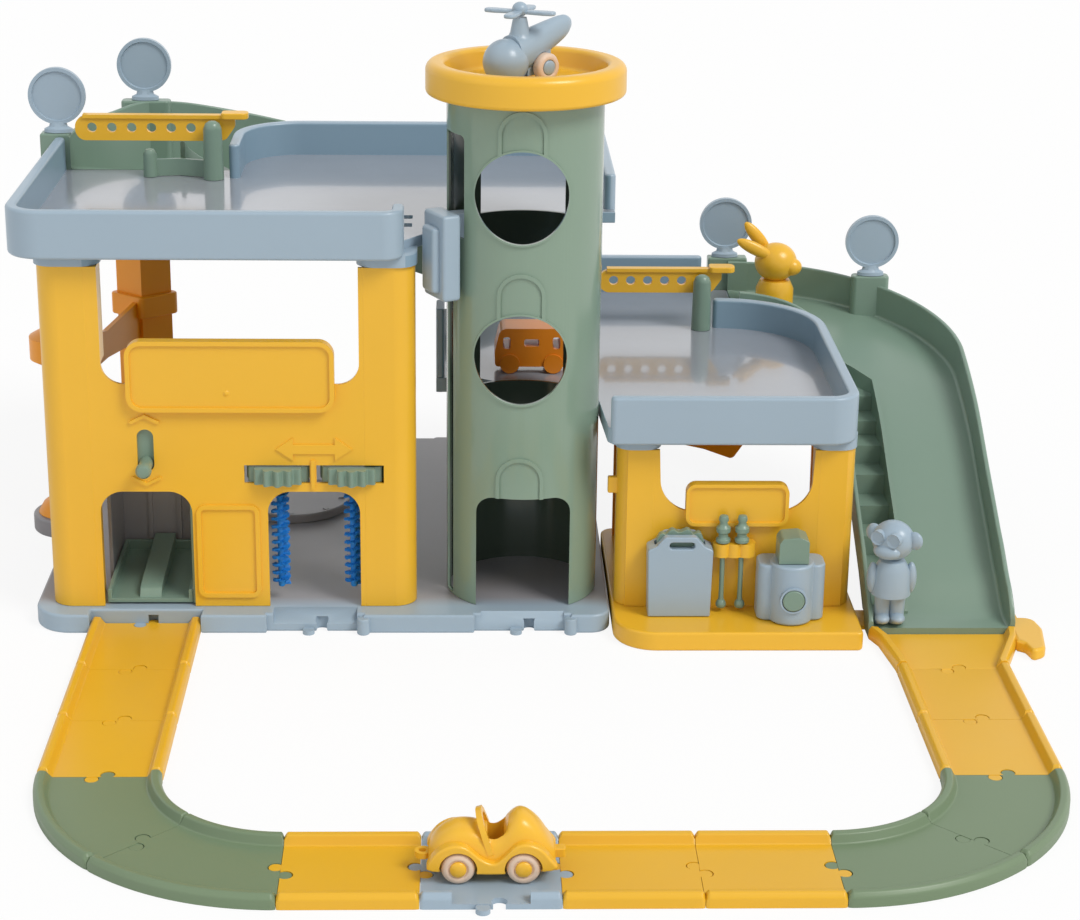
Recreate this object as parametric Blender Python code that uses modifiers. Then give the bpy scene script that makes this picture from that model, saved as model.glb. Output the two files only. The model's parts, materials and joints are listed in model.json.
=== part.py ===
"""Toy parking garage with a lift tower, a filling station, two curved ramps and a loop of clip-together road.

Lengths below are millimetres. The origin is on the floor under the lift tower's axis, X to the right,
Y to the back, Z up. Each piece is one closed solid, and touching pieces stand FIT apart.
The most skilful feature is the pair of ramps: one lofted section that turns, drops and changes its wall
heights along the way, with a flight of steps riding beside the lower one.
"""

import math

import bmesh
import bpy
from mathutils import Matrix, Vector

UNIT = 0.001
FIT = 0.3
MERGE = 0.000005
FLAT = 0.004
FULL_TURN = 360.0
QUARTER_TURN = 90.0
HALF_TURN = 180.0

# levels above the floor
BASE_TOP = 14.0
LOW_DECK_THICK = 11.0
HIGH_DECK_THICK = 8.0
LOW_RIM_RISE = 23.0
HIGH_RIM_RISE = 25.0
TOWER_HEAD = 70.0
SECOND_UNDER = 140.0
SECOND_FLOOR = SECOND_UNDER + LOW_DECK_THICK
SECOND_RIM = SECOND_FLOOR + LOW_RIM_RISE
TOP_UNDER = 270.0
TOP_FLOOR = TOP_UNDER + HIGH_DECK_THICK
TOP_RIM = TOP_FLOOR + HIGH_RIM_RISE
TOWER_TOP = TOP_RIM + TOWER_HEAD
COLLAR_DEPTH = 8.0
ON_BASE = BASE_TOP + FIT

# garage floor plate
BASE_X = (-344.0, 62.0)
BASE_Y = (-61.5, 326.0)
BASE_CORNER = 26.0
BASE_SOFT = 2.0
BASE_SKIN = 3.5
POCKETS = ((-338.0, -152.0, -36.0, 320.0), (-146.0, 55.0, 64.0, 320.0))
SOCKET_DEPTH = (11.4, 3.6, 3.6)
SOCKET_HALF = (39.0, 34.0, 34.0)
SOCKET_RUN = (0.0, 15.0, 8.0)
FOOT_LOBE = (-349.0, 150.0, 28.0)
FRONT_LOBE_R = 14.0
REAR_LUG = (-60.0, 326.0, 7.0)

# road pieces
ROAD_WIDTH = 77.4
ROAD_GRID = 80.0
ROAD_FLOOR = 3.5
RAIL_TOP = 9.6
RAIL_WIDTH = 9.0
ROAD_RADIUS = 119.1
ROAD_END_GAP = 0.15
NUB_OFFSET = -4.6
NUB_REACH = 2.9
NUB_RADIUS = 4.2
NUB_NECK = 2.9
NUB_PLAY = 0.4
CURVE_LEFT = (-146.2, -290.7)
CURVE_RIGHT = (173.8, -290.7)
CURVE_TURN = 45.0
SOCKETS = (CURVE_LEFT[0] - ROAD_RADIUS, CURVE_LEFT[0], 0.0)

# front wall
WALL_Y = -45.0
WALL_SKIN = 3.0
WALL_X = (-332.5, -75.1)
COLUMN_LEFT_IN = -290.2
COLUMN_RIGHT_IN = -113.8
TUBE_LEFT_IN = -298.6
TUBE_RIGHT_IN = -111.2
COLUMN_DEPTH = 33.0
COLUMN_ROUND = 14.0
TUBE_WALL = 2.6
SILL_Z = 178.7
SILL_ROUND = 15.0
ARCH_LEFT = (-295.0, -231.2)
ARCH_RIGHT = (-178.6, -114.2)
ARCH_TOP = 100.4
ARCH_ROUND = 16.0
BOARD_X = (-273.3, -130.7)
BOARD_Z = (160.0, 210.7)
BOARD_ROUND = 11.0
LEVER_X = -262.0
LEVER_Z = (115.0, 146.0)
LEVER_WIDTH = 11.5
WHEEL_SLOTS = ((-194.3, -146.4), (-140.8, -96.0))
WHEEL_SLOT_Z = (106.7, 120.0)
PANEL_X = (-220.0, -179.0)
PANEL_Z = (21.3, 90.7)
ARROW_X = (-186.0, -130.0)
ARROW_Z = (123.6, 140.4)
EMBOSS = 1.2

# wash wheels and brushes
WASH_X = (-170.9, -119.6)
WASH_Y = -33.0
WASH_WHEEL_R = 22.6
WASH_WHEEL_Z = (107.0, 118.4)
WASH_LOBES = 16
BRUSH_R = 6.6
BRUSH_CORE_R = 2.4
BRUSH_Z = (25.0, 99.0)
BRUSH_PITCH = 5.8
BRUSH_STRANDS = 14
BRUSH_SWAY = 0.35

# hoist behind the left arch
HOIST_X = (-293.6, -233.4)
HOIST_Y = (-41.2, 58.0)
HOIST_GUIDE_Y = 60.5

# turntable
TURN_AT = (-174.7, 163.0)
TURN_R = 43.5
TURN_TOP = 21.0

# upper deck
DECK_X = (-350.0, 66.0)
DECK_FRONT = -57.6
DECK_REAR = 244.5
DECK_GATE_Y = 180.0
DECK_GATE_X = -217.0
RIM_WIDTH = 8.0
RIM_SOFT = 2.2
RIM_DROP = 0.5

# lift tower
TOWER_R = 54.0
TOWER_WALL = 2.6
TOWER_STEPS = 32
WINDOW_X = -3.0
WINDOW_R = 31.8
LOW_WINDOW_RISE = 48.1
HIGH_WINDOW_RISE = 34.0
WINDOW_Z = (SECOND_FLOOR + LOW_WINDOW_RISE, TOP_FLOOR + HIGH_WINDOW_RISE)
DOOR_HALF = 33.0
DOOR_TOP = 98.0
DOOR_ROUND = 13.0
SLOT_ANGLE = 198.0
GRIP_ANGLE = 208.0
SLOT_HALF = 6.0
HANDLE_DROP = 32.5
HANDLE_LENGTH = 60.0
HANDLE_Z = (TOP_UNDER - HANDLE_DROP, TOP_UNDER - HANDLE_DROP + HANDLE_LENGTH)
LIFT_DROP = 33.0
LIFT_THICK = 3.5
LIFT_PLAY = 3.0
LIFT_Z = (TOP_UNDER - LIFT_DROP, TOP_UNDER - LIFT_DROP + LIFT_THICK)
LIFT_R = TOWER_R - TOWER_WALL - LIFT_PLAY
PAD_OVERHANG = 14.4
PAD_DEPTH = 22.7
PAD_R = TOWER_R + PAD_OVERHANG
PAD_Z = (TOWER_TOP + FIT, TOWER_TOP + FIT + PAD_DEPTH)

# lower deck and station
LOW_X = (57.5, 228.5)
LOW_FRONT = -58.0
LOW_LEFT = -62.0
LOW_REAR = 306.0
LANE_REAR = 338.0
LANE_X = 16.0
LOW_GATE = 176.0
STATION_X = (63.6, 237.0)
STATION_Y = (-93.0, 112.0)
STATION_WALL_X = (65.7, 236.4)
STATION_IN = (95.0, 204.0)
STATION_SILL = 86.0
STATION_BOARD_X = (114.0, 186.3)
STATION_BOARD_Z = (76.7, 108.0)
NOZZLE_X = (140.4, 153.6)
NOZZLE_Y = -54.2

# ramps
RAMP_WALL = 3.5
RAMP_SKIN = 3.0
HIGH_RAMP_HALF = 45.0
HIGH_RAMP_R = 109.5
HIGH_RAMP_CENTRE = (-188.5, 183.0)
LOW_RAMP_HALF = 47.0
LOW_RAMP_R = 104.0
LOW_RAMP_CENTRE = (186.8, 155.0)
LOW_RAMP_END = -70.5
STEP_BAND = 24.0

# brightness of the moulded colours, linear
YELLOW = (0.84, 0.44, 0.05, 1.0)
TOWER_GREEN = (0.30, 0.40, 0.32, 1.0)
RAMP_GREEN = (0.23, 0.33, 0.25, 1.0)
ROAD_GREEN = (0.17, 0.28, 0.17, 1.0)
BLUE_GREY = (0.33, 0.43, 0.51, 1.0)
CREAM = (0.76, 0.60, 0.48, 1.0)
BRUSH_BLUE = (0.0, 0.10, 0.35, 1.0)

for leftover in list(bpy.data.objects):
    bpy.data.objects.remove(leftover)
GARAGE = bpy.data.collections.new("toy_parking_garage")
bpy.context.scene.collection.children.link(GARAGE)
MATERIALS = {}


def material(name, colour, roughness=0.35):
    """One plain moulded plastic."""
    made = bpy.data.materials.new(name)
    made.use_nodes = True
    shader = made.node_tree.nodes["Principled BSDF"]
    shader.inputs["Base Color"].default_value = colour
    shader.inputs["Roughness"].default_value = roughness
    made.diffuse_color = colour
    return made


for label, tint in (
    ("yellow", YELLOW),
    ("tower_green", TOWER_GREEN),
    ("ramp_green", RAMP_GREEN),
    ("road_green", ROAD_GREEN),
    ("blue_grey", BLUE_GREY),
    ("cream", CREAM),
    ("brush_blue", BRUSH_BLUE),
):
    MATERIALS[label] = material(label, tint)


def tidy(mesh):
    """Merges doubles and turns every face outward."""
    work = bmesh.new()
    work.from_mesh(mesh)
    bmesh.ops.remove_doubles(work, verts=work.verts, dist=MERGE)
    bmesh.ops.recalc_face_normals(work, faces=work.faces)
    work.to_mesh(mesh)
    work.free()
    return mesh


def as_object(mesh):
    made = bpy.data.objects.new("piece", mesh)
    GARAGE.objects.link(made)
    return made


def solid(points, faces):
    """A mesh object from corners in millimetres."""
    mesh = bpy.data.meshes.new("piece")
    mesh.from_pydata([(x * UNIT, y * UNIT, z * UNIT) for x, y, z in points], [], faces)
    return as_object(tidy(mesh))


def settle(obj):
    """Turns an object's modifiers into plain mesh."""
    bpy.context.view_layer.update()
    graph = bpy.context.evaluated_depsgraph_get()
    mesh = bpy.data.meshes.new_from_object(obj.evaluated_get(graph), depsgraph=graph)
    obj.modifiers.clear()
    obj.data = mesh
    return obj


def measure(mesh):
    """The volume of a mesh, or None where an edge hasn't exactly two faces."""
    work = bmesh.new()
    work.from_mesh(mesh)
    bmesh.ops.remove_doubles(work, verts=work.verts, dist=MERGE)
    closed = all(len(edge.link_faces) == 2 for edge in work.edges)
    volume = work.calc_volume() if closed else None
    work.free()
    return volume


def sound(volume, before, tools, operation):
    """True where the result is closed and its volume is one that the operation can give."""
    if volume is None:
        return False
    slack = MERGE * before ** (2 / 3)
    if operation == "UNION":
        return max(before, *tools) - slack <= volume <= before + sum(tools) + slack
    if operation == "DIFFERENCE":
        return before - sum(tools) - slack <= volume <= before + slack
    return volume <= before + slack


def boolean(obj, tools, operation):
    """Joins or cuts with the exact solver, and with the manifold one where the exact result isn't sound."""
    before = obj.data
    volume = measure(before) or 0.0
    sizes = [measure(tool.data) or 0.0 for tool in tools]
    for solver in ("EXACT", "MANIFOLD"):
        obj.data = before
        for tool in tools:
            step = obj.modifiers.new("shape", "BOOLEAN")
            step.operation = operation
            step.solver = solver
            step.object = tool
        settle(obj)
        if sound(measure(obj.data), volume, sizes, operation):
            break
    for tool in tools:
        bpy.data.objects.remove(tool)
    return obj


def cut(obj, *tools):
    return boolean(obj, tools, "DIFFERENCE")


def join(obj, *tools):
    return boolean(obj, tools, "UNION")


def meet(obj, *tools):
    return boolean(obj, tools, "INTERSECT")


def moved(obj, matrix):
    obj.data.transform(matrix)
    return obj


def shift(x, y, z):
    return Matrix.Translation((x * UNIT, y * UNIT, z * UNIT))


def turn(angle, axis="Z", about=(0.0, 0.0, 0.0)):
    """Rotation by degrees about an axis through a point."""
    spot = shift(*about)
    return spot @ Matrix.Rotation(math.radians(angle), 4, axis) @ spot.inverted()


def bevelled(obj, width, segments=2, angle=30.0):
    step = obj.modifiers.new("soft", "BEVEL")
    step.width = width * UNIT
    step.segments = segments
    step.limit_method = "ANGLE"
    step.angle_limit = math.radians(angle)
    return settle(obj)


def box(x, y, z, soft=0.0, segments=1):
    """A block between the given (low, high) pairs."""
    corners = [(a, b, c) for a in x for b in y for c in z]
    faces = [(0, 1, 3, 2), (4, 6, 7, 5), (0, 4, 5, 1), (2, 3, 7, 6), (0, 2, 6, 4), (1, 5, 7, 3)]
    made = solid(corners, faces)
    return bevelled(made, soft, segments) if soft else made


def circle(x, y, radius, count=24, start=0.0):
    angles = [math.radians(start + FULL_TURN * k / count) for k in range(count)]
    return [(x + radius * math.cos(a), y + radius * math.sin(a)) for a in angles]


def arc(x, y, radius, start, end, count):
    angles = [math.radians(start + (end - start) * k / count) for k in range(count + 1)]
    return [(x + radius * math.cos(a), y + radius * math.sin(a)) for a in angles]


def rounded(corners, count=3):
    """A polygon from (x, y, radius) corners."""
    ring = []
    for i, (x, y, radius) in enumerate(corners):
        if radius <= 0:
            ring.append((x, y))
            continue
        here = Vector((x, y))
        back = (Vector(corners[i - 1][:2]) - here).normalized()
        ahead = (Vector(corners[(i + 1) % len(corners)][:2]) - here).normalized()
        half = back.angle(ahead) / 2
        centre = here + (back + ahead).normalized() * (radius / math.sin(half))
        first = here + back * (radius / math.tan(half)) - centre
        last = here + ahead * (radius / math.tan(half)) - centre
        begin = math.degrees(math.atan2(first.y, first.x))
        sweep = (math.degrees(math.atan2(last.y, last.x)) - begin + HALF_TURN) % FULL_TURN - HALF_TURN
        ring += arc(centre.x, centre.y, radius, begin, begin + sweep, count)
    return ring


def rect(x, y, radius=0.0, count=3):
    return rounded([(x[0], y[0], radius), (x[1], y[0], radius), (x[1], y[1], radius), (x[0], y[1], radius)], count)


def band(path, half, round_ends=True):
    """The outline of a strip that follows a path of (x, y) points."""
    left, right = [], []
    for i, (x, y) in enumerate(path):
        before = Vector(path[max(i - 1, 0)])
        after = Vector(path[min(i + 1, len(path) - 1)])
        here = Vector((x, y))
        first = (here - before).normalized() if i else (after - here).normalized()
        second = (after - here).normalized() if i < len(path) - 1 else first
        way = (first + second).normalized()
        side = Vector((-way.y, way.x)) * (half / max(way.dot(first), 0.35))
        left.append(tuple(here + side))
        right.append(tuple(here - side))
    if not round_ends:
        return left + right[::-1]
    end, start = Vector(path[-1]), Vector(path[0])
    out = (end - Vector(path[-2])).normalized()
    away = (start - Vector(path[1])).normalized()
    heading = math.degrees(math.atan2(out.y, out.x))
    behind = math.degrees(math.atan2(away.y, away.x))
    cap = arc(end.x, end.y, half, heading + QUARTER_TURN, heading - QUARTER_TURN, 4)[1:-1]
    tail = arc(start.x, start.y, half, behind + QUARTER_TURN, behind - QUARTER_TURN, 4)[1:-1]
    return left + cap + right[::-1] + tail


def slab(outline, low, high, soft=0.0, holes=(), upright=False, steps=1):
    """An outline filled and extruded between two levels, its edges softened. Upright ones stand in XZ."""
    curve = bpy.data.curves.new("outline", "CURVE")
    curve.dimensions = "2D"
    curve.fill_mode = "BOTH"
    for ring in (outline, *holes):
        spline = curve.splines.new("POLY")
        spline.points.add(len(ring) - 1)
        for point, (x, y) in zip(spline.points, ring):
            point.co = (x * UNIT, y * UNIT, 0.0, 1.0)
        spline.use_cyclic_u = True
    curve.extrude = ((high - low) / 2 - soft) * UNIT
    curve.bevel_depth = soft * UNIT
    curve.bevel_resolution = steps - 1
    curve.offset = -soft * UNIT
    drawn = bpy.data.objects.new("outline", curve)
    GARAGE.objects.link(drawn)
    bpy.context.view_layer.update()
    graph = bpy.context.evaluated_depsgraph_get()
    mesh = bpy.data.meshes.new_from_object(drawn.evaluated_get(graph), depsgraph=graph)
    bpy.data.objects.remove(drawn)
    middle = (low + high) / 2
    if upright:
        mesh.transform(shift(0.0, middle, 0.0) @ Matrix.Rotation(math.radians(QUARTER_TURN), 4, "X"))
    else:
        mesh.transform(shift(0.0, 0.0, middle))
    return as_object(tidy(mesh))


def turned(profile, steps, at=(0.0, 0.0, 0.0), closed=False, axis="Z"):
    """A profile of (radius, height) points turned round an axis through a point."""
    mesh = bpy.data.meshes.new("profile")
    count = len(profile)
    edges = [(i, i + 1) for i in range(count - 1)] + ([(count - 1, 0)] if closed else [])
    mesh.from_pydata([(r * UNIT, 0.0, z * UNIT) for r, z in profile], edges, [])
    made = as_object(mesh)
    screw = made.modifiers.new("turn", "SCREW")
    screw.steps = steps
    screw.render_steps = steps
    screw.use_merge_vertices = True
    screw.merge_threshold = UNIT / 100
    settle(made)
    tidy(made.data)
    tip = {"Z": 0.0, "X": QUARTER_TURN, "Y": -QUARTER_TURN}[axis]
    lay = Matrix.Rotation(math.radians(tip), 4, {"Z": "Z", "X": "Y", "Y": "X"}[axis])
    return moved(made, shift(*at) @ lay)


def loft(rings, closed=False):
    """A solid through rings of the same number of corners, its two ends filled."""
    size, count = len(rings[0]), len(rings)
    points = [p for ring in rings for p in ring]
    faces = []
    for i in range(count if closed else count - 1):
        j = (i + 1) % count
        for k in range(size):
            m = (k + 1) % size
            faces.append((i * size + k, i * size + m, j * size + m, j * size + k))
    if not closed:
        faces.append(tuple(range(size))[::-1])
        faces.append(tuple((count - 1) * size + k for k in range(size)))
    return solid(points, faces)


def node(name, obj, colour, origin=(0.0, 0.0, 0.0), smooth=28.0):
    """Names the finished piece, gives it its plastic and puts its origin on its axis."""
    obj.name = name
    mesh = obj.data
    mesh.name = name
    before = measure(mesh)
    for reach, level in ((2 * MERGE, True), (MERGE, True), (MERGE / 4, True), (MERGE, False), (MERGE / 4, False)):
        work = bmesh.new()
        work.from_mesh(mesh)
        bmesh.ops.remove_doubles(work, verts=work.verts, dist=reach)
        bmesh.ops.dissolve_degenerate(work, edges=work.edges, dist=reach)
        if level:
            bmesh.ops.dissolve_limit(work, angle_limit=FLAT, verts=work.verts, edges=work.edges)
            bmesh.ops.dissolve_degenerate(work, edges=work.edges, dist=reach)
        bmesh.ops.triangulate(work, faces=work.faces)
        cleaned = bpy.data.meshes.new(name)
        work.to_mesh(cleaned)
        work.free()
        after = measure(cleaned)
        if after is not None and before is not None and abs(after - before) <= before * FLAT:
            break
    obj.data = cleaned
    mesh = cleaned
    mesh.materials.clear()
    mesh.materials.append(MATERIALS[colour])
    for face in mesh.polygons:
        face.use_smooth = True
        face.material_index = 0
    mesh.set_sharp_from_angle(angle=math.radians(smooth))
    place = shift(*origin)
    mesh.transform(place.inverted())
    obj.matrix_world = place
    return obj


def twin(name, source, matrix, colour):
    """A further copy of a piece, sharing its mesh."""
    made = bpy.data.objects.new(name, source.data)
    GARAGE.objects.link(made)
    made.matrix_world = matrix
    if colour:
        made.data = source.data.copy()
        made.data.materials.clear()
        made.data.materials.append(MATERIALS[colour])
    return made


def lobe(reach, radius, neck, back=3.0, count=5):
    """Outline of a puzzle nub that points along +X from the origin."""
    lean = math.degrees(math.asin(neck / radius))
    return [(-back, -neck), *arc(reach, 0.0, radius, -HALF_TURN + lean, HALF_TURN - lean, count), (-back, neck)]


def placed(outline, x, y, angle, side=0.0):
    """An outline turned by degrees, set at a point and shifted sideways."""
    c, s = math.cos(math.radians(angle)), math.sin(math.radians(angle))
    return [(x + c * u - s * (v + side), y + s * u + c * (v + side)) for u, v in outline]


def road_end(x, y, angle):
    """The nub and the notch cutter of one road end that faces the given way."""
    nub = slab(placed(lobe(NUB_REACH, NUB_RADIUS, NUB_NECK), x, y, angle, NUB_OFFSET), 0.0, ROAD_FLOOR - FIT)
    play = NUB_PLAY
    shape = lobe(NUB_REACH, NUB_RADIUS + play, NUB_NECK + play)
    notch = slab(placed(shape, x, y, angle + HALF_TURN, NUB_OFFSET), -ROAD_FLOOR, RAIL_TOP)
    return nub, notch


# road section, offset from the centre line and height
RAIL = (
    (1.0, 0.0),
    (1.0, 0.68),
    (0.945, 1.0),
    (0.835, 0.96),
    (0.765, 0.36),
)


def road_section():
    half = ROAD_WIDTH / 2
    right = [(share * half, rise * RAIL_TOP) for share, rise in RAIL]
    right[-1] = (right[-1][0], ROAD_FLOOR)
    return right + [(-u, v) for u, v in right[::-1]]


def straight_road(length):
    """A straight piece along +X from the origin."""
    section = road_section()
    gap = ROAD_END_GAP
    rings = [[(x, u, v) for u, v in section] for x in (gap, length - gap)]
    made = loft(rings)
    nub_a, notch_a = road_end(length - gap, 0.0, 0.0)
    nub_b, notch_b = road_end(gap, 0.0, HALF_TURN)
    join(made, nub_a, nub_b)
    return cut(made, notch_a, notch_b)


def curved_road():
    """A curve about the origin that starts on +X and turns counterclockwise."""
    section = road_section()
    slip = math.degrees(ROAD_END_GAP / ROAD_RADIUS)
    rings = []
    steps = 4
    for k in range(steps + 1):
        a = math.radians(slip + (CURVE_TURN - 2 * slip) * k / steps)
        rings.append([((ROAD_RADIUS + u) * math.cos(a), (ROAD_RADIUS + u) * math.sin(a), v) for u, v in section])
    made = loft(rings)
    far = math.radians(CURVE_TURN - slip)
    near = math.radians(slip)
    x, y = ROAD_RADIUS * math.cos(far), ROAD_RADIUS * math.sin(far)
    nub_a, notch_a = road_end(x, y, QUARTER_TURN + CURVE_TURN)
    x, y = ROAD_RADIUS * math.cos(near), ROAD_RADIUS * math.sin(near)
    nub_b, notch_b = road_end(x, y, -QUARTER_TURN)
    join(made, nub_a, nub_b)
    return cut(made, notch_a, notch_b)


def build_roads():
    run_y = CURVE_LEFT[1] - ROAD_RADIUS
    straight = node("road_straight_1", straight_road(ROAD_GRID), "yellow")
    straight.matrix_world = shift(CURVE_LEFT[0], run_y, 0.0)
    for k, name in ((2, "road_straight_2"), (3, "road_straight_3")):
        twin(name, straight, shift(CURVE_LEFT[0] + ROAD_GRID * k, run_y, 0.0), None)
    up = Matrix.Rotation(math.radians(QUARTER_TURN), 4, "Z")
    for k in range(3):
        spot = shift(CURVE_LEFT[0] - ROAD_RADIUS, CURVE_LEFT[1] + ROAD_GRID * k, 0.0)
        twin(f"road_left_{k + 1}", straight, spot @ up, None)
    for k in range(2):
        spot = shift(CURVE_RIGHT[0] + ROAD_RADIUS, CURVE_RIGHT[1] + ROAD_GRID * k, 0.0)
        twin(f"road_right_{k + 1}", straight, spot @ up, None)
    curve = node("road_curve_1", curved_road(), "road_green")
    curve.matrix_world = shift(*CURVE_LEFT, 0.0) @ Matrix.Rotation(math.radians(HALF_TURN), 4, "Z")
    for name, centre, k in (
        ("road_curve_2", CURVE_LEFT, 5),
        ("road_curve_3", CURVE_RIGHT, 6),
        ("road_curve_4", CURVE_RIGHT, 7),
    ):
        twist = Matrix.Rotation(math.radians(CURVE_TURN * k), 4, "Z")
        twin(name, curve, shift(*centre, 0.0) @ twist, None)
    crossing = straight_road(ROAD_GRID)
    mid, edge = ROAD_GRID / 2, -ROAD_WIDTH / 2
    opening = ROAD_GRID - 4 * RAIL_WIDTH
    cut(crossing, box((mid - opening / 2, mid + opening / 2), (edge - RAIL_WIDTH, edge + 1.5 * RAIL_WIDTH), (ROAD_FLOOR, 2 * RAIL_TOP)))
    cut(crossing, box((mid - opening / 2, mid + opening / 2), (-edge - 1.5 * RAIL_WIDTH, -edge + RAIL_WIDTH), (ROAD_FLOOR, 2 * RAIL_TOP)))
    nub, notch = road_end(mid, edge, -QUARTER_TURN)
    join(crossing, nub)
    cut(crossing, notch)
    node("road_crossing", crossing, "blue_grey")
    crossing.matrix_world = shift(CURVE_LEFT[0] + ROAD_GRID, run_y, 0.0)


def build_base():
    left, right = BASE_X
    front, rear = BASE_Y
    outline = [(left, front, BASE_CORNER)]
    for x, depth, half in zip(SOCKETS, SOCKET_DEPTH, SOCKET_HALF):
        outline += [(x - half, front, 0.0), (x - half, front + depth, 0.0)]
        outline += [(x + half, front + depth, 0.0), (x + half, front, 0.0)]
    outline += [(right, front, FRONT_LOBE_R), (right, rear, BASE_CORNER), (left, rear, BASE_CORNER)]
    base = slab(rounded(outline, 4), 0.0, BASE_TOP, BASE_SOFT)
    lobe_x, lobe_y, lobe_r = FOOT_LOBE
    lug_x, lug_y, lug_r = REAR_LUG
    extra = [
        slab(circle(lobe_x, lobe_y, lobe_r, 16), 0.0, BASE_TOP, BASE_SOFT),
        slab(rect((lug_x - lug_r, lug_x + lug_r), (lug_y - lug_r, lug_y + lug_r), lug_r / 2), 0.0, BASE_TOP - BASE_SOFT),
    ]
    join(base, *extra)
    for x0, x1, y0, y1 in POCKETS:
        cut(base, slab(rect((x0, x1), (y0, y1), BASE_CORNER / 2), -BASE_TOP, BASE_TOP - BASE_SKIN))
    for x, depth, run, half in zip(SOCKETS, SOCKET_DEPTH, SOCKET_RUN, SOCKET_HALF):
        edge = front + depth
        nub, notch = road_end(x, edge, -QUARTER_TURN)
        if run:
            half -= RAIL_WIDTH / 2
            over = 2 * BASE_TOP
            drop = (BASE_TOP - ROAD_FLOOR) / run
            ring = [(front - over, ROAD_FLOOR), (front, ROAD_FLOOR)]
            ring += [(front + over, ROAD_FLOOR + over * drop), (front - over, ROAD_FLOOR + over * drop)]
            wedge = [[(x + side, y, z) for y, z in ring] for side in (-half, half)]
            cut(base, loft(wedge))
            lug = slab(circle(x + half + RAIL_WIDTH / 2, front, RAIL_WIDTH / 2, 8), 0.0, BASE_TOP - BASE_SOFT, 1.0)
            join(base, lug)
        join(base, nub)
        cut(base, notch)
    node("garage_base", base, "blue_grey")


def build_turntable():
    x, y = TURN_AT
    low, high = ON_BASE, TURN_TOP
    rim = RIM_WIDTH / 3
    profile = [
        (0.0, low),
        (TURN_R, low),
        (TURN_R, high - 0.8),
        (TURN_R - 0.8, high),
        (TURN_R - rim, high),
        (TURN_R - rim - 0.6, high - EMBOSS),
        (0.0, high - EMBOSS),
    ]
    disc = turned(profile, 26, (x, y, 0.0))
    marks = []
    count = 8
    for k in range(count):
        inner, outer = TURN_R - 3.4 * rim, TURN_R - 1.7 * rim
        mark = box((inner, outer), (-EMBOSS, EMBOSS), (high - 2 * EMBOSS, high - EMBOSS / 3))
        marks.append(moved(mark, shift(x, y, 0.0) @ Matrix.Rotation(math.radians(FULL_TURN * k / count), 4, "Z")))
    join(disc, *marks)
    node("turntable", disc, "blue_grey", (x, y, low))


def chevron(x, z, width, rise):
    """An embossed arrow head; a negative rise points down."""
    path = [(x - width / 2, z), (x, z + rise), (x + width / 2, z)]
    return slab(band(path, EMBOSS / 2 + FIT, False), WALL_Y - EMBOSS, WALL_Y + EMBOSS, upright=True)


def frame_ring(x, z, radius, thick, front, rear):
    inner = rect((x[0] + thick, x[1] - thick), (z[0] + thick, z[1] - thick), max(radius - thick, 1.0))
    return slab(rect(x, z, radius), front, rear, 0.0, (inner,), upright=True)


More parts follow.
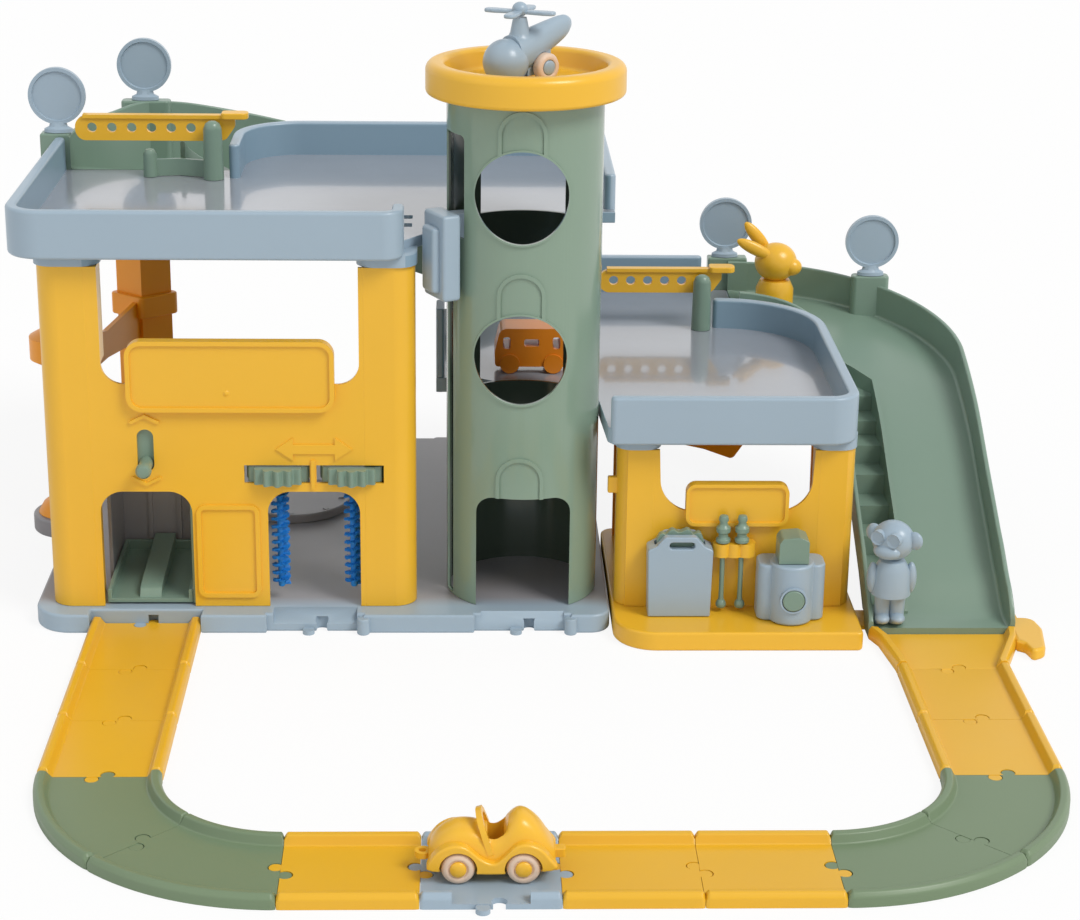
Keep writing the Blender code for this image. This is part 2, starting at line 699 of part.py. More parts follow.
def build_front_wall():
    low, high = ON_BASE, TOP_UNDER - COLLAR_DEPTH - FIT
    left, right = WALL_X
    edge = COLUMN_ROUND / 2
    outline = rounded(
        [
            (left + edge, low, 0.0),
            (ARCH_LEFT[0], low, 0.0),
            (ARCH_LEFT[0], ARCH_TOP, ARCH_ROUND),
            (ARCH_LEFT[1], ARCH_TOP, ARCH_ROUND),
            (ARCH_LEFT[1], low, 0.0),
            (ARCH_RIGHT[0], low, 0.0),
            (ARCH_RIGHT[0], ARCH_TOP, ARCH_ROUND),
            (ARCH_RIGHT[1], ARCH_TOP, ARCH_ROUND),
            (ARCH_RIGHT[1], low, 0.0),
            (right - edge, low, 0.0),
            (right - edge, high, 0.0),
            (COLUMN_RIGHT_IN, high, 0.0),
            (COLUMN_RIGHT_IN, SILL_Z, SILL_ROUND),
            (COLUMN_LEFT_IN, SILL_Z, SILL_ROUND),
            (COLUMN_LEFT_IN, high, 0.0),
            (left + edge, high, 0.0),
        ],
        4,
    )
    half = LEVER_WIDTH / 2
    holes = [rect((LEVER_X - half, LEVER_X + half), LEVER_Z, half - 0.05, 4)]
    wall = slab(outline, WALL_Y, WALL_Y + WALL_SKIN, 0.0, holes, upright=True)
    rear = WALL_Y + COLUMN_DEPTH
    for outer, inner in ((left, TUBE_LEFT_IN), (right, TUBE_RIGHT_IN)):
        side = min(outer, inner), max(outer, inner)
        front = WALL_Y - FIT / 3
        corner = COLUMN_ROUND
        near = corner if outer < inner else 1.0
        far = 1.0 if outer < inner else corner
        ring = rounded([(side[0], front, near), (side[1], front, far), (side[1], rear, far), (side[0], rear, near)], 3)
        t = TUBE_WALL
        ring_in = rounded([(side[0] + t, front + t, max(near - t, 1.0)), (side[1] - t, front + t, max(far - t, 1.0)), (side[1] - t, rear - t, max(far - t, 1.0)), (side[0] + t, rear - t, max(near - t, 1.0))], 2)
        join(wall, slab(ring, low, high, 0.0, (ring_in,)))
    inset = FIT / 2
    join(
        wall,
        box((COLUMN_LEFT_IN - WALL_SKIN, COLUMN_LEFT_IN - inset), (WALL_Y + inset, rear - COLUMN_ROUND), (SILL_Z + SILL_ROUND, high - inset)),
        box((TUBE_LEFT_IN - WALL_SKIN, COLUMN_LEFT_IN - inset), (rear - COLUMN_ROUND - WALL_SKIN, rear - COLUMN_ROUND), (SILL_Z + SILL_ROUND, high - inset)),
    )
    board_front = WALL_Y - 2 * EMBOSS
    join(wall, slab(rect(BOARD_X, BOARD_Z, BOARD_ROUND, 3), board_front, WALL_Y + WALL_SKIN + inset, upright=True))
    join(wall, frame_ring(BOARD_X, BOARD_Z, BOARD_ROUND, 3.2, board_front - EMBOSS, board_front + EMBOSS))
    join(wall, frame_ring(PANEL_X, PANEL_Z, 4.0, 2.6, WALL_Y - EMBOSS, WALL_Y + EMBOSS))
    x0, x1 = ARROW_X
    z0, z1 = ARROW_Z
    mid = (z0 + z1) / 2
    neck, head = (z1 - z0) / 5, 12.0
    arrow = [(x0, mid), (x0 + head, z1), (x0 + head, mid + neck), (x1 - head, mid + neck), (x1 - head, z1), (x1, mid)]
    arrow += [(x1 - head, z0), (x1 - head, mid - neck), (x0 + head, mid - neck), (x0 + head, z0)]
    join(wall, slab(arrow, WALL_Y - EMBOSS * 0.7, WALL_Y + EMBOSS, upright=True))
    join(wall, chevron(LEVER_X, LEVER_Z[1] + 5.0, 20.0, 5.0), chevron(LEVER_X, LEVER_Z[0] - 4.0, 20.0, -5.0))
    rib = (WHEEL_SLOTS[0][1] + 1.0, WHEEL_SLOTS[1][0] - 1.0)
    join(wall, box(rib, (WALL_Y - EMBOSS, WALL_Y + EMBOSS), (WHEEL_SLOT_Z[0] - 4.0, WHEEL_SLOT_Z[1] + 4.0)))
    for slot in WHEEL_SLOTS:
        cut(wall, box(slot, (WALL_Y - BASE_TOP, WALL_Y + COLUMN_DEPTH + BASE_SOFT), WHEEL_SLOT_Z))
    node("front_wall", wall, "yellow")


def build_wash():
    low, high = WASH_WHEEL_Z
    for name, x in zip(("left", "right"), WASH_X):
        ring = []
        per = 2
        for k in range(WASH_LOBES * per):
            a = FULL_TURN * k / (WASH_LOBES * per)
            swing = 0.5 + 0.5 * math.cos(math.radians(a * WASH_LOBES))
            radius = WASH_WHEEL_R - 2.4 * (1 - swing) ** 1.5
            ring.append((x + radius * math.cos(math.radians(a)), WASH_Y + radius * math.sin(math.radians(a))))
        wheel = slab(ring, low, high)
        join(wheel, turned([(0.0, BRUSH_Z[1] + FIT), (BRUSH_R, BRUSH_Z[1] + FIT), (BRUSH_R, low + 1.0), (0.0, low + 1.0)], 10, (x, WASH_Y, 0.0)))
        node(f"wash_wheel_{name}", wheel, "ramp_green", (x, WASH_Y, low))
        node(f"wash_brush_{name}", brush(x, WASH_Y), "brush_blue", (x, WASH_Y, BRUSH_Z[0]), 60.0)


def brush(x, y):
    """Tapered bristles grown from the faces of a helical core, one strand per face."""
    low, high = BRUSH_Z
    pitch = BRUSH_PITCH
    turns = int((high - low) / pitch) - 1
    rows = 2 * turns
    count = BRUSH_STRANDS
    lead = pitch
    start = low + (high - low - turns * pitch - lead) / 2
    work = bmesh.new()
    grid = []
    for row in range(rows + 1):
        ring = []
        for k in range(count):
            a = math.radians(FULL_TURN * k / count)
            z = start + row * pitch / 2 + lead * k / count
            ring.append(work.verts.new((BRUSH_CORE_R * math.cos(a), BRUSH_CORE_R * math.sin(a), z)))
        grid.append(ring)
    tufts = []
    for row in range(rows):
        for k in range(count):
            nxt = (k + 1) % count
            up = 0 if k + 1 < count else 2
            if row + up + 1 > rows and up:
                continue
            corners = (grid[row][k], grid[row + up][nxt], grid[row + up + 1][nxt], grid[row + 1][k])
            face = work.faces.new(corners)
            if row % 2 == 0:
                tufts.append(face)
    for level, row, sign in ((low, 0, -1), (high, rows, 1)):
        rim = grid[row]
        flat = [work.verts.new((v.co.x, v.co.y, level)) for v in rim]
        for k in range(count - 1):
            work.faces.new((rim[k], rim[k + 1], flat[k + 1], flat[k]))
        if sign < 0:
            chain = [grid[0][count - 1], grid[2][0], grid[1][0], grid[0][0], flat[0], flat[count - 1]]
        else:
            chain = [grid[rows][0], grid[rows - 2][count - 1], grid[rows - 1][count - 1], grid[rows][count - 1], flat[count - 1], flat[0]]
        work.faces.new(chain)
        work.faces.new(flat)
    bmesh.ops.recalc_face_normals(work, faces=work.faces)
    grown = bmesh.ops.poke(work, faces=tufts)
    for tip in grown["verts"]:
        out = Vector((tip.co.x, tip.co.y, 0.0)).normalized()
        sway = BRUSH_SWAY * math.sin(tip.co.z * 2.1 + math.atan2(tip.co.y, tip.co.x) * 3.0)
        tip.co += out * (BRUSH_R - BRUSH_CORE_R + sway)
    bmesh.ops.recalc_face_normals(work, faces=work.faces)
    bmesh.ops.scale(work, vec=(UNIT, UNIT, UNIT), verts=work.verts)
    mesh = bpy.data.meshes.new("brush")
    work.to_mesh(mesh)
    work.free()
    mesh.transform(shift(x, y, 0.0))
    return as_object(mesh)


def build_hoist():
    x0, x1 = HOIST_X
    y0, y1 = HOIST_Y
    low = ON_BASE + 1.0
    plate = box((x0, x1), (y0, y1), (low, low + 3.0), 0.5)
    strip = (x0 + x1) / 2 - 11.0, (x0 + x1) / 2 + 11.0
    join(
        plate,
        box((x0, x0 + 3.0), (y0, y1), (low + 0.2, low + 10.0), 0.6),
        box((x1 - 3.0, x1), (y0, y1), (low + 0.2, low + 10.0), 0.6),
        box(strip, (y0 + 4.0, y1 - 1.0), (low + 0.2, low + 9.0), 1.5, 2),
        box((x0 + 1.0, x1 - 1.0), (y1 - 3.2, y1 - 0.2), (low + 0.2, low + 10.0), 0.6),
    )
    node("hoist_platform", plate, "ramp_green", ((x0 + x1) / 2, y1, low))
    front = WALL_Y + WALL_SKIN + FIT
    back = front + 2.2
    arm = x1 + FIT, x1 + 8.0
    lever = box((LEVER_X - 12.0, arm[1]), (front, back), (ARCH_TOP + 2.0, LEVER_Z[1] + 22.0), 0.4)
    join(lever, box((arm[0], arm[1]), (front + 0.05, back - 0.05), (low, ARCH_TOP + 10.0)))
    join(lever, box((arm[0], arm[1]), (back - 1.0, back + 12.0), (low, low + 9.0)))
    peg_r = LEVER_WIDTH / 2 - 0.9
    peg_z = LEVER_Z[0] + LEVER_WIDTH / 2
    reach = 16.0
    profile = [(0.0, 0.0), (peg_r, 0.0), (peg_r * 0.92, reach), (peg_r * 1.12, reach + 1.0), (peg_r * 1.12, reach + 4.0), (peg_r * 0.8, reach + 6.0), (0.0, reach + 6.6)]
    peg = turned([(r, z) for r, z in profile], 16)
    moved(peg, shift(LEVER_X, front + 1.0, peg_z) @ Matrix.Rotation(math.radians(QUARTER_TURN), 4, "X"))
    join(lever, peg)
    node("hoist_lever", lever, "ramp_green", (LEVER_X, front, peg_z))
    guide = box((x0 - 1.0, x1 + 1.0), (HOIST_GUIDE_Y, HOIST_GUIDE_Y + 3.0), (ON_BASE, ARCH_TOP), 0.5)
    join(
        guide,
        box((x0 - 3.6, x0 - 0.8), (0.0, HOIST_GUIDE_Y + 2.8), (ON_BASE, ARCH_TOP - 6.0), 0.5),
        box((x1 + 0.8, x1 + 3.6), (HOIST_GUIDE_Y - 20.0, HOIST_GUIDE_Y + 2.8), (ON_BASE, ARCH_TOP - 6.0), 0.5),
        box((x0 + 18.0, x0 + 21.0), (HOIST_GUIDE_Y - 1.6, HOIST_GUIDE_Y + 1.0), (ON_BASE, ARCH_TOP - 4.0)),
        box((x1 - 21.0, x1 - 18.0), (HOIST_GUIDE_Y - 1.6, HOIST_GUIDE_Y + 1.0), (ON_BASE, ARCH_TOP - 4.0)),
    )
    node("hoist_guide", guide, "blue_grey")


def build_rear_frame():
    low = ON_BASE
    x_a, y_a = FOOT_LOBE[0], FOOT_LOBE[1]
    top_a = TOP_UNDER - RIM_DROP - FIT
    x_b, y_b = -307.0, 298.0
    top_b = 229.2
    radius = 12.0
    outer = 2 * radius
    column = [(0.0, low), (outer, low), (outer - 4.0, low + 7.0), (radius, low + 13.0), (radius, 132.0), (outer, 139.0), (outer, 156.0), (radius, 163.0), (radius, top_a), (0.0, top_a)]
    frame = turned(column, 12, (x_a, y_a, 0.0))
    half = 17.0
    diamond = [(x_b - half * 1.3, y_b), (x_b, y_b - half), (x_b + half * 1.3, y_b), (x_b, y_b + half)]
    join(frame, slab(diamond, low, top_b))
    join(frame, slab(rounded([(x_b - half * 1.75, y_b, 5.0), (x_b, y_b - half * 1.35, 5.0), (x_b + half * 1.75, y_b, 5.0), (x_b, y_b + half * 1.35, 5.0)], 3), 158.0, 176.0, 1.5))
    reach = math.hypot(x_b - x_a, y_b - y_a)
    heading = math.degrees(math.atan2(y_b - y_a, x_b - x_a))
    drop = [(0.0, 168.0), (reach * 0.5, 150.0), (reach, 166.0), (reach, 132.0), (reach * 0.75, 116.0), (reach * 0.5, 110.0), (reach * 0.25, 116.0), (0.0, 132.0)]
    web = slab(rounded([(x, z, 6.0 if 0.0 < x < reach else 0.0) for x, z in drop], 3), -2.0, 2.0, 0.0, (circle(reach * 0.32, 134.0, 9.0, 10),), upright=True)
    moved(web, shift(x_a, y_a, 0.0) @ Matrix.Rotation(math.radians(heading), 4, "Z"))
    join(frame, web)
    node("rear_left_frame", frame, "yellow")


def build_upper_tray():
    left, right = DECK_X
    front, rear = DECK_FRONT, DECK_REAR
    bend = 50.0
    curve_x, curve_y = DECK_GATE_X + bend, rear - bend
    corner = 25.0
    end_x, end_y = -82.0, front
    clear = TOWER_R + 3.0
    face = [(left, DECK_GATE_Y, 0.0), (left, front, corner), (end_x, front, 9.0), (end_x, -34.0, 5.0)]
    face += [(-clear - 5.0, -4.0, 3.0), (-clear, 2.0, 0.0)]
    outline = rounded(face, 4)[:-1]
    outline += arc(0.0, 0.0, clear, 178.0, 62.0, 7)
    outline += [(right, clear * 0.9), (right, rear)]
    outline += arc(curve_x, curve_y, bend, QUARTER_TURN, HALF_TURN, 6)
    outline += [(DECK_GATE_X, DECK_GATE_Y)]
    deck = slab(outline, TOP_UNDER, TOP_FLOOR, 0.8)
    half = RIM_WIDTH / 2
    inset = half - RIM_DROP
    front_path = [(left + inset, DECK_GATE_Y - half)]
    front_path += arc(left + corner, front + corner, corner - inset, HALF_TURN, HALF_TURN + QUARTER_TURN, 4)
    front_path += [(end_x - 9.0, front + inset)]
    gate_path = [(DECK_GATE_X + inset, DECK_GATE_Y - 24.0), (DECK_GATE_X + inset, curve_y)]
    gate_path += arc(curve_x, curve_y, bend - inset, HALF_TURN, QUARTER_TURN, 6)[1:]
    gate_path += [(right - 20.0, rear - inset)]
    gate_path += arc(right - 20.0, rear - 20.0, 20.0 - inset, QUARTER_TURN, 0.0, 3)[1:]
    gate_path += [(right - inset, clear + 6.0)]
    low = TOP_UNDER - RIM_DROP
    rims = [slab(band(path, half), low, TOP_RIM, RIM_SOFT) for path in (front_path, gate_path)]
    join(deck, *rims)
    grow = 1.4
    collar_rear = WALL_Y + COLUMN_DEPTH + grow
    for outer, inner in ((WALL_X[0], COLUMN_LEFT_IN), (WALL_X[1], COLUMN_RIGHT_IN)):
        x = min(outer, inner) - grow, max(outer, inner) + grow
        join(deck, slab(rect(x, (WALL_Y - grow, collar_rear), COLUMN_ROUND, 3), TOP_UNDER - COLLAR_DEPTH, TOP_UNDER + 2.0))
    for x0, x1, y0, y1 in ((-340.0, -120.0, 0.0, 168.0), (-205.0, -66.0, 176.0, 232.0)):
        cut(deck, slab(rect((x0, x1), (y0, y1), 10.0, 3), TOP_UNDER - 3.0, TOP_UNDER + 3.5))
    for y in (-22.0, -14.0):
        cut(deck, slab(rect((-98.0, -89.0), (y, y + 2.6), 1.2, 1), TOP_UNDER - 9.0, TOP_FLOOR + 9.0))
    node("upper_tray", deck, "blue_grey")


def barrier(prefix, x, y, floor, span, holes, sway):
    """A round-topped post and the drilled beam that tips on it."""
    post_r = 7.6
    top = floor + 44.0
    profile = [(0.0, floor + FIT), (post_r, floor + FIT), (post_r * 0.9, top - 6.0), (post_r * 0.7, top - 2.0), (post_r * 0.35, top - 0.3), (0.0, top)]
    post = turned(profile, 14, (x, y, 0.0))
    pin_y = y + post_r + 1.4
    pin_z = floor + 36.0
    beam_y = (pin_y + FIT, pin_y + 4.6)
    pin_r = 2.4
    pin = turned([(0.0, 0.0), (pin_r, 0.0), (pin_r, beam_y[1] - y + 1.5), (0.0, beam_y[1] - y + 1.5)], 8)
    moved(pin, shift(x, y, pin_z) @ Matrix.Rotation(math.radians(-QUARTER_TURN), 4, "X"))
    join(post, pin)
    if sway:
        stop_x = x - sway
        stop = turned([(0.0, floor + FIT), (5.4, floor + FIT), (5.0, floor + 17.0), (3.2, floor + 20.5), (0.0, floor + 21.5)], 10, (stop_x, y + 8.0, 0.0))
        path = [(stop_x, y + 8.0), (stop_x + sway * 0.45, y + 12.0), (x, y + 4.0)]
        join(post, stop, slab(band(path, 1.6, False), floor + FIT + FIT / 3, floor + 13.0))
    node(f"{prefix}_barrier_post", post, "ramp_green", (x, y, floor))
    height = 9.2
    tip = x - span
    z0, z1 = pin_z - height, pin_z + height
    tail = x + 16.0
    outline = rounded([(tip, z0, height * 0.9), (x + 3.0, z0, 0.0), (x + 9.0, z0 + 1.0, 5.0), (tail, z0 + 11.0, 3.0), (tail, z1 - 1.0, 1.0), (tip, z1, height * 0.9)], 3)
    rings = []
    pitch = span / (holes + 1.0)
    for k in range(holes):
        rings.append(circle(tip + pitch * (k + 0.85), pin_z + 0.5, 3.6, 8))
    rings.append(circle(x, pin_z, pin_r + 0.35, 8))
    beam = slab(outline, beam_y[0], beam_y[1], 0.0, rings, upright=True)
    cap = [(tip + 6.0, beam_y[0] - 1.5), (tail - 2.0, beam_y[0] - 1.5), (tail - 2.0, beam_y[1] + 1.5), (tip + 6.0, beam_y[1] + 1.5)]
    join(beam, slab(cap, z1 - 1.6, z1 + 1.2))
    paddle = rounded([(x + 6.0, beam_y[0] - 5.0, 3.0), (x + 26.0, beam_y[0] - 5.0, 5.0), (x + 26.0, beam_y[1] + 4.0, 5.0), (x + 6.0, beam_y[1] + 4.0, 3.0)], 3)
    join(beam, slab(paddle, z1 - 1.4, z1 + 3.2, 0.8))
    node(f"{prefix}_barrier_arm", beam, "yellow", (x, (beam_y[0] + beam_y[1]) / 2, pin_z))


def sign(name, x, y, foot, angle=0.0):
    """A round sign on a collared foot; it faces the front, turned by the angle."""
    radius, thick = 21.4, 5.0
    centre = foot + radius + 6.4
    lip = 2.6
    profile = [
        (0.0, -thick / 2),
        (radius, -thick / 2),
        (radius, thick / 2),
        (radius - lip, thick / 2),
        (radius - lip - 0.6, thick / 2 - 1.5),
        (0.0, thick / 2 - 1.5),
    ]
    disc = turned(profile, 18)
    moved(disc, shift(x, y, centre) @ Matrix.Rotation(math.radians(QUARTER_TURN), 4, "X"))
    base = foot + FIT
    flare = [(0.0, base), (11.0, base), (10.6, base + 2.6), (7.0, base + 4.4), (6.0, base + 8.0), (0.0, base + 8.0)]
    stand = turned(flare, 10)
    moved(stand, shift(x, y, 0.0) @ Matrix.Diagonal((1.0, 0.55, 1.0, 1.0)))
    join(disc, stand)
    if angle:
        moved(disc, turn(angle, "Z", (x, y, 0.0)))
    node(name, disc, "blue_grey", (x, y, foot))


def ramp(path, wall_out, wall_in):
    """A lofted chute. Each station is x, y, heading, floor, outer height, inner height, half width."""
    rings = []
    for x, y, heading, floor, tall_out, tall_in, half in path:
        a = math.radians(heading)
        side = Vector((-math.sin(a), math.cos(a)))
        soft = 1.0
        skirt = min(RAMP_SKIN, floor - FIT) if floor > ROAD_FLOOR + 3 * RAMP_SKIN else floor - FIT
        section = [
            (half, -skirt),
            (half, tall_out - soft),
            (half - soft, tall_out),
            (half - wall_out, tall_out),
            (half - wall_out, 0.0),
            (-half + wall_in, 0.0),
            (-half + wall_in, tall_in),
            (-half + soft, tall_in),
            (-half, tall_in - soft),
            (-half, -skirt),
        ]
        rings.append([(x + side.x * u, y + side.y * u, floor + v) for u, v in section])
    return loft(rings)


def eased(table, s):
    """Linear reading of a table of (distance, value) pairs."""
    for (a, u), (b, v) in zip(table, table[1:]):
        if s <= b:
            return u + (v - u) * (s - a) / (b - a)
    return table[-1][1]


def build_upper_ramp():
    cx, cy = HIGH_RAMP_CENTRE
    radius, half = HIGH_RAMP_R, HIGH_RAMP_HALF
    turn_length = radius * math.pi / 2
    straight = LANE_X - FIT - cx
    total = turn_length + straight
    drop = TOP_FLOOR - SECOND_FLOOR
    rim = TOP_RIM - TOP_FLOOR
    outer = ((0.0, rim), (60.0, 43.0), (95.0, 52.0), (turn_length, 50.0), (turn_length + 70.0, 28.0), (total, 22.0))
    stations = []
    for k in range(9):
        s = turn_length * k / 9
        a = HALF_TURN - QUARTER_TURN * k / 9
        x, y = cx + radius * math.cos(math.radians(a)), cy + radius * math.sin(math.radians(a))
        stations.append((x, max(y, DECK_GATE_Y + FIT), a - QUARTER_TURN, TOP_FLOOR - drop * s / total, eased(outer, s), 22.0, half))
    for k in range(5):
        s = turn_length + straight * k / 4
        stations.append((cx + straight * k / 4, cy + radius, 0.0, TOP_FLOOR - drop * s / total + 0.2, eased(outer, s), 20.0, half))
    first = stations[0]
    stations[0] = (first[0], DECK_GATE_Y + FIT, *first[2:])
    chute = ramp(stations, RAMP_WALL, RAMP_WALL)
    left = cx - radius - half
    join(chute, box((-362.0, left + 3.0), (DECK_GATE_Y + FIT, DECK_GATE_Y + 15.0), (TOP_FLOOR - 16.0, TOP_RIM + 2.0), 1.5))
    reach = radius + half + 4.0
    mid = math.radians(HALF_TURN - 47.0)
    bx, by = cx + reach * math.cos(mid), cy + reach * math.sin(mid)
    spot = slab(rect((bx - 14.0, bx + 14.0), (by - 7.0, by + 7.0), 4.0, 3), TOP_FLOOR - 48.0, TOP_RIM + 5.4, 1.5)
    join(chute, spot)
    gate = DECK_GATE_X - RIM_DROP - FIT
    web = [(cx - radius + half - 1.0, DECK_GATE_Y + FIT), (gate, DECK_GATE_Y + FIT), (gate, DECK_GATE_Y + 14.0), (gate - 12.0, DECK_GATE_Y + 36.0), (gate - 23.0, DECK_GATE_Y + 37.0)]
    join(chute, slab(web, TOP_FLOOR - 7.0, TOP_FLOOR - 4.0))
    node("upper_ramp", chute, "ramp_green")
    sign("sign_a", -348.5, DECK_GATE_Y + 7.5, TOP_RIM + 2.0)
    sign("sign_b", bx, by, TOP_RIM + 5.4)


def build_lower_ramp():
    cx, cy = LOW_RAMP_CENTRE
    radius, half = LOW_RAMP_R, LOW_RAMP_HALF
    start = LOW_GATE + FIT
    lead = cx - start
    turn_length = radius * math.pi / 2
    run = cy - LOW_RAMP_END
    total = lead + turn_length + run
    foot = ROAD_FLOOR + 4.5
    floor = ((0.0, SECOND_FLOOR), (60.0, 146.0), (lead + turn_length, 122.0), (lead + turn_length + 60.0, 101.0), (lead + turn_length + 120.0, 67.0), (lead + turn_length + 180.0, 32.0), (total - 14.0, foot + 2.0), (total, foot))
    outer = ((0.0, 25.0), (30.0, 26.0), (total - 40.0, 26.0), (total - 18.0, 24.0), (total - 6.0, 15.0), (total, 6.0))
    inner = ((0.0, 24.0), (turn_length * 0.6, 22.0), (total - 60.0, 15.0), (total - 18.0, 15.0), (total - 6.0, 11.0), (total, 5.0))
    stations = [(start, cy + radius, 0.0, SECOND_FLOOR, 25.0, 24.0, half)]
    for k in range(10):
        s = lead + turn_length * k / 9
        a = QUARTER_TURN - QUARTER_TURN * k / 9
        x, y = cx + radius * math.cos(math.radians(a)), cy + radius * math.sin(math.radians(a))
        stations.append((x, y, a - QUARTER_TURN, eased(floor, s), eased(outer, s), eased(inner, s), half))
    marks = (40.0, 80.0, 120.0, 160.0, 190.0, run - 12.0, run - 4.0, run)
    for d in marks:
        s = lead + turn_length + d
        stations.append((cx + radius, cy - d, -QUARTER_TURN, eased(floor, s), eased(outer, s), eased(inner, s), half))
    chute = ramp(stations, RAMP_WALL, RAMP_WALL)
    well_x = cx + radius - half + RAMP_WALL + 0.6
    well = (well_x, well_x + STEP_BAND)
    rise_top = 108.0
    cut(chute, box(well, (-46.0, cy - 24.0), (0.0, SECOND_RIM)))
    steps = 7
    tread = (cy - 24.0 + 46.0) / steps
    tops = [eased(floor, lead + turn_length + 24.0 + tread * k + tread * 0.75) - 5.0 for k in range(steps)]
    profile = [(-46.4, tops[-1] - 12.0)]
    for k in range(steps - 1, -1, -1):
        far = cy - 24.0 - tread * k
        near = far - tread
        profile += [(max(near, -46.4), max(tops[k], profile[-1][1] + 1.0)), (far + (0.4 if k == 0 else 0.0), tops[k])]
    top_back = profile[-1]
    under = [(top_back[0], top_back[1] - 16.0)]
    for k in range(1, steps):
        under.append((cy - 24.0 - tread * k, tops[k] - 13.0))
    ring = profile + under
    left = well[0] - 0.4
    right = well[1] + 0.4
    flight = loft([[(left, y, z) for y, z in ring], [(right, y, z) for y, z in ring]])
    join(chute, flight)
    curb_out = well[1] + 2.6
    low_curb = []
    for d in (20.0, 40.0, 80.0, 120.0, 160.0, 190.0, run - 18.0):
        z = eased(floor, lead + turn_length + d)
        top = 5.0 if d < run - 20.0 else 2.0
        low_curb.append([(well[1] - 0.2, cy - d, z - 9.0 if 24.0 <= d <= 200.0 else z - 2.0), (curb_out, cy - d, z - 2.0), (curb_out, cy - d, z + top), (well[1] - 0.2, cy - d, z + top)])
    join(chute, loft(low_curb))
    top_c = SECOND_RIM + 6.6
    join(chute, box((160.0, start + 16.0), (LOW_REAR + FIT, LOW_REAR + 13.0), (SECOND_FLOOR - 3.0, top_c), 1.5))
    join(chute, box((start, start + 16.0), (LOW_REAR - 4.0, LOW_REAR + 2.0), (SECOND_FLOOR - 2.0, top_c - 3.0)))
    reach = radius + half + 1.0
    mid = math.radians(48.0)
    dx, dy = cx + reach * math.cos(mid), cy + reach * math.sin(mid)
    foot_d = SECOND_RIM + 0.6
    join(chute, slab(rect((dx - 15.0, dx + 15.0), (dy - 6.5, dy + 6.5), 4.0, 3), SECOND_FLOOR - 22.0, foot_d, 1.5))
    node("lower_ramp", chute, "ramp_green")
    sign("sign_c", 174.0, LOW_REAR + 6.6, top_c)
    sign("sign_d", dx, dy, foot_d)


def tower_cut(angle, half, low, high, radius):
    """A cutter through one side of the tower wall with a rounded head."""
    ring = rounded([(-half, low, 0.0), (half, low, 0.0), (half, high, radius), (-half, high, radius)], 2)
    made = slab(ring, -TOWER_R - 20.0, -18.0, 0.0, upright=True)
    return moved(made, Matrix.Rotation(math.radians(angle - 270.0), 4, "Z"))


def build_tower():
    low, high = ON_BASE, TOWER_TOP
    inner = TOWER_R - TOWER_WALL
    shell = turned([(inner, low), (TOWER_R, low), (TOWER_R, high), (inner, high)], TOWER_STEPS, closed=True)
    marks = []
    ridge = 16.0
    arcs = (
        (WINDOW_Z[1] + WINDOW_R - 3.0, TOWER_TOP - 15.0),
        (WINDOW_Z[0] + WINDOW_R - 3.0, WINDOW_Z[0] + WINDOW_R + 15.1),
        (DOOR_TOP - 2.0, DOOR_TOP + 29.0),
    )
    for z0, z1 in arcs:
        path = [(WINDOW_X - ridge / 1.15, z0), *arc(WINDOW_X, z1 - ridge / 1.15, ridge / 1.15, HALF_TURN, 0.0, 4), (WINDOW_X + ridge / 1.15, z0)]
        marks.append(slab(band(path, 1.1, False), -TOWER_R - 6.0, -20.0, upright=True))
    raised = turned([(TOWER_R - 1.2, low), (TOWER_R + 0.9, low), (TOWER_R + 0.9, high), (TOWER_R - 1.2, high)], TOWER_STEPS, closed=True)
    for mark in marks:
        raised_copy = as_object(raised.data.copy())
        meet(raised_copy, mark)
        join(shell, raised_copy)
    bpy.data.objects.remove(raised)
    for z in WINDOW_Z:
        cut(shell, slab(circle(WINDOW_X, z, WINDOW_R, 20), -TOWER_R - 20.0, -18.0, upright=True))
    cut(
        shell,
        tower_cut(270.0, DOOR_HALF, low - 9.0, DOOR_TOP, DOOR_ROUND),
        tower_cut(90.0, 30.0, TOP_FLOOR + 1.0, TOP_FLOOR + 58.0, 4.0),
        tower_cut(90.0, 30.0, SECOND_FLOOR + 1.0, SECOND_FLOOR + 63.0, 4.0),
        tower_cut(180.0, 26.0, TOP_FLOOR + 1.0, TOP_FLOOR + 58.0, 4.0),
        tower_cut(SLOT_ANGLE, SLOT_HALF, ON_BASE + 1.7, TOWER_TOP - 23.0, 2.0),
    )
    node("tower_shell", shell, "tower_green", smooth=20.0)
    platform = turned([(0.0, LIFT_Z[0]), (LIFT_R, LIFT_Z[0]), (LIFT_R, LIFT_Z[1] + 2.5), (LIFT_R - 2.0, LIFT_Z[1] + 2.5), (LIFT_R - 3.0, LIFT_Z[1]), (0.0, LIFT_Z[1])], 24)
    neck = box((40.0, TOWER_R + 9.0), (FIT - SLOT_HALF, SLOT_HALF - FIT), (HANDLE_Z[0] + 4.0, HANDLE_Z[1] - 4.0))
    grip = box((TOWER_R + 3.4, TOWER_R + 17.0), (-15.0, 15.0), HANDLE_Z, 2.5)
    knob = box((TOWER_R + 14.0, TOWER_R + 22.0), (-9.0, 9.0), (HANDLE_Z[0] + 5.0, HANDLE_Z[1] - 9.0), 3.0)
    join(grip, knob)
    moved(neck, Matrix.Rotation(math.radians(SLOT_ANGLE), 4, "Z"))
    moved(grip, Matrix.Rotation(math.radians(GRIP_ANGLE), 4, "Z"))
    join(platform, neck, grip)
    node("lift_car", platform, "blue_grey", (0.0, 0.0, LIFT_Z[0]))


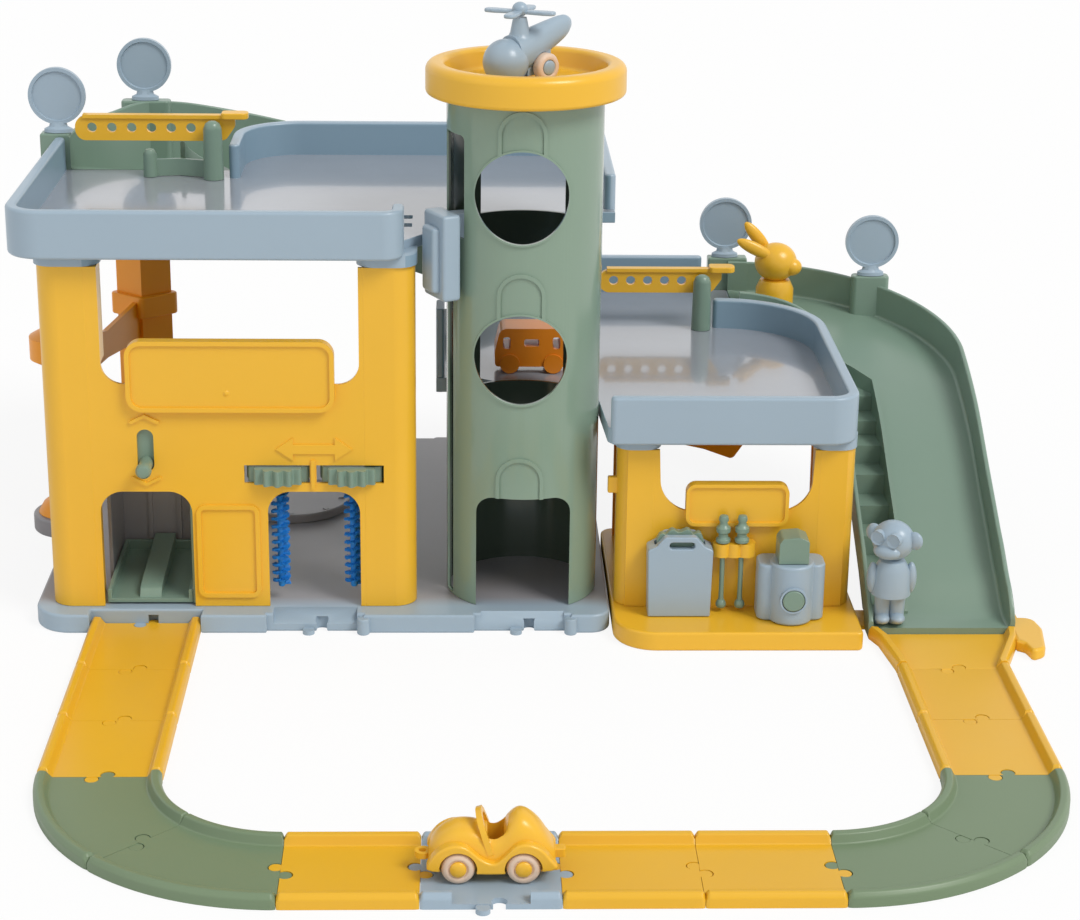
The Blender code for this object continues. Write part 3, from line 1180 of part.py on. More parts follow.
def build_helipad():
    low, high = PAD_Z
    profile = [
        (0.0, high - 15.0),
        (52.0, high - 15.0),
        (56.0, high - 3.0),
        (61.0, high),
        (66.0, high - 1.0),
        (PAD_R, high - 5.0),
        (PAD_R, low + 3.0),
        (PAD_R - 3.0, low),
        (TOWER_R - TOWER_WALL - 0.4, low),
        (TOWER_R - TOWER_WALL - 0.4, low - 6.0),
        (TOWER_R - TOWER_WALL - 3.0, low - 6.0),
        (TOWER_R - TOWER_WALL - 3.0, high - 18.0),
        (0.0, high - 18.0),
    ]
    node("helipad", turned(profile, 26), "yellow")


def ball(x, y, z, radius, stretch=(1.0, 1.0, 1.0), rings=8, segments=16):
    """A round blob, stretched along its axes."""
    profile = [(radius * math.sin(math.pi * k / rings), -radius * math.cos(math.pi * k / rings)) for k in range(rings + 1)]
    profile[0] = (0.0, -radius)
    profile[-1] = (0.0, radius)
    made = turned(profile, segments)
    return moved(made, shift(x, y, z) @ Matrix.Diagonal((*stretch, 1.0)))


def build_helicopter():
    floor = PAD_Z[1] - 15.0 + 2 * FIT
    heading = 38.0
    hub_z = PAD_Z[1] + 34.0
    wheel_r = 9.6
    axle_z = floor + wheel_r
    nose = (0.0, 0.0)
    body = ball(*nose, floor + 14.0, 15.6, (1.0, 1.0, 1.0), 7, 12)
    boom = []
    for x, z, ry, rz in ((4.0, 18.0, 13.0, 13.5), (20.0, 22.0, 11.0, 13.0), (34.0, 27.5, 8.0, 11.0), (46.0, 32.0, 6.0, 9.0), (52.0, 34.0, 4.6, 7.0), (56.0, 35.0, 2.0, 3.5)):
        boom.append([(x, ry * math.cos(2 * math.pi * k / 10), floor + z + rz * math.sin(2 * math.pi * k / 10)) for k in range(10)])
    join(body, loft(boom))
    mast = turned([(0.0, floor + 26.0), (9.0, floor + 28.0), (6.6, floor + 33.0), (5.2, hub_z - 8.0), (4.6, hub_z - 5.4), (0.0, hub_z - 5.4)], 10)
    join(body, moved(mast, shift(12.0, 0.0, 0.0)))
    skid = box((14.0, 34.0), (-6.5, 6.5), (floor + 4.0, floor + 20.0))
    join(body, skid)
    axle = turned([(0.0, -10.0), (1.8, -10.0), (1.8, 10.0), (0.0, 10.0)], 10, (26.0, 0.0, axle_z), axis="Y")
    cut(body, turned([(0.0, -20.0), (2.3, -20.0), (2.3, 20.0), (0.0, 20.0)], 10, (26.0, 0.0, axle_z), axis="Y"))
    flat = box((-40.0, 80.0), (-40.0, 40.0), (floor - 40.0, floor))
    cut(body, flat)
    for side in (-1, 1):
        room = [(0.0, side * 7.6), (wheel_r + 0.6, side * 7.6), (wheel_r + 0.6, side * 24.0), (0.0, side * 24.0)]
        cut(body, turned(room, 14, (26.0, 0.0, axle_z), axis="Y"))
    place = shift(-14.0, -9.0, 0.0) @ Matrix.Rotation(math.radians(heading), 4, "Z")
    wheels = axle
    for side in (-1, 1):
        wheel = turned([(0.0, side * 8.0), (wheel_r, side * 8.0), (wheel_r, side * 15.0), (5.0, side * 15.0), (5.0, side * 14.0), (0.0, side * 14.0)], 14, (26.0, 0.0, axle_z), axis="Y")
        cut_axle = wheel
        wheels = join(wheels, cut_axle)
    for piece in (body, wheels):
        moved(piece, place)
    spot = place @ Vector((26.0 * UNIT, 0.0, axle_z * UNIT))
    mast_spot = place @ Vector((12.0 * UNIT, 0.0, (hub_z - 5.0) * UNIT))
    node("helicopter_body", body, "blue_grey", (-14.0, -9.0, floor))
    node("helicopter_wheels", wheels, "cream", tuple(v / UNIT for v in spot))
    hub_x, hub_y = mast_spot.x / UNIT, mast_spot.y / UNIT
    rotor = ball(hub_x, hub_y, hub_z, 5.4, (1.0, 1.0, 0.92), 6, 10)
    for k in range(4):
        blade = slab(rounded([(2.0, -3.0, 0.0), (24.0, -4.6, 4.0), (29.0, 0.0, 3.0), (24.0, 4.6, 4.0), (2.0, 3.0, 0.0)], 2), hub_z - 2.6, hub_z - 0.6)
        moved(blade, shift(hub_x, hub_y, 0.0) @ Matrix.Rotation(math.radians(QUARTER_TURN * k + 12.0), 4, "Z"))
        join(rotor, blade)
    node("helicopter_rotor", rotor, "blue_grey", (hub_x, hub_y, hub_z))


def build_station():
    x0, x1 = STATION_X
    y0, y1 = STATION_Y
    base = slab(rounded([(x0, y0, 30.0), (x1, y0, 4.0), (x1, y1, 10.0), (x0, y1, 10.0)], 4), 0.0, BASE_TOP, BASE_SOFT)
    lobe_x = 349.0
    strip = slab([(x1 - 8.0, -54.6), (lobe_x, -54.6), (lobe_x, -26.0), (x1 - 8.0, -26.0)], 0.0, 3.0)
    side = slab([(344.6, -60.0), (lobe_x, -60.0), (lobe_x, -28.0), (344.6, -28.0)], 0.0, 6.0)
    pad = slab(rounded([(344.6, -102.0, 0.0), (354.0, -102.0, 6.0), (366.0, -92.0, 10.0), (366.0, -68.0, 10.0), (350.0, -52.0, 4.0), (344.6, -52.0, 0.0)], 3), 0.0, 9.0, 1.2)
    join(base, strip, side, pad)
    for px0, px1, py0, py1 in ((x0 + 6.0, x1 - 6.0, -30.0, y1 - 6.0),):
        cut(base, slab(rect((px0, px1), (py0, py1), 8.0, 3), -BASE_TOP, BASE_TOP - BASE_SKIN))
    node("station_base", base, "yellow")
    low, high = ON_BASE, SECOND_UNDER - COLLAR_DEPTH - FIT
    left, right = STATION_WALL_X
    edge = 7.0
    outline = rounded(
        [
            (left + edge, low, 0.0),
            (right - edge, low, 0.0),
            (right - edge, high, 0.0),
            (STATION_IN[1], high, 0.0),
            (STATION_IN[1] - 2.0, STATION_SILL, 24.0),
            (STATION_IN[0] + 2.0, STATION_SILL, 24.0),
            (STATION_IN[0], high, 0.0),
            (left + edge, high, 0.0),
        ],
        4,
    )
    wall = slab(outline, WALL_Y, WALL_Y + WALL_SKIN, 0.0, upright=True)
    rear = WALL_Y + COLUMN_DEPTH
    for outer, inner in ((left, STATION_IN[0] - 3.0), (right, STATION_IN[1] + 3.0)):
        side = min(outer, inner), max(outer, inner)
        front = WALL_Y - FIT / 3
        near = COLUMN_ROUND if outer < inner else 1.0
        far = 1.0 if outer < inner else COLUMN_ROUND
        ring = rounded([(side[0], front, near), (side[1], front, far), (side[1], rear, far), (side[0], rear, near)], 3)
        t = TUBE_WALL
        ring_in = rounded([(side[0] + t, front + t, max(near - t, 1.0)), (side[1] - t, front + t, max(far - t, 1.0)), (side[1] - t, rear - t, max(far - t, 1.0)), (side[0] + t, rear - t, max(near - t, 1.0))], 2)
        join(wall, slab(ring, low, high, 0.0, (ring_in,)))
    board_front = WALL_Y - 2 * EMBOSS
    join(wall, slab(rect(STATION_BOARD_X, STATION_BOARD_Z, 7.0, 3), board_front, WALL_Y + WALL_SKIN + FIT / 2, upright=True))
    join(wall, frame_ring(STATION_BOARD_X, STATION_BOARD_Z, 7.0, 2.6, board_front - EMBOSS, board_front + EMBOSS))
    for x in (140.0, 148.4, 156.8):
        join(wall, slab(circle(x, WALL_Y - 6.5, 6.8, 12), 56.0, 66.0))
    for x in NOZZLE_X:
        cut(wall, turned([(0.0, 40.0), (2.3, 40.0), (2.3, 80.0), (0.0, 80.0)], 8, (x, NOZZLE_Y, 0.0)))
    join(wall, box((left - 6.0, left + 3.0), (WALL_Y + 10.0, WALL_Y + 15.0), (96.0, 108.0), 1.0))
    node("station_wall", wall, "yellow")
    support_y = 95.0
    frame = slab(
        rounded(
            [
                (72.0, low, 0.0),
                (96.0, low, 0.0),
                (96.0, 100.0, 12.0),
                (150.0, 100.0, 3.0),
                (158.0, 112.0, 3.0),
                (204.0, 112.0, 10.0),
                (206.0, low, 0.0),
                (224.0, low, 0.0),
                (224.0, SECOND_UNDER - RIM_DROP - FIT, 0.0),
                (72.0, SECOND_UNDER - RIM_DROP - FIT, 0.0),
            ]
        ),
        support_y,
        support_y + 5.0,
        upright=True,
    )
    join(frame, box((74.0, 78.0), (support_y - 14.0, support_y + 1.0), (low, 130.0)), box((218.0, 222.0), (support_y - 14.0, support_y + 1.0), (low, 130.0)))
    node("station_rear_support", frame, "yellow")
    lane = turned([(0.0, low), (15.0, low), (12.5, low + 9.0), (11.0, low + 12.0), (11.0, SECOND_UNDER - 6.0), (13.0, SECOND_UNDER - FIT), (0.0, SECOND_UNDER - FIT)], 14, (37.0, 296.0, 0.0))
    node("lane_support", lane, "yellow")


def build_lower_tray():
    left, right = LOW_X
    front = LOW_FRONT
    curve_r = 75.0
    curve_y = 125.0
    clear = TOWER_R + 3.0
    outline = [p for p in rounded([(left, front, 8.0), (right, front, 20.0), (right, curve_y, 0.0), (left, curve_y, 0.0)], 4)][:-2]
    outline += arc(right - curve_r, curve_y, curve_r, 0.0, QUARTER_TURN, 6)
    outline += [(right - curve_r, 211.0), (LOW_GATE, 211.0), (LOW_GATE, LOW_REAR), (60.0, LOW_REAR), (60.0, LANE_REAR), (LANE_X, LANE_REAR)]
    outline += [(LANE_X, 246.0), (LOW_LEFT, 246.0), (LOW_LEFT, clear + 3.0), (LOW_LEFT + 30.0, clear + 3.0)]
    outline += arc(0.0, 0.0, clear, 112.0, 20.0, 6)
    deck = slab(outline, SECOND_UNDER, SECOND_FLOOR, 0.8)
    half = RIM_WIDTH / 2
    inset = half - RIM_DROP
    path = [(left + 6.0, front + inset)]
    path += arc(right - 20.0, front + 20.0, 20.0 - inset, -QUARTER_TURN, 0.0, 3)
    path += arc(right - curve_r, curve_y, curve_r - inset, 0.0, QUARTER_TURN, 6)
    low = SECOND_UNDER - RIM_DROP
    rims = [slab(band(path, half), low, SECOND_RIM, RIM_SOFT)]
    rear_path = [(150.0, LOW_REAR - inset), (60.0, LOW_REAR - inset)]
    rims.append(slab(band(rear_path, half), low, SECOND_RIM + 7.0, RIM_SOFT))
    lane_path = [(60.0 - inset, LOW_REAR - inset + 2.0), (60.0 - inset, LANE_REAR - inset), (LANE_X + 6.0, LANE_REAR - inset)]
    rims.append(slab(band(lane_path, half), low, SECOND_RIM, RIM_SOFT))
    rims.append(slab(rect((LOW_LEFT, LOW_LEFT + 6.0), (clear + 4.0, clear + 30.0), 2.0, 2), low, SECOND_RIM + 29.0, 1.0))
    join(deck, *rims)
    grow = 1.4
    collar_rear = WALL_Y + COLUMN_DEPTH + grow
    for outer, inner in ((STATION_WALL_X[0], STATION_IN[0]), (STATION_WALL_X[1] - 8.0, STATION_IN[1])):
        x = min(outer, inner) - grow, max(outer, inner) + grow
        join(deck, slab(rect(x, (WALL_Y - grow, collar_rear), 12.0, 3), SECOND_UNDER - COLLAR_DEPTH, SECOND_UNDER + 2.0))
    for x0, x1, y0, y1 in ((74.0, 216.0, -4.0, 84.0), (70.0, 138.0, 110.0, 290.0)):
        cut(deck, slab(rect((x0, x1), (y0, y1), 8.0, 3), SECOND_UNDER - 3.0, SECOND_UNDER + 5.0))
    node("lower_tray", deck, "blue_grey")


def build_funnel():
    x_c = CURVE_RIGHT[0] + ROAD_RADIUS
    near = CURVE_RIGHT[1] + 2 * ROAD_GRID + ROAD_END_GAP
    far = LOW_RAMP_END - FIT
    half = ROAD_WIDTH / 2
    wide_left, wide_right = -(x_c - 243.8), 343.6 - x_c
    stations = ((near, -half, half), (near + 4.0, -half, half), (far - 14.0, wide_left + 5.0, wide_right - 2.0), (far, wide_left, wide_right))
    rings = []
    for y, left, right in stations:
        rings.append(
            [
                (x_c + left, y, 0.0),
                (x_c + right, y, 0.0),
                (x_c + right, y, RAIL_TOP * 0.7),
                (x_c + right - 2.0, y, RAIL_TOP),
                (x_c + right - 6.0, y, RAIL_TOP),
                (x_c + right - RAIL_WIDTH, y, ROAD_FLOOR),
                (x_c + left + RAIL_WIDTH, y, ROAD_FLOOR),
                (x_c + left + 6.0, y, RAIL_TOP),
                (x_c + left + 2.0, y, RAIL_TOP),
                (x_c + left, y, RAIL_TOP * 0.7),
            ]
        )
    piece = loft(rings)
    nub, notch = road_end(x_c, near, -QUARTER_TURN)
    join(piece, nub)
    cut(piece, notch)
    node("ramp_funnel", piece, "yellow")


def build_pumps():
    low = ON_BASE
    rear = WALL_Y - FIT - 2.0
    x0, x1 = 87.0, 132.8
    front = -65.0
    top = 70.0
    wave = [(x0 + 1.0, low, 1.0), (x1 - 1.0, low, 1.0), (x1, top - 6.0, 2.0), (x1 - 6.0, top - 3.0, 2.0), (x1 - 12.0, top + 4.0, 4.0), (x0 + 12.0, top + 4.0, 4.0), (x0 + 6.0, top - 3.0, 2.0), (x0, top - 6.0, 2.0)]
    slot = rect((x0 + 15.0, x1 - 13.0), (top - 5.0, top), 2.4, 2)
    body = slab(rounded(wave, 2), front, rear, 1.0, (slot,), upright=True)
    cut(body, box((x0 + 5.0, x1 - 5.0), (front + 6.0, rear - 4.0), (top - 8.0, top + 20.0)))
    node("pump_left", body, "blue_grey")
    crest = rounded([(x0 + 6.5, top - 7.5, 0.0), (x1 - 6.5, top - 7.5, 0.0), (x1 - 6.5, top, 1.0), (x1 - 9.0, top + 6.0, 2.5), (x1 - 14.0, top + 3.5, 1.5), (x1 - 17.0, top + 8.0, 2.5), (x1 - 24.0, top + 5.0, 1.5), (x1 - 29.0, top + 8.0, 2.5), (x1 - 33.0, top + 3.5, 1.5), (x0 + 9.0, top + 5.0, 2.5), (x0 + 6.5, top, 1.0)], 2)
    node("pump_left_insert", slab(crest, front + 6.8, rear - 5.0, upright=True), "ramp_green")
    cx, mid_y = 188.0, -64.0
    height = 58.0
    body = slab(circle(cx, mid_y - 3.0, 15.6, 14), low, height, 2.0)
    sides = [slab(rect((cx - 23.6, cx - 6.0), (-72.0, rear), 7.0, 2), low + 0.1, height - 2.0, 1.6), slab(rect((cx + 6.0, cx + 23.6), (-72.0, rear), 7.0, 2), low + 0.1, height - 2.0, 1.6)]
    join(body, *sides)
    fill = box((cx - 10.0, cx + 10.0), (-64.0, rear - 0.4), (low + 0.2, height - 2.4))
    join(body, fill)
    dial_z = 34.0
    rim = turned([(0.0, 0.0), (9.4, 0.0), (9.4, 4.0), (8.2, 4.0), (8.2, 1.2), (0.0, 1.2)], 12)
    face = mid_y - 3.0 - 15.6
    moved(rim, shift(cx, face + 2.4, dial_z) @ Matrix.Rotation(math.radians(QUARTER_TURN), 4, "X"))
    join(body, rim)
    node("pump_right", body, "blue_grey")
    dial = turned([(0.0, 0.0), (7.7, 0.0), (7.7, 1.5), (6.6, 2.3), (0.0, 2.3)], 12)
    moved(dial, shift(cx, face - FIT, dial_z) @ Matrix.Rotation(math.radians(QUARTER_TURN), 4, "X"))
    node("pump_right_dial", dial, "ramp_green", (cx, face, dial_z))
    cap = slab(rounded([(cx - 10.5, height + FIT, 0.0), (cx + 10.5, height + FIT, 0.0), (cx + 10.5, height + 17.0, 2.0), (cx + 4.0, height + 20.0, 3.0), (cx - 8.0, height + 19.0, 3.0), (cx - 10.5, height + 15.0, 2.0)], 3), -76.0, -56.0, upright=True)
    node("pump_right_cap", cap, "ramp_green")
    for name, x in zip(("left", "right"), NOZZLE_X):
        profile = [(0.0, 17.5), (3.6, 21.0), (1.7, 25.0), (1.7, 67.0), (5.2, 68.2), (5.2, 70.6), (3.0, 72.0), (4.2, 78.0), (2.6, 80.4), (0.0, 84.6)]
        node(f"nozzle_{name}", turned(profile, 10, (x, NOZZLE_Y, 0.0)), "ramp_green", (x, NOZZLE_Y, 67.0))


def build_figures():
    floor = 10.2
    x, y = 259.0, -63.5
    body = turned([(0.0, floor + 22.0), (14.0, floor + 22.0), (12.8, floor + 40.0), (9.0, floor + 47.0), (0.0, floor + 50.0)], 11, (x, y, 0.0))
    for side in (-1, 1):
        leg = turned([(0.0, floor), (5.4, floor), (5.2, floor + 9.0), (6.2, floor + 26.0), (0.0, floor + 26.0)], 7, (x + side * 5.2, y, 0.0))
        shoe = ball(x + side * 5.4, y - 4.0, floor + 4.2, 5.8, (0.9, 1.2, 0.66), 4, 8)
        arm = ball(x + side * 13.6, y - 1.0, floor + 34.0, 5.0, (0.8, 1.0, 2.3), 4, 7)
        join(body, leg, shoe, arm)
    look = turn(-34.0, "Z", (x, y, 0.0))
    head = ball(x, y - 0.5, floor + 62.0, 15.0, (1.0, 0.92, 0.95), 7, 11)
    muzzle = ball(x, y - 10.5, floor + 56.5, 8.0, (1.25, 0.8, 0.72), 4, 9)
    join(body, moved(head, look), moved(muzzle, look))
    for side in (-1, 1):
        ear = ball(x + side * 15.5, y + 1.0, floor + 64.0, 6.6, (0.9, 0.5, 1.0), 4, 8)
        goggle = turned([(0.0, 0.0), (5.2, 0.0), (5.0, 4.8), (3.4, 3.6), (0.0, 3.6)], 8)
        moved(goggle, shift(x + side * 6.0, y - 10.0, floor + 66.5) @ Matrix.Rotation(math.radians(QUARTER_TURN), 4, "X"))
        join(body, moved(ear, look), moved(goggle, look))
    cut(body, box((x - 40.0, x + 40.0), (y - 40.0, y + 40.0), (floor - 30.0, floor)))
    node("figure_blue", body, "blue_grey", (x, y, floor))
    floor = SECOND_FLOOR - 1.5
    x, y = 209.6, 257.0
    body = turned([(0.0, floor), (14.2, floor), (15.2, floor + 4.0), (15.2, floor + 17.0), (12.0, floor + 24.0), (0.0, floor + 26.0)], 12, (x, y, 0.0))
    head = ball(x, y, floor + 38.5, 17.0, (1.0, 0.94, 0.92), 7, 12)
    muzzle = ball(x + 12.0, y - 6.0, floor + 36.0, 8.4, (1.0, 0.9, 0.85), 5, 9)
    join(body, head, muzzle)
    for side, lean in ((-1, -64.0), (1, -40.0)):
        ear = ball(0.0, 0.0, 15.0, 6.4, (0.8, 0.55, 2.5), 5, 8)
        moved(ear, shift(x - 5.0, y + side * 9.0, floor + 45.0) @ Matrix.Rotation(math.radians(lean), 4, "Y"))
        join(body, ear)
    cut(body, box((x - 40.0, x + 40.0), (y - 40.0, y + 40.0), (floor - 30.0, floor)))
    node("figure_yellow", body, "yellow", (x, y, floor))


def build_car():
    x_c = CURVE_LEFT[0] + 1.5 * ROAD_GRID
    y_c = CURVE_LEFT[1] - ROAD_RADIUS
    road = ROAD_FLOOR + FIT
    wheel_r = 9.6
    axle_z = road + wheel_r
    reach = 18.5
    half = 14.0
    low = road + 5.5
    side = [(-34.0, low), (34.0, low), (35.0, low + 9.0), (33.0, low + 16.0), (27.0, low + 22.0), (16.0, low + 26.0)]
    side += [(9.0, low + 24.0), (5.0, low + 20.0), (-5.0, low + 20.0), (-13.0, low + 21.0), (-24.0, low + 19.0)]
    side += [(-32.0, low + 13.0), (-35.0, low + 6.0)]
    body = slab([(x_c + u, v) for u, v in side], y_c - half, y_c + half, 3.2, upright=True)
    for u in (-reach, reach):
        for s in (-1, 1):
            profile = [(0.0, -4.4), (12.0, -4.4), (13.4, -2.0), (13.4, 2.0), (12.0, 4.4), (0.0, 4.4)]
            fender = turned(profile, 12, (x_c + u, y_c + s * (half + 1.0), axle_z + 1.0), axis="Y")
            join(body, fender)
    cut(body, box((x_c - 3.4, x_c + 9.0), (y_c - 9.6, y_c + 9.6), (low + 5.0, low + 40.0)))
    cut(body, loft([[(x_c + 8.0, y_c + v, low + w) for v, w in ((-8.0, 9.0), (8.0, 9.0), (8.0, 21.0), (-8.0, 21.0))], [(x_c + 18.0, y_c + v, low + w) for v, w in ((-6.0, 9.0), (6.0, 9.0), (6.0, 21.0), (-6.0, 21.0))]]))
    pane = [(-7.6, low + 16.0), (-3.8, low + 16.0), (-4.6, low + 33.0), (-7.2, low + 33.0)]
    screen = slab([(x_c + u, v) for u, v in pane], y_c - 11.0, y_c + 11.0, upright=True)
    cut(screen, box((x_c - 20.0, x_c + 10.0), (y_c - 8.0, y_c + 8.0), (low + 21.5, low + 30.0)))
    join(body, screen)
    for s in (-1, 1):
        hook = slab(rounded([(x_c + s * 32.0, y_c - 2.4, 0.0), (x_c + s * 37.6, y_c - 2.4, 1.5), (x_c + s * 37.6, y_c + 2.4, 1.5), (x_c + s * 32.0, y_c + 2.4, 0.0)], 2), low + 4.0, low + 8.0, 0.6)
        join(body, hook)
    for u in (-reach, reach):
        cut(body, turned([(0.0, -30.0), (2.4, -30.0), (2.4, 30.0), (0.0, 30.0)], 8, (x_c + u, y_c, axle_z), axis="Y"))
        for s in (-1, 1):
            cut(body, turned([(0.0, 0.0), (wheel_r + 1.2, 0.0), (wheel_r + 1.2, s * 20.0), (0.0, s * 20.0)], 12, (x_c + u, y_c + s * (half - 5.2), axle_z), axis="Y"))
    cut(body, box((x_c - 60.0, x_c + 60.0), (y_c - 60.0, y_c + 60.0), (road - 20.0, low)))
    node("car_body", body, "yellow", (x_c, y_c, road))
    for name, u in (("car_wheels_front", -reach), ("car_wheels_rear", reach)):
        axle = turned([(0.0, -half), (1.9, -half), (1.9, half), (0.0, half)], 10, (x_c + u, y_c, axle_z), axis="Y")
        for s in (-1, 1):
            near = half - 4.6
            wheel = turned([(0.0, s * near), (wheel_r, s * near), (wheel_r, s * (near + 8.4)), (5.4, s * (near + 8.4)), (4.8, s * (near + 7.0)), (0.0, s * (near + 7.0))], 14, (x_c + u, y_c, axle_z), axis="Y")
            axle = join(axle, wheel)
        node(name, axle, "cream", (x_c + u, y_c, axle_z))


def build_van():
    x, y = 8.0, 84.0
    floor = SECOND_FLOOR + FIT
    length, width = 54.0, 26.0
    side = rounded([(x - length / 2, floor + 5.0, 3.0), (x + length / 2, floor + 5.0, 3.0), (x + length / 2, floor + 17.0, 3.0), (x + length / 2 - 4.0, floor + 34.0, 6.0), (x - length / 2 + 4.0, floor + 34.0, 6.0), (x - length / 2, floor + 17.0, 3.0)], 2)
    holes = [rect((x - 5.5, x + 5.5), (floor + 20.5, floor + 26.0), 1.4, 1), rect((x - 21.0, x - 15.5), (floor + 18.5, floor + 27.5), 1.8, 1), rect((x + 15.5, x + 21.0), (floor + 18.5, floor + 27.5), 1.8, 1)]
    body = slab(side, y - width / 2, y + width / 2, 0.0, holes, upright=True)
    for u in (-16.0, 16.0):
        for s in (-1, 1):
            wheel = turned([(0.0, -3.4), (7.2, -3.4), (7.2, 3.4), (0.0, 3.4)], 10, (x + u, y + s * (width / 2 - 2.0), floor + 7.4), axis="Y")
            join(body, wheel)
    node("van", body, "yellow", (x, y, floor))


build_roads()
build_base()
build_turntable()
build_front_wall()
build_wash()
build_hoist()
build_rear_frame()
build_upper_tray()
barrier("upper", -228.7, 150.0, TOP_FLOOR, 103.0, 6, 48.0)
build_upper_ramp()
build_tower()
build_helipad()
build_helicopter()
build_station()
build_lower_tray()
barrier("lower", 144.0, 190.0, SECOND_FLOOR, 80.0, 5, 0.0)
build_lower_ramp()
build_funnel()
build_pumps()
build_figures()
build_car()
build_van()
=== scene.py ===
"""Looks of the toy parking garage: soft-edged moulded pieces, their plastics, bristles, light and camera.

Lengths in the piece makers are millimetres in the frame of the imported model, and meshes are stored in metres.
"""

import json
import math

import bmesh
import bpy
from mathutils import Matrix, Vector


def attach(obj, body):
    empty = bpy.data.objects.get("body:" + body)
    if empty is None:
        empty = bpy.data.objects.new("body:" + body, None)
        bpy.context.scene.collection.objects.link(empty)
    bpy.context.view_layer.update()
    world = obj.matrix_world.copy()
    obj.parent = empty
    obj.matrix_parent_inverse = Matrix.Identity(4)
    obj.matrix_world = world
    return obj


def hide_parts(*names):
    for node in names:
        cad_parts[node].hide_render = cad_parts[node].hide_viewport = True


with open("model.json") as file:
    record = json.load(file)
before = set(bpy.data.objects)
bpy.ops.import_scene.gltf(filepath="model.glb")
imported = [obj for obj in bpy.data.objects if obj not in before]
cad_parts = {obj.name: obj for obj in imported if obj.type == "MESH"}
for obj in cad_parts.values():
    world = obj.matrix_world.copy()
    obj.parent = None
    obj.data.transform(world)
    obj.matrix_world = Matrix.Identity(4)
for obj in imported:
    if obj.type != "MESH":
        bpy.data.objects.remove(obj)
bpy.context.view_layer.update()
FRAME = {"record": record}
FINE = 4
EDGE = 0.45

UNIT = 0.001
FIT = 0.3
MERGE = 0.000005
FLAT = 0.004
HARD_EDGE = 30.0
FULL_TURN = 360.0
QUARTER_TURN = 90.0
HALF_TURN = 180.0

# levels above the floor
BASE_TOP = 14.0
LOW_DECK_THICK = 11.0
HIGH_DECK_THICK = 8.0
LOW_RIM_RISE = 23.0
HIGH_RIM_RISE = 25.0
TOWER_HEAD = 70.0
SECOND_UNDER = 140.0
SECOND_FLOOR = SECOND_UNDER + LOW_DECK_THICK
SECOND_RIM = SECOND_FLOOR + LOW_RIM_RISE
TOP_UNDER = 270.0
TOP_FLOOR = TOP_UNDER + HIGH_DECK_THICK
TOP_RIM = TOP_FLOOR + HIGH_RIM_RISE
TOWER_TOP = TOP_RIM + TOWER_HEAD
COLLAR_DEPTH = 8.0
COLLAR_GROW = 1.4
COLLAR_OVERLAP = 2.0
ON_BASE = BASE_TOP + FIT

# garage floor plate
BASE_X = (-344.0, 62.0)
BASE_Y = (-61.5, 326.0)
BASE_CORNER = 26.0
BASE_SOFT = 2.0
BASE_SKIN = 3.5
POCKETS = ((-338.0, -152.0, -36.0, 320.0), (-146.0, 55.0, 64.0, 320.0))
SOCKET_DEPTH = (11.4, 3.6, 3.6)
SOCKET_HALF = (39.0, 34.0, 34.0)
SOCKET_RUN = (0.0, 15.0, 8.0)
FOOT_LOBE = (-349.0, 150.0, 28.0)
FRONT_LOBE_R = 14.0
REAR_LUG = (-60.0, 326.0, 7.0)
REAR_POST = (-304.0, 298.0)

# road pieces
# a rail's ends: share of the height lost, length and sideways draw
RAIL_DROP = 0.3
RAIL_FADE = 2.4
RAIL_DRAW = 2.0
# a rail's corners: share of the half width, share of the rail's height, rounding
RAIL = ((1.0, 0.0, 0.5), (1.0, 0.68, 3.0), (0.945, 1.0, 2.2), (0.835, 0.96, 1.8), (0.765, 0.0, 1.6))
ROAD_WIDTH = 77.4
ROAD_GRID = 80.0
ROAD_FLOOR = 3.5
RAIL_TOP = 9.6
RAIL_WIDTH = 9.0
ROAD_RADIUS = 119.1
ROAD_END_GAP = 0.15
ROAD_EDGE = 0.8
NUB_OFFSET = -4.6
NUB_REACH = 2.9
NUB_ROOT = 3.0
NUB_RADIUS = 4.2
NUB_NECK = 2.9
NUB_PLAY = 0.4
CURVE_LEFT = (-146.2, -290.7)
CURVE_RIGHT = (173.8, -290.7)
CURVE_TURN = 45.0
SOCKETS = (CURVE_LEFT[0] - ROAD_RADIUS, CURVE_LEFT[0], 0.0)

# front wall
GATE_MARK = (-204.7, 173.4)
WALL_Y = -45.0
WALL_SKIN = 3.0
WALL_X = (-332.5, -75.1)
COLUMN_LEFT_IN = -290.2
COLUMN_RIGHT_IN = -113.8
TUBE_LEFT_IN = -298.6
TUBE_RIGHT_IN = -111.2
COLUMN_DEPTH = 33.0
COLUMN_ROUND = 14.0
TUBE_WALL = 2.6
SILL_Z = 178.7
SILL_ROUND = 15.0
ARCH_LEFT = (-295.0, -231.2)
ARCH_RIGHT = (-178.6, -114.2)
ARCH_TOP = 100.4
ARCH_ROUND = 16.0
BOARD_X = (-273.3, -130.7)
BOARD_Z = (160.0, 210.7)
BOARD_ROUND = 11.0
BOARD_RIM = 3.2
LEVER_X = -262.0
LEVER_Z = (115.0, 146.0)
LEVER_WIDTH = 11.5
WHEEL_SLOTS = ((-194.3, -148.8), (-144.2, -97.4))
WHEEL_SLOT_Z = (106.7, 120.0)
PANEL_X = (-228.4, -184.3)
PANEL_Z = (21.3, 90.7)
PANEL_ROUND = 6.5
ARROW_X = (-172.1, -119.2)
ARROW_Z = (123.6, 140.4)
EMBOSS = 1.7
BOARD_FRONT = WALL_Y - 2 * EMBOSS

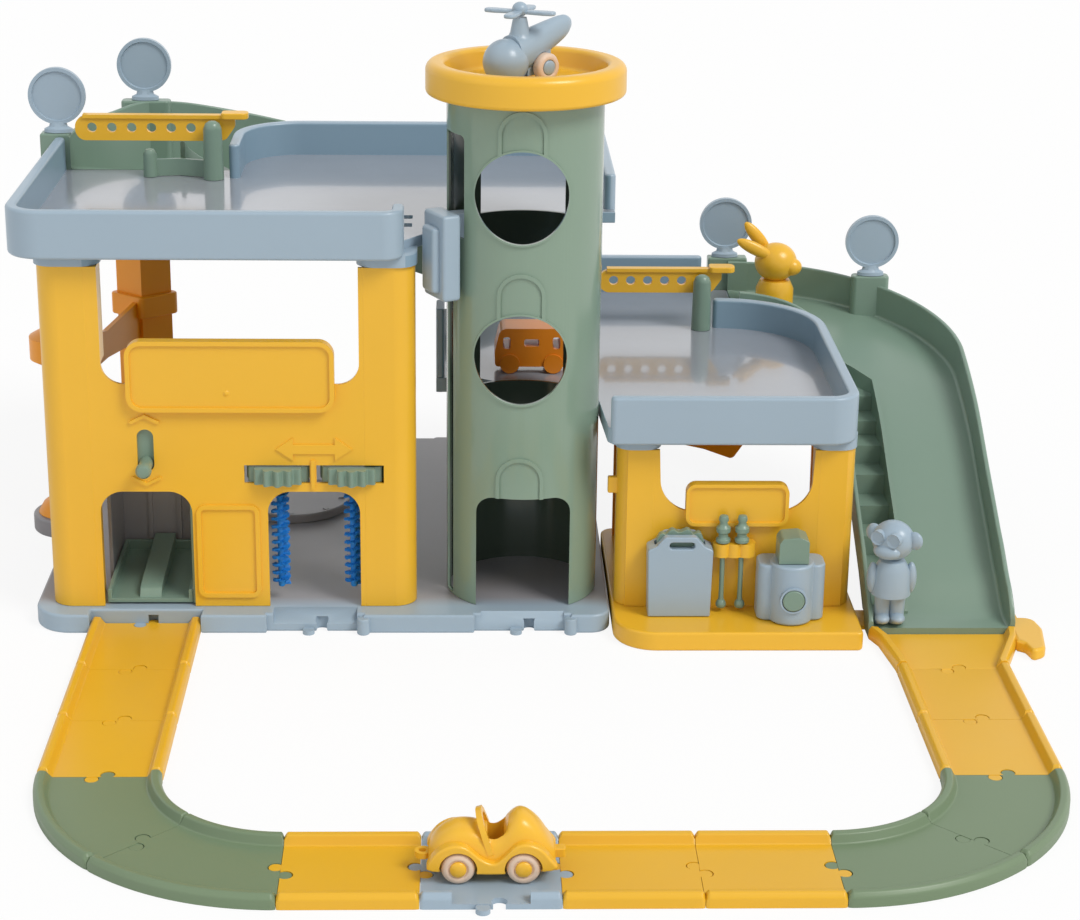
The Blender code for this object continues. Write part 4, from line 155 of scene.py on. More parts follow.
# wash wheels and brushes
WASH_X = (-170.9, -119.6)
WASH_Y = -33.0
WASH_WHEEL_R = 22.6
WASH_WHEEL_Z = (107.0, 118.4)
WASH_LOBES = 16
BRUSH_R = 6.6
BRUSH_CORE_R = 2.4
BRUSH_Z = (25.0, 99.0)
BRUSH_PITCH = 5.8
BRUSH_STRANDS = 2400
STRAND_R = 0.32
BRUSH_SEED = 7

# hoist behind the left arch
HOIST_X = (-293.6, -233.4)
HOIST_Y = (-41.2, 58.0)
HOIST_GUIDE_Y = 60.5

# turntable
TURN_AT = (-174.7, 163.0)
TURN_R = 43.5
TURN_TOP = 21.0

# upper deck
DECK_X = (-350.0, 66.0)
DECK_FRONT = -57.6
DECK_REAR = 244.5
DECK_GATE_Y = 180.0
DECK_GATE_X = -217.0
RIM_WIDTH = 8.0
RIM_SOFT = 2.2
RIM_DROP = 0.5
DECK_POCKETS = ((-340.0, -120.0, 0.0, 168.0), (-205.0, -66.0, 176.0, 232.0))
DECK_SLOTS = (-86.0, -78.0), (5.0, 28.5), 10.5

# barriers: post's place and floor, beam's length, its holes, and how far left the stop stands
UPPER_BARRIER = (-228.7, 150.0, TOP_FLOOR, 103.0, 6, 48.0)
LOWER_BARRIER = (144.0, 190.0, SECOND_FLOOR, 80.0, 5, 0.0)

# lift tower
TOWER_R = 54.0
TOWER_WALL = 2.6
TOWER_STEPS = 32
WINDOW_X = -3.0
WINDOW_R = 31.8
LOW_WINDOW_RISE = 48.1
HIGH_WINDOW_RISE = 34.0
WINDOW_Z = (SECOND_FLOOR + LOW_WINDOW_RISE, TOP_FLOOR + HIGH_WINDOW_RISE)
DOOR_HALF = 33.0
DOOR_TOP = 98.0
DOOR_ROUND = 13.0
SLOT_ANGLE = 198.0
GRIP_ANGLE = 208.0
SLOT_HALF = 6.0
HANDLE_DROP = 32.5
HANDLE_LENGTH = 60.0
HANDLE_Z = (TOP_UNDER - HANDLE_DROP, TOP_UNDER - HANDLE_DROP + HANDLE_LENGTH)
LIFT_DROP = 33.0
LIFT_THICK = 3.5
LIFT_PLAY = 3.0
LIFT_Z = (TOP_UNDER - LIFT_DROP, TOP_UNDER - LIFT_DROP + LIFT_THICK)
LIFT_R = TOWER_R - TOWER_WALL - LIFT_PLAY
PAD_OVERHANG = 14.4
PAD_DEPTH = 22.7
PAD_DISH = 15.0
PAD_R = TOWER_R + PAD_OVERHANG
PAD_Z = (TOWER_TOP + FIT, TOWER_TOP + FIT + PAD_DEPTH)

# lower deck and station
LOW_X = (57.5, 232.5)
LOW_FRONT = -58.0
LOW_LEFT = -62.0
LOW_REAR = 306.0
LANE_REAR = 338.0
LANE_X = 16.0
LANE_POST = (37.0, 296.0, 0.0)
LOW_GATE = 176.0
LOW_POCKETS = ((74.0, 216.0, -4.0, 84.0), (70.0, 138.0, 110.0, 290.0))
STATION_X = (63.6, 237.0)
STATION_Y = (-93.0, 112.0)
STATION_WALL_X = (65.7, 233.9)
STATION_IN = (95.0, 204.0)
STATION_SILL = 86.0
SUPPORT_Y = 95.0
STATION_BOARD_X = (114.0, 186.3)
STATION_BOARD_Z = (76.7, 108.0)
BRACKET_X = (140.0, 148.4, 156.8)
PUMP_LEFT_X = (87.0, 132.8)
PUMP_RIGHT = (188.0, -64.0)
NOZZLE_X = (140.4, 153.6)
NOZZLE_Y = -54.2

# ramps
RAMP_WALL = 3.5
RAMP_SKIN = 3.0
HIGH_RAMP_HALF = 45.0
HIGH_RAMP_R = 109.5
HIGH_RAMP_CENTRE = (-188.5, 183.0)
LOW_RAMP_HALF = 47.0
LOW_RAMP_R = 104.0
LOW_RAMP_CENTRE = (186.8, 155.0)
LOW_RAMP_END = -70.5
STEP_BAND = 24.0
STEPS = 7
STEPS_FRONT = -46.0
STEPS_BACK = 24.0
# signs at the ramps' heads: place across, and the left end of the block below
SIGN_A = (-348.5, -362.0)
SIGN_C = (174.0, 160.0)

# car: distance from its middle, half width and height of each section, and one half of a section's shape
CAR_SECTIONS = (
    (-35.6, 6.0, 9.0), (-33.6, 9.4, 15.0), (-29.0, 12.0, 20.6), (-23.0, 13.2, 24.6),
    (-17.0, 13.6, 26.0), (-10.0, 13.8, 25.4), (-4.0, 14.0, 23.4), (2.0, 14.0, 21.6),
    (7.0, 14.0, 24.6), (11.5, 14.0, 30.2), (16.0, 13.8, 33.2), (21.0, 13.4, 31.8),
    (27.0, 12.6, 26.4), (32.0, 11.0, 19.0), (35.4, 8.6, 13.0), (37.0, 6.0, 9.5),
)
CAR_ARCH = ((1.0, 0.0), (1.0, 0.42), (0.95, 0.66), (0.82, 0.84), (0.6, 0.94), (0.3, 0.99), (0.0, 1.0))
CAR_LEAN = -18.0
# outline of the fenders and the sill between them, from the car's middle and its underside
CAR_SKIRT = (
    (-36.4, 5.0), (-34.6, 9.6), (-29.5, 15.6), (-22.0, 19.2), (-14.0, 18.0), (-7.0, 12.0),
    (-1.5, 8.6), (3.0, 8.2), (8.0, 12.6), (14.0, 18.6), (21.0, 20.0), (28.5, 16.8), (34.0, 10.4),
    (37.6, 5.6), (35.0, 3.4), (29.0, 2.6), (18.0, 1.5), (9.0, 1.2), (0.0, 1.0), (-9.0, 1.2),
    (-18.0, 1.5), (-29.0, 2.6), (-34.0, 3.2),
)

# ramp foot
FOOT_X = (243.8, 349.0)

# loose pieces: place on the floor that they stand on
FIGURE_BLUE = (259.0, -63.5, 10.2)
FIGURE_YELLOW = (209.6, 257.0, SECOND_FLOOR - 1.5)
VAN = (8.0, 84.0, SECOND_FLOOR + FIT)

# plastics as they look in plain light, sRGB 0 to 255, except three copies of the yellow: the rear frames' with
# painted bounce light and shade, the roads' with painted shade, the van's with painted shade that turns it
# orange
PLASTICS = {
    "yellow": (233, 180, 46),
    # the yellow made deeper and redder: painted bounce light and shade on the rear frames
    "yellow_painted_bounce": (238, 152, 12),
    # the yellow made darker: painted shade on the up-facing road pieces
    "yellow_painted_shade": (226, 174, 36),
    # the yellow turned orange: painted shade on the van in the tower's shadow
    "van_painted_shade": (228, 134, 30),
    "tower_green": (130, 152, 135),
    "ramp_green": (120, 144, 129),
    "road_green": (112, 132, 102),
    "blue_grey": (154, 173, 188),
    "cream": (222, 196, 174),
    "brush_blue": (30, 130, 206),
}
PLAIN_ROUGHNESS = {
    "yellow": 0.3,
    "ramp_green": 0.3,
    "road_green": 0.4,
    "blue_grey": 0.3,
    "cream": 0.5,
    "yellow_painted_bounce": 0.36,
    "yellow_painted_shade": 0.34,
    "van_painted_shade": 0.32,
}
# painted sheen: the greyer colour given to the up-facing deck floors
FLOOR_PAINTED_SHEEN = (152, 157, 166)
# painted shade on the rims' inner faces
RIM_PAINTED_SHADE = (128, 154, 172)
# painted shade with warm painted bounce light, for the floor plate behind the front wall
UNDER_DECK_PAINTED_SHADE = (148, 146, 150)
# a point inside each deck's rim, upper and lower, from which its inner faces are told for the painted shade on
# them
DECK_MIDDLES = ((-200.0, 40.0), (150.0, 70.0))

# marks of the moulding: pattern scales per metre, and the grain's relief in metres
FLOW_SCALE = 11.0
CLOUD_SCALE = 70.0
WAVE_SCALE = 38.0
GRAIN_SCALE = 1700.0
GRAIN_STRENGTH = 0.035
GRAIN_DEPTH = 0.0004

# camera of the photograph: place, (down, right, roll) in degrees, focal length and picture width in pixels
VIEW_FROM = (-42.7, -1656.3, 690.1)
VIEW_TURNS = (19.34, 1.92, 0.74)
VIEW_FOCAL = 2453.0
VIEW_WIDTH = 1080.0
SENSOR = 36.0

# light: room, sun and fill, and how far the floor is lifted to white
ROOM_LIGHT = 0.56
KEY_LIGHT = 1.84
FILL_LIGHT = 0.25
FLOOR_LIFT = 0.88
FLOOR_HALF = 30.0

GARAGE = bpy.data.collections.new("toy_parking_garage")
bpy.context.scene.collection.children.link(GARAGE)


def linear(colour):
    """sRGB numbers as linear light."""
    share = [v / 255 for v in colour]
    return tuple(v / 12.92 if v <= 0.04045 else ((v + 0.055) / 1.055) ** 2.4 for v in share) + (1.0,)


class Wire:
    """A node socket that takes part in arithmetic."""

    def __init__(self, paint, socket):
        self.paint = paint
        self.socket = socket

    def work(self, operation, first, second):
        return self.paint.add("ShaderNodeMath", {"operation": operation}, {0: first, 1: second})

    def __add__(self, other):
        return self.work("ADD", self, other)

    def __radd__(self, other):
        return self.work("ADD", other, self)

    def __sub__(self, other):
        return self.work("SUBTRACT", self, other)

    def __rsub__(self, other):
        return self.work("SUBTRACT", other, self)

    def __mul__(self, other):
        return self.work("MULTIPLY", self, other)

    def __rmul__(self, other):
        return self.work("MULTIPLY", other, self)

    def __lt__(self, other):
        return self.work("LESS_THAN", self, other)

    def __gt__(self, other):
        return self.work("GREATER_THAN", self, other)


class Paint:
    """The node tree of one finish."""

    def __init__(self, name):
        self.material = bpy.data.materials.new(name)
        self.material.use_nodes = True
        self.tree = self.material.node_tree
        self.shader = self.tree.nodes["Principled BSDF"]
        self.place = self.add("ShaderNodeTexCoord", {}, {}, "Object")

    def add(self, kind, settings, values, output=0):
        """A node with its settings and inputs, as the wire of one output."""
        made = self.tree.nodes.new(kind)
        for key, value in settings.items():
            if key == "stops":
                ramp = made.color_ramp
                while len(ramp.elements) < len(value):
                    ramp.elements.new(0.5)
                for element, (spot, tint) in zip(ramp.elements, value):
                    element.position = spot
                    element.color = tint
            else:
                setattr(made, key, value)
        for key, value in values.items():
            self.feed(made.inputs[key], value)
        return Wire(self, made.outputs[output])

    def feed(self, socket, value):
        if isinstance(value, Wire):
            self.tree.links.new(value.socket, socket)
        else:
            socket.default_value = value

    def noise(self, scale, detail=3.0, rough=0.55):
        values = {"Vector": self.place, "Scale": scale, "Detail": detail, "Roughness": rough}
        return self.add("ShaderNodeTexNoise", {}, values, "Fac")

    def blend(self, share, first, second):
        settings = {"data_type": "RGBA", "clamp_factor": True}
        return self.add("ShaderNodeMix", settings, {"Factor": share, 6: first, 7: second}, 2)

    def finish(self, **values):
        """Feeds the shader's inputs, and gives the material."""
        for name, value in values.items():
            self.feed(self.shader.inputs[name.replace("_", " ")], value)
        return self.material


def shaded(colour, share):
    """A linear colour made darker or lighter by a share."""
    return tuple(min(v * share, 1.0) for v in colour[:3]) + (1.0,)


def moulded(name, tint, rough):
    """Satin moulded plastic: broad flow marks, worn lighter patches, fine spark-eroded grain."""
    paint = Paint(name)
    base = linear(tint)
    flow = paint.noise(FLOW_SCALE, 2.0)
    cloud = paint.noise(CLOUD_SCALE, 4.0, 0.6)
    colour = paint.blend(flow, shaded(base, 0.965), shaded(base, 1.03))
    colour = paint.blend(cloud * 0.16, colour, shaded(base, 1.12))
    fine = paint.noise(GRAIN_SCALE, 2.0, 0.5)
    soft = paint.noise(WAVE_SCALE, 3.0)
    relief = {"Strength": GRAIN_STRENGTH, "Distance": GRAIN_DEPTH, "Height": fine + soft * 2.0}
    bump = paint.add("ShaderNodeBump", {}, relief, "Normal")
    roughness = rough - 0.05 + cloud * 0.06 + soft * 0.04
    return paint, colour, roughness, bump


def plain_plastic(name, tint, rough):
    """One colour of moulded plastic."""
    paint, colour, roughness, bump = moulded(name, tint, rough)
    return paint.finish(Base_Color=colour, Roughness=roughness, Normal=bump)


def tray_plastic(name):
    """Blue-grey decks, with a glossier floor inside the rims whose greyer colour is painted sheen, and painted
    shade on the rims' inner faces.
    """
    paint, colour, roughness, bump = moulded(name, PLASTICS["blue_grey"], 0.34)
    height = paint.add("ShaderNodeSeparateXYZ", {}, {"Vector": paint.place}, "Z")
    up = paint.add("ShaderNodeNewGeometry", {}, {}, "Normal")
    facing = paint.add("ShaderNodeSeparateXYZ", {}, {"Vector": up}, "Z")
    level = facing > 0.95
    low = (height > (SECOND_FLOOR - 2.0) * UNIT) * (height < (SECOND_FLOOR + 1.0) * UNIT)
    high = (height > (TOP_FLOOR - 2.0) * UNIT) * (height < (TOP_FLOOR + 1.0) * UNIT)
    floor = level * (low + high)
    wear = paint.noise(26.0, 4.0, 0.6)
    grey = linear(FLOOR_PAINTED_SHEEN)
    # painted sheen: up-facing floor faces take a greyer colour; the lower roughness and the coat below are real
    # gloss
    painted_sheen = paint.blend(wear, shaded(grey, 0.94), shaded(grey, 1.05))
    colour = paint.blend(floor, colour, painted_sheen)
    upper = height > TOP_UNDER * UNIT
    reach = []
    for axis, (high_mid, low_mid) in zip("XY", zip(*DECK_MIDDLES)):
        at = Wire(paint, height.socket.node.outputs[axis])
        lean = Wire(paint, facing.socket.node.outputs[axis])
        reach.append(lean * (upper * ((high_mid - low_mid) * UNIT) + low_mid * UNIT - at))
    # painted shade: rim faces that look in towards the deck's middle, above the second floor and not facing up,
    # take a darker blue
    inner = (reach[0] + reach[1] > 0.0) * (height > SECOND_FLOOR * UNIT) * (facing < 0.5)
    colour = paint.blend(inner, colour, linear(RIM_PAINTED_SHADE))
    roughness = roughness - floor * 0.19
    paint.shader.inputs["Coat Roughness"].default_value = 0.05
    paint.shader.inputs["Coat IOR"].default_value = 1.7
    return paint.finish(Base_Color=colour, Roughness=roughness, Normal=bump, Coat_Weight=floor * 0.5)


def base_plastic(name):
    """Blue-grey, turned to a warm grey behind the front wall: painted shade and painted yellow bounce light
    under the decks.
    """
    paint, colour, roughness, bump = moulded(name, PLASTICS["blue_grey"], 0.36)
    back = paint.add("ShaderNodeSeparateXYZ", {}, {"Vector": paint.place}, "Y")
    # painted shade: behind the front wall the blue-grey blends into a warm grey, standing for shadow and yellow
    # bounce light
    deep = (back - WALL_Y * UNIT) * 60.0
    painted_shade_warm = paint.blend(deep, colour, linear(UNDER_DECK_PAINTED_SHADE))
    return paint.finish(Base_Color=painted_shade_warm, Roughness=roughness, Normal=bump)


def tower_plastic(name):
    """Green outside, darker on the inner faces of the shaft as painted shade."""
    paint, colour, roughness, bump = moulded(name, PLASTICS["tower_green"], 0.15)
    split = paint.add("ShaderNodeSeparateXYZ", {}, {"Vector": paint.place}, "X")
    across = Wire(paint, split.socket.node.outputs["Y"])
    # painted shade: faces inside the shaft's radius are darkened to a third of the green
    inside = split * split + across * across < ((TOWER_R - 1.2) * UNIT) ** 2
    colour = paint.blend(inside, colour, shaded(linear(PLASTICS["tower_green"]), 0.3))
    return paint.finish(Base_Color=colour, Roughness=roughness, Normal=bump)


def bristle_plastic(name):
    """Blue nylon with darker and paler strands."""
    paint = Paint(name)
    base = linear(PLASTICS["brush_blue"])
    streak = paint.noise(900.0, 2.0)
    colour = paint.blend(streak, shaded(base, 0.7), shaded(base, 1.5))
    return paint.finish(Base_Color=colour, Roughness=0.5 + streak * 0.1)


def garage_materials():
    """Every finish by its name."""
    made = {}
    for name, rough in PLAIN_ROUGHNESS.items():
        made[name] = plain_plastic(f"moulded_{name}", PLASTICS[name], rough)
    made["tray"] = tray_plastic("moulded_tray")
    made["tower"] = tower_plastic("moulded_tower")
    made["base"] = base_plastic("moulded_base")
    made["brush_blue"] = bristle_plastic("nylon_blue")
    return made


MATERIALS = garage_materials()
BODY_OF = {node: body for body, nodes in FRAME["record"]["behaviour"]["bodies"].items() for node in nodes}


def tidy(mesh):
    """Merges doubles and turns every face outward."""
    work = bmesh.new()
    work.from_mesh(mesh)
    bmesh.ops.remove_doubles(work, verts=work.verts, dist=MERGE)
    bmesh.ops.recalc_face_normals(work, faces=work.faces)
    work.to_mesh(mesh)
    work.free()
    return mesh


def as_object(mesh):
    made = bpy.data.objects.new("piece", mesh)
    GARAGE.objects.link(made)
    return made


def solid(points, faces):
    """A mesh object from corners in millimetres."""
    mesh = bpy.data.meshes.new("piece")
    mesh.from_pydata([(x * UNIT, y * UNIT, z * UNIT) for x, y, z in points], [], faces)
    return as_object(tidy(mesh))


def settle(obj):
    """Turns an object's modifiers into plain mesh."""
    bpy.context.view_layer.update()
    graph = bpy.context.evaluated_depsgraph_get()
    mesh = bpy.data.meshes.new_from_object(obj.evaluated_get(graph), depsgraph=graph)
    obj.modifiers.clear()
    obj.data = mesh
    return obj


def measure(mesh):
    """The volume of a mesh, or None where an edge hasn't exactly two faces."""
    work = bmesh.new()
    work.from_mesh(mesh)
    bmesh.ops.remove_doubles(work, verts=work.verts, dist=MERGE)
    closed = all(len(edge.link_faces) == 2 for edge in work.edges)
    volume = work.calc_volume() if closed else None
    work.free()
    return volume


def sound(volume, before, tools, operation):
    """True where the result is closed and its volume is one that the operation can give."""
    if volume is None:
        return False
    slack = MERGE * before ** (2 / 3)
    if operation == "UNION":
        return max(before, *tools) - slack <= volume <= before + sum(tools) + slack
    if operation == "DIFFERENCE":
        return before - sum(tools) - slack <= volume <= before + slack
    return volume <= before + slack


def boolean(obj, tools, operation):
    """Joins or cuts with the manifold solver, and with the exact one where the result isn't sound."""
    before = obj.data
    volume = measure(before) or 0.0
    sizes = [measure(tool.data) or 0.0 for tool in tools]
    for solver in ("MANIFOLD", "EXACT"):
        obj.data = before
        for tool in tools:
            step = obj.modifiers.new("shape", "BOOLEAN")
            step.operation = operation
            step.solver = solver
            step.object = tool
        settle(obj)
        if sound(measure(obj.data), volume, sizes, operation):
            break
    for tool in tools:
        bpy.data.objects.remove(tool)
    return obj


def cut(obj, *tools):
    return boolean(obj, tools, "DIFFERENCE")


def join(obj, *tools):
    return boolean(obj, tools, "UNION")


def meet(obj, *tools):
    return boolean(obj, tools, "INTERSECT")


def moved(obj, matrix):
    obj.data.transform(matrix)
    return obj


def shift(x, y, z):
    return Matrix.Translation((x * UNIT, y * UNIT, z * UNIT))


def turn(angle, axis="Z", about=(0.0, 0.0, 0.0)):
    """Rotation by degrees about an axis through a point."""
    spot = shift(*about)
    return spot @ Matrix.Rotation(math.radians(angle), 4, axis) @ spot.inverted()


def bevelled(obj, width):
    """The object with its hard edges rounded by a width in millimetres."""
    step = obj.modifiers.new("soft", "BEVEL")
    step.width = width * UNIT
    step.segments = 3
    step.limit_method = "ANGLE"
    step.angle_limit = math.radians(HARD_EDGE)
    return settle(obj)


def box(x, y, z, soft=0.0):
    """A block between the given (low, high) pairs."""
    corners = [(a, b, c) for a in x for b in y for c in z]
    faces = [(0, 1, 3, 2), (4, 6, 7, 5), (0, 4, 5, 1), (2, 3, 7, 6), (0, 2, 6, 4), (1, 5, 7, 3)]
    made = solid(corners, faces)
    return bevelled(made, soft) if soft else made


def circle(x, y, radius, count=24):
    """A ring of points, FINE times as many as the count given."""
    count *= FINE
    angles = [math.radians(FULL_TURN * k / count) for k in range(count)]
    return [(x + radius * math.cos(a), y + radius * math.sin(a)) for a in angles]


def arc(x, y, radius, start, end, count):
    """Points along a part of a circle, between two angles in degrees."""
    count *= FINE
    angles = [math.radians(start + (end - start) * k / count) for k in range(count + 1)]
    return [(x + radius * math.cos(a), y + radius * math.sin(a)) for a in angles]


def rounded(corners, count=3):
    """A polygon from (x, y, radius) corners."""
    ring = []
    for i, (x, y, radius) in enumerate(corners):
        if radius <= 0:
            ring.append((x, y))
            continue
        here = Vector((x, y))
        back = (Vector(corners[i - 1][:2]) - here).normalized()
        ahead = (Vector(corners[(i + 1) % len(corners)][:2]) - here).normalized()
        half = back.angle(ahead) / 2
        centre = here + (back + ahead).normalized() * (radius / math.sin(half))
        first = here + back * (radius / math.tan(half)) - centre
        last = here + ahead * (radius / math.tan(half)) - centre
        begin = math.degrees(math.atan2(first.y, first.x))
        sweep = (math.degrees(math.atan2(last.y, last.x)) - begin + HALF_TURN) % FULL_TURN - HALF_TURN
        ring += arc(centre.x, centre.y, radius, begin, begin + sweep, count)
    return ring


def rect(x, y, radius=0.0, count=3):
    """A rectangle between (low, high) pairs, with round corners."""
    corners = [(x[0], y[0]), (x[1], y[0]), (x[1], y[1]), (x[0], y[1])]
    return rounded([(*corner, radius) for corner in corners], count)


def band(path, half, round_ends=True):
    """The outline of a strip that follows a path of (x, y) points."""
    left, right = [], []
    for i, (x, y) in enumerate(path):
        before = Vector(path[max(i - 1, 0)])
        after = Vector(path[min(i + 1, len(path) - 1)])
        here = Vector((x, y))
        first = (here - before).normalized() if i else (after - here).normalized()
        second = (after - here).normalized() if i < len(path) - 1 else first
        way = (first + second).normalized()
        side = Vector((-way.y, way.x)) * (half / max(way.dot(first), 0.35))
        left.append(tuple(here + side))
        right.append(tuple(here - side))
    if not round_ends:
        return left + right[::-1]
    end, start = Vector(path[-1]), Vector(path[0])
    out = (end - Vector(path[-2])).normalized()
    away = (start - Vector(path[1])).normalized()
    heading = math.degrees(math.atan2(out.y, out.x))
    behind = math.degrees(math.atan2(away.y, away.x))
    cap = arc(end.x, end.y, half, heading + QUARTER_TURN, heading - QUARTER_TURN, 4)[1:-1]
    tail = arc(start.x, start.y, half, behind + QUARTER_TURN, behind - QUARTER_TURN, 4)[1:-1]
    return left + cap + right[::-1] + tail


def slab(outline, low, high, soft=0.0, holes=(), upright=False, steps=1):
    """An outline filled and extruded between two levels, its edges softened. Upright ones stand in XZ."""
    curve = bpy.data.curves.new("outline", "CURVE")
    curve.dimensions = "2D"
    curve.fill_mode = "BOTH"
    for ring in (outline, *holes):
        spline = curve.splines.new("POLY")
        spline.points.add(len(ring) - 1)
        for point, (x, y) in zip(spline.points, ring):
            point.co = (x * UNIT, y * UNIT, 0.0, 1.0)
        spline.use_cyclic_u = True
    curve.extrude = ((high - low) / 2 - soft) * UNIT
    curve.bevel_depth = soft * UNIT
    curve.bevel_resolution = steps + 1 if soft else 0
    curve.offset = -soft * UNIT
    drawn = bpy.data.objects.new("outline", curve)
    GARAGE.objects.link(drawn)
    bpy.context.view_layer.update()
    graph = bpy.context.evaluated_depsgraph_get()
    mesh = bpy.data.meshes.new_from_object(drawn.evaluated_get(graph), depsgraph=graph)
    bpy.data.objects.remove(drawn)
    middle = (low + high) / 2
    if upright:
        mesh.transform(shift(0.0, middle, 0.0) @ turn(QUARTER_TURN, "X"))
    else:
        mesh.transform(shift(0.0, 0.0, middle))
    return as_object(tidy(mesh))


def turned(profile, steps, at=(0.0, 0.0, 0.0), closed=False, axis="Z"):
    """A profile of (radius, height) points turned round an axis through a point."""
    steps *= FINE
    mesh = bpy.data.meshes.new("profile")
    count = len(profile)
    edges = [(i, i + 1) for i in range(count - 1)] + ([(count - 1, 0)] if closed else [])
    mesh.from_pydata([(r * UNIT, 0.0, z * UNIT) for r, z in profile], edges, [])
    made = as_object(mesh)
    screw = made.modifiers.new("turn", "SCREW")
    screw.steps = steps
    screw.render_steps = steps
    screw.use_merge_vertices = True
    screw.merge_threshold = UNIT / 100
    settle(made)
    tidy(made.data)
    tip = {"Z": 0.0, "X": QUARTER_TURN, "Y": -QUARTER_TURN}[axis]
    return moved(made, shift(*at) @ turn(tip, {"Z": "Z", "X": "Y", "Y": "X"}[axis]))


def rod(radius, low, high, steps, at=(0.0, 0.0, 0.0), axis="Z"):
    """A plain round bar between two heights on its axis."""
    return turned([(0.0, low), (radius, low), (radius, high), (0.0, high)], steps, at, axis=axis)


def loft(rings):
    """A solid through rings of the same number of corners, its two ends filled."""
    size, count = len(rings[0]), len(rings)
    points = [p for ring in rings for p in ring]
    faces = []
    for i in range(count - 1):
        for k in range(size):
            m = (k + 1) % size
            faces.append((i * size + k, i * size + m, (i + 1) * size + m, (i + 1) * size + k))
    faces.append(tuple(range(size))[::-1])
    faces.append(tuple((count - 1) * size + k for k in range(size)))
    return solid(points, faces)


def lobe(radius, neck):
    """Outline of a puzzle nub that points along +X from the origin."""
    lean = math.degrees(math.asin(neck / radius))
    head = arc(NUB_REACH, 0.0, radius, lean - HALF_TURN, HALF_TURN - lean, 5)
    return [(-NUB_ROOT, -neck), *head, (-NUB_ROOT, neck)]


def placed(outline, x, y, angle):
    """A nub's outline turned by degrees and set at a point of a road's edge, beside its middle."""
    c, s = math.cos(math.radians(angle)), math.sin(math.radians(angle))
    return [(x + c * u - s * (v + NUB_OFFSET), y + s * u + c * (v + NUB_OFFSET)) for u, v in outline]


def flowing(points, per=6, closed=True):
    """A smooth line through points of any size, by Catmull and Rom's rule."""
    count, size = len(points), len(points[0])
    line = []
    for i in range(count if closed else count - 1):
        near = [i + k for k in (-1, 0, 1, 2)]
        around = [points[k % count if closed else min(max(k, 0), count - 1)] for k in near]
        for step in range(per):
            t = step / per
            first, last = -t + 2 * t * t - t**3, t**3 - t * t
            weights = (first, 2 - 5 * t * t + 3 * t**3, t + 4 * t * t - 3 * t**3, last)
            line.append(tuple(sum(w * p[k] for w, p in zip(weights, around)) / 2 for k in range(size)))
    if not closed:
        line.append(tuple(points[-1]))
    return line


def eased(table, s):
    """Smooth reading of a table of (distance, value) pairs that doesn't overshoot."""
    if s <= table[0][0]:
        return table[0][1]
    slopes = [(v - u) / (b - a) for (a, u), (b, v) in zip(table, table[1:])]
    lean = [slopes[0]]
    for before, after in zip(slopes, slopes[1:]):
        lean.append(2 * before * after / (before + after) if before * after > 0 else 0.0)
    lean.append(slopes[-1])
    for i, ((a, u), (b, v)) in enumerate(zip(table, table[1:])):
        if s <= b:
            t, h = (s - a) / (b - a), b - a
            start = (1 + 2 * t) * (1 - t) ** 2 * u + t * (1 - t) ** 2 * h * lean[i]
            return start + t * t * (3 - 2 * t) * v + t * t * (t - 1) * h * lean[i + 1]
    return table[-1][1]


def soften(obj, smooth=38.0, edge=EDGE):
    """Rounds the hard edges of a piece, and shades it smooth with its flats kept flat."""
    mesh = obj.data
    work = bmesh.new()
    work.from_mesh(mesh)
    bmesh.ops.remove_doubles(work, verts=work.verts, dist=MERGE)
    bmesh.ops.dissolve_degenerate(work, edges=work.edges, dist=MERGE)
    bmesh.ops.dissolve_limit(work, angle_limit=FLAT, verts=work.verts, edges=work.edges)
    work.to_mesh(mesh)
    work.free()
    if edge:
        soft = obj.modifiers.new("soft", "BEVEL")
        soft.width = edge * UNIT
        soft.segments = 2
        soft.limit_method = "ANGLE"
        soft.angle_limit = math.radians(smooth + 2.0)
        soft.use_clamp_overlap = True
        settle(obj)
    mesh = obj.data
    for face in mesh.polygons:
        face.use_smooth = True
    mesh.set_sharp_from_angle(angle=math.radians(smooth + 12.0))
    level = obj.modifiers.new("level", "WEIGHTED_NORMAL")
    level.keep_sharp = True
    return settle(obj)


def node(name, obj, colour, smooth=38.0, edge=EDGE):
    """A softened piece in its plastic, on its body in place of the CAD node."""
    obj.name = f"{name}_finish"
    return dress(soften(obj, smooth, edge), name, colour)


def dress(obj, name, colour, stands=True):
    """The plastic and the body of a finished piece, its CAD node hidden where it stands in for one."""
    mesh = obj.data
    mesh.name = obj.name
    mesh.materials.clear()
    mesh.materials.append(MATERIALS[colour])
    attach(obj, BODY_OF[name])
    if stands:
        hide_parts(name)
    return obj


def copied(name, source, matrix, colour):
    """A further piece from a finished mesh, moved in its mesh."""
    made = bpy.data.objects.new(f"{name}_finish", source.data.copy())
    GARAGE.objects.link(made)
    made.data.transform(matrix)
    return dress(made, name, colour)


def extra(label, obj, name, colour, edge=EDGE):
    """A further piece that moves with a node's body."""
    obj.name = label
    return dress(soften(obj, 38.0, edge), name, colour, stands=False)


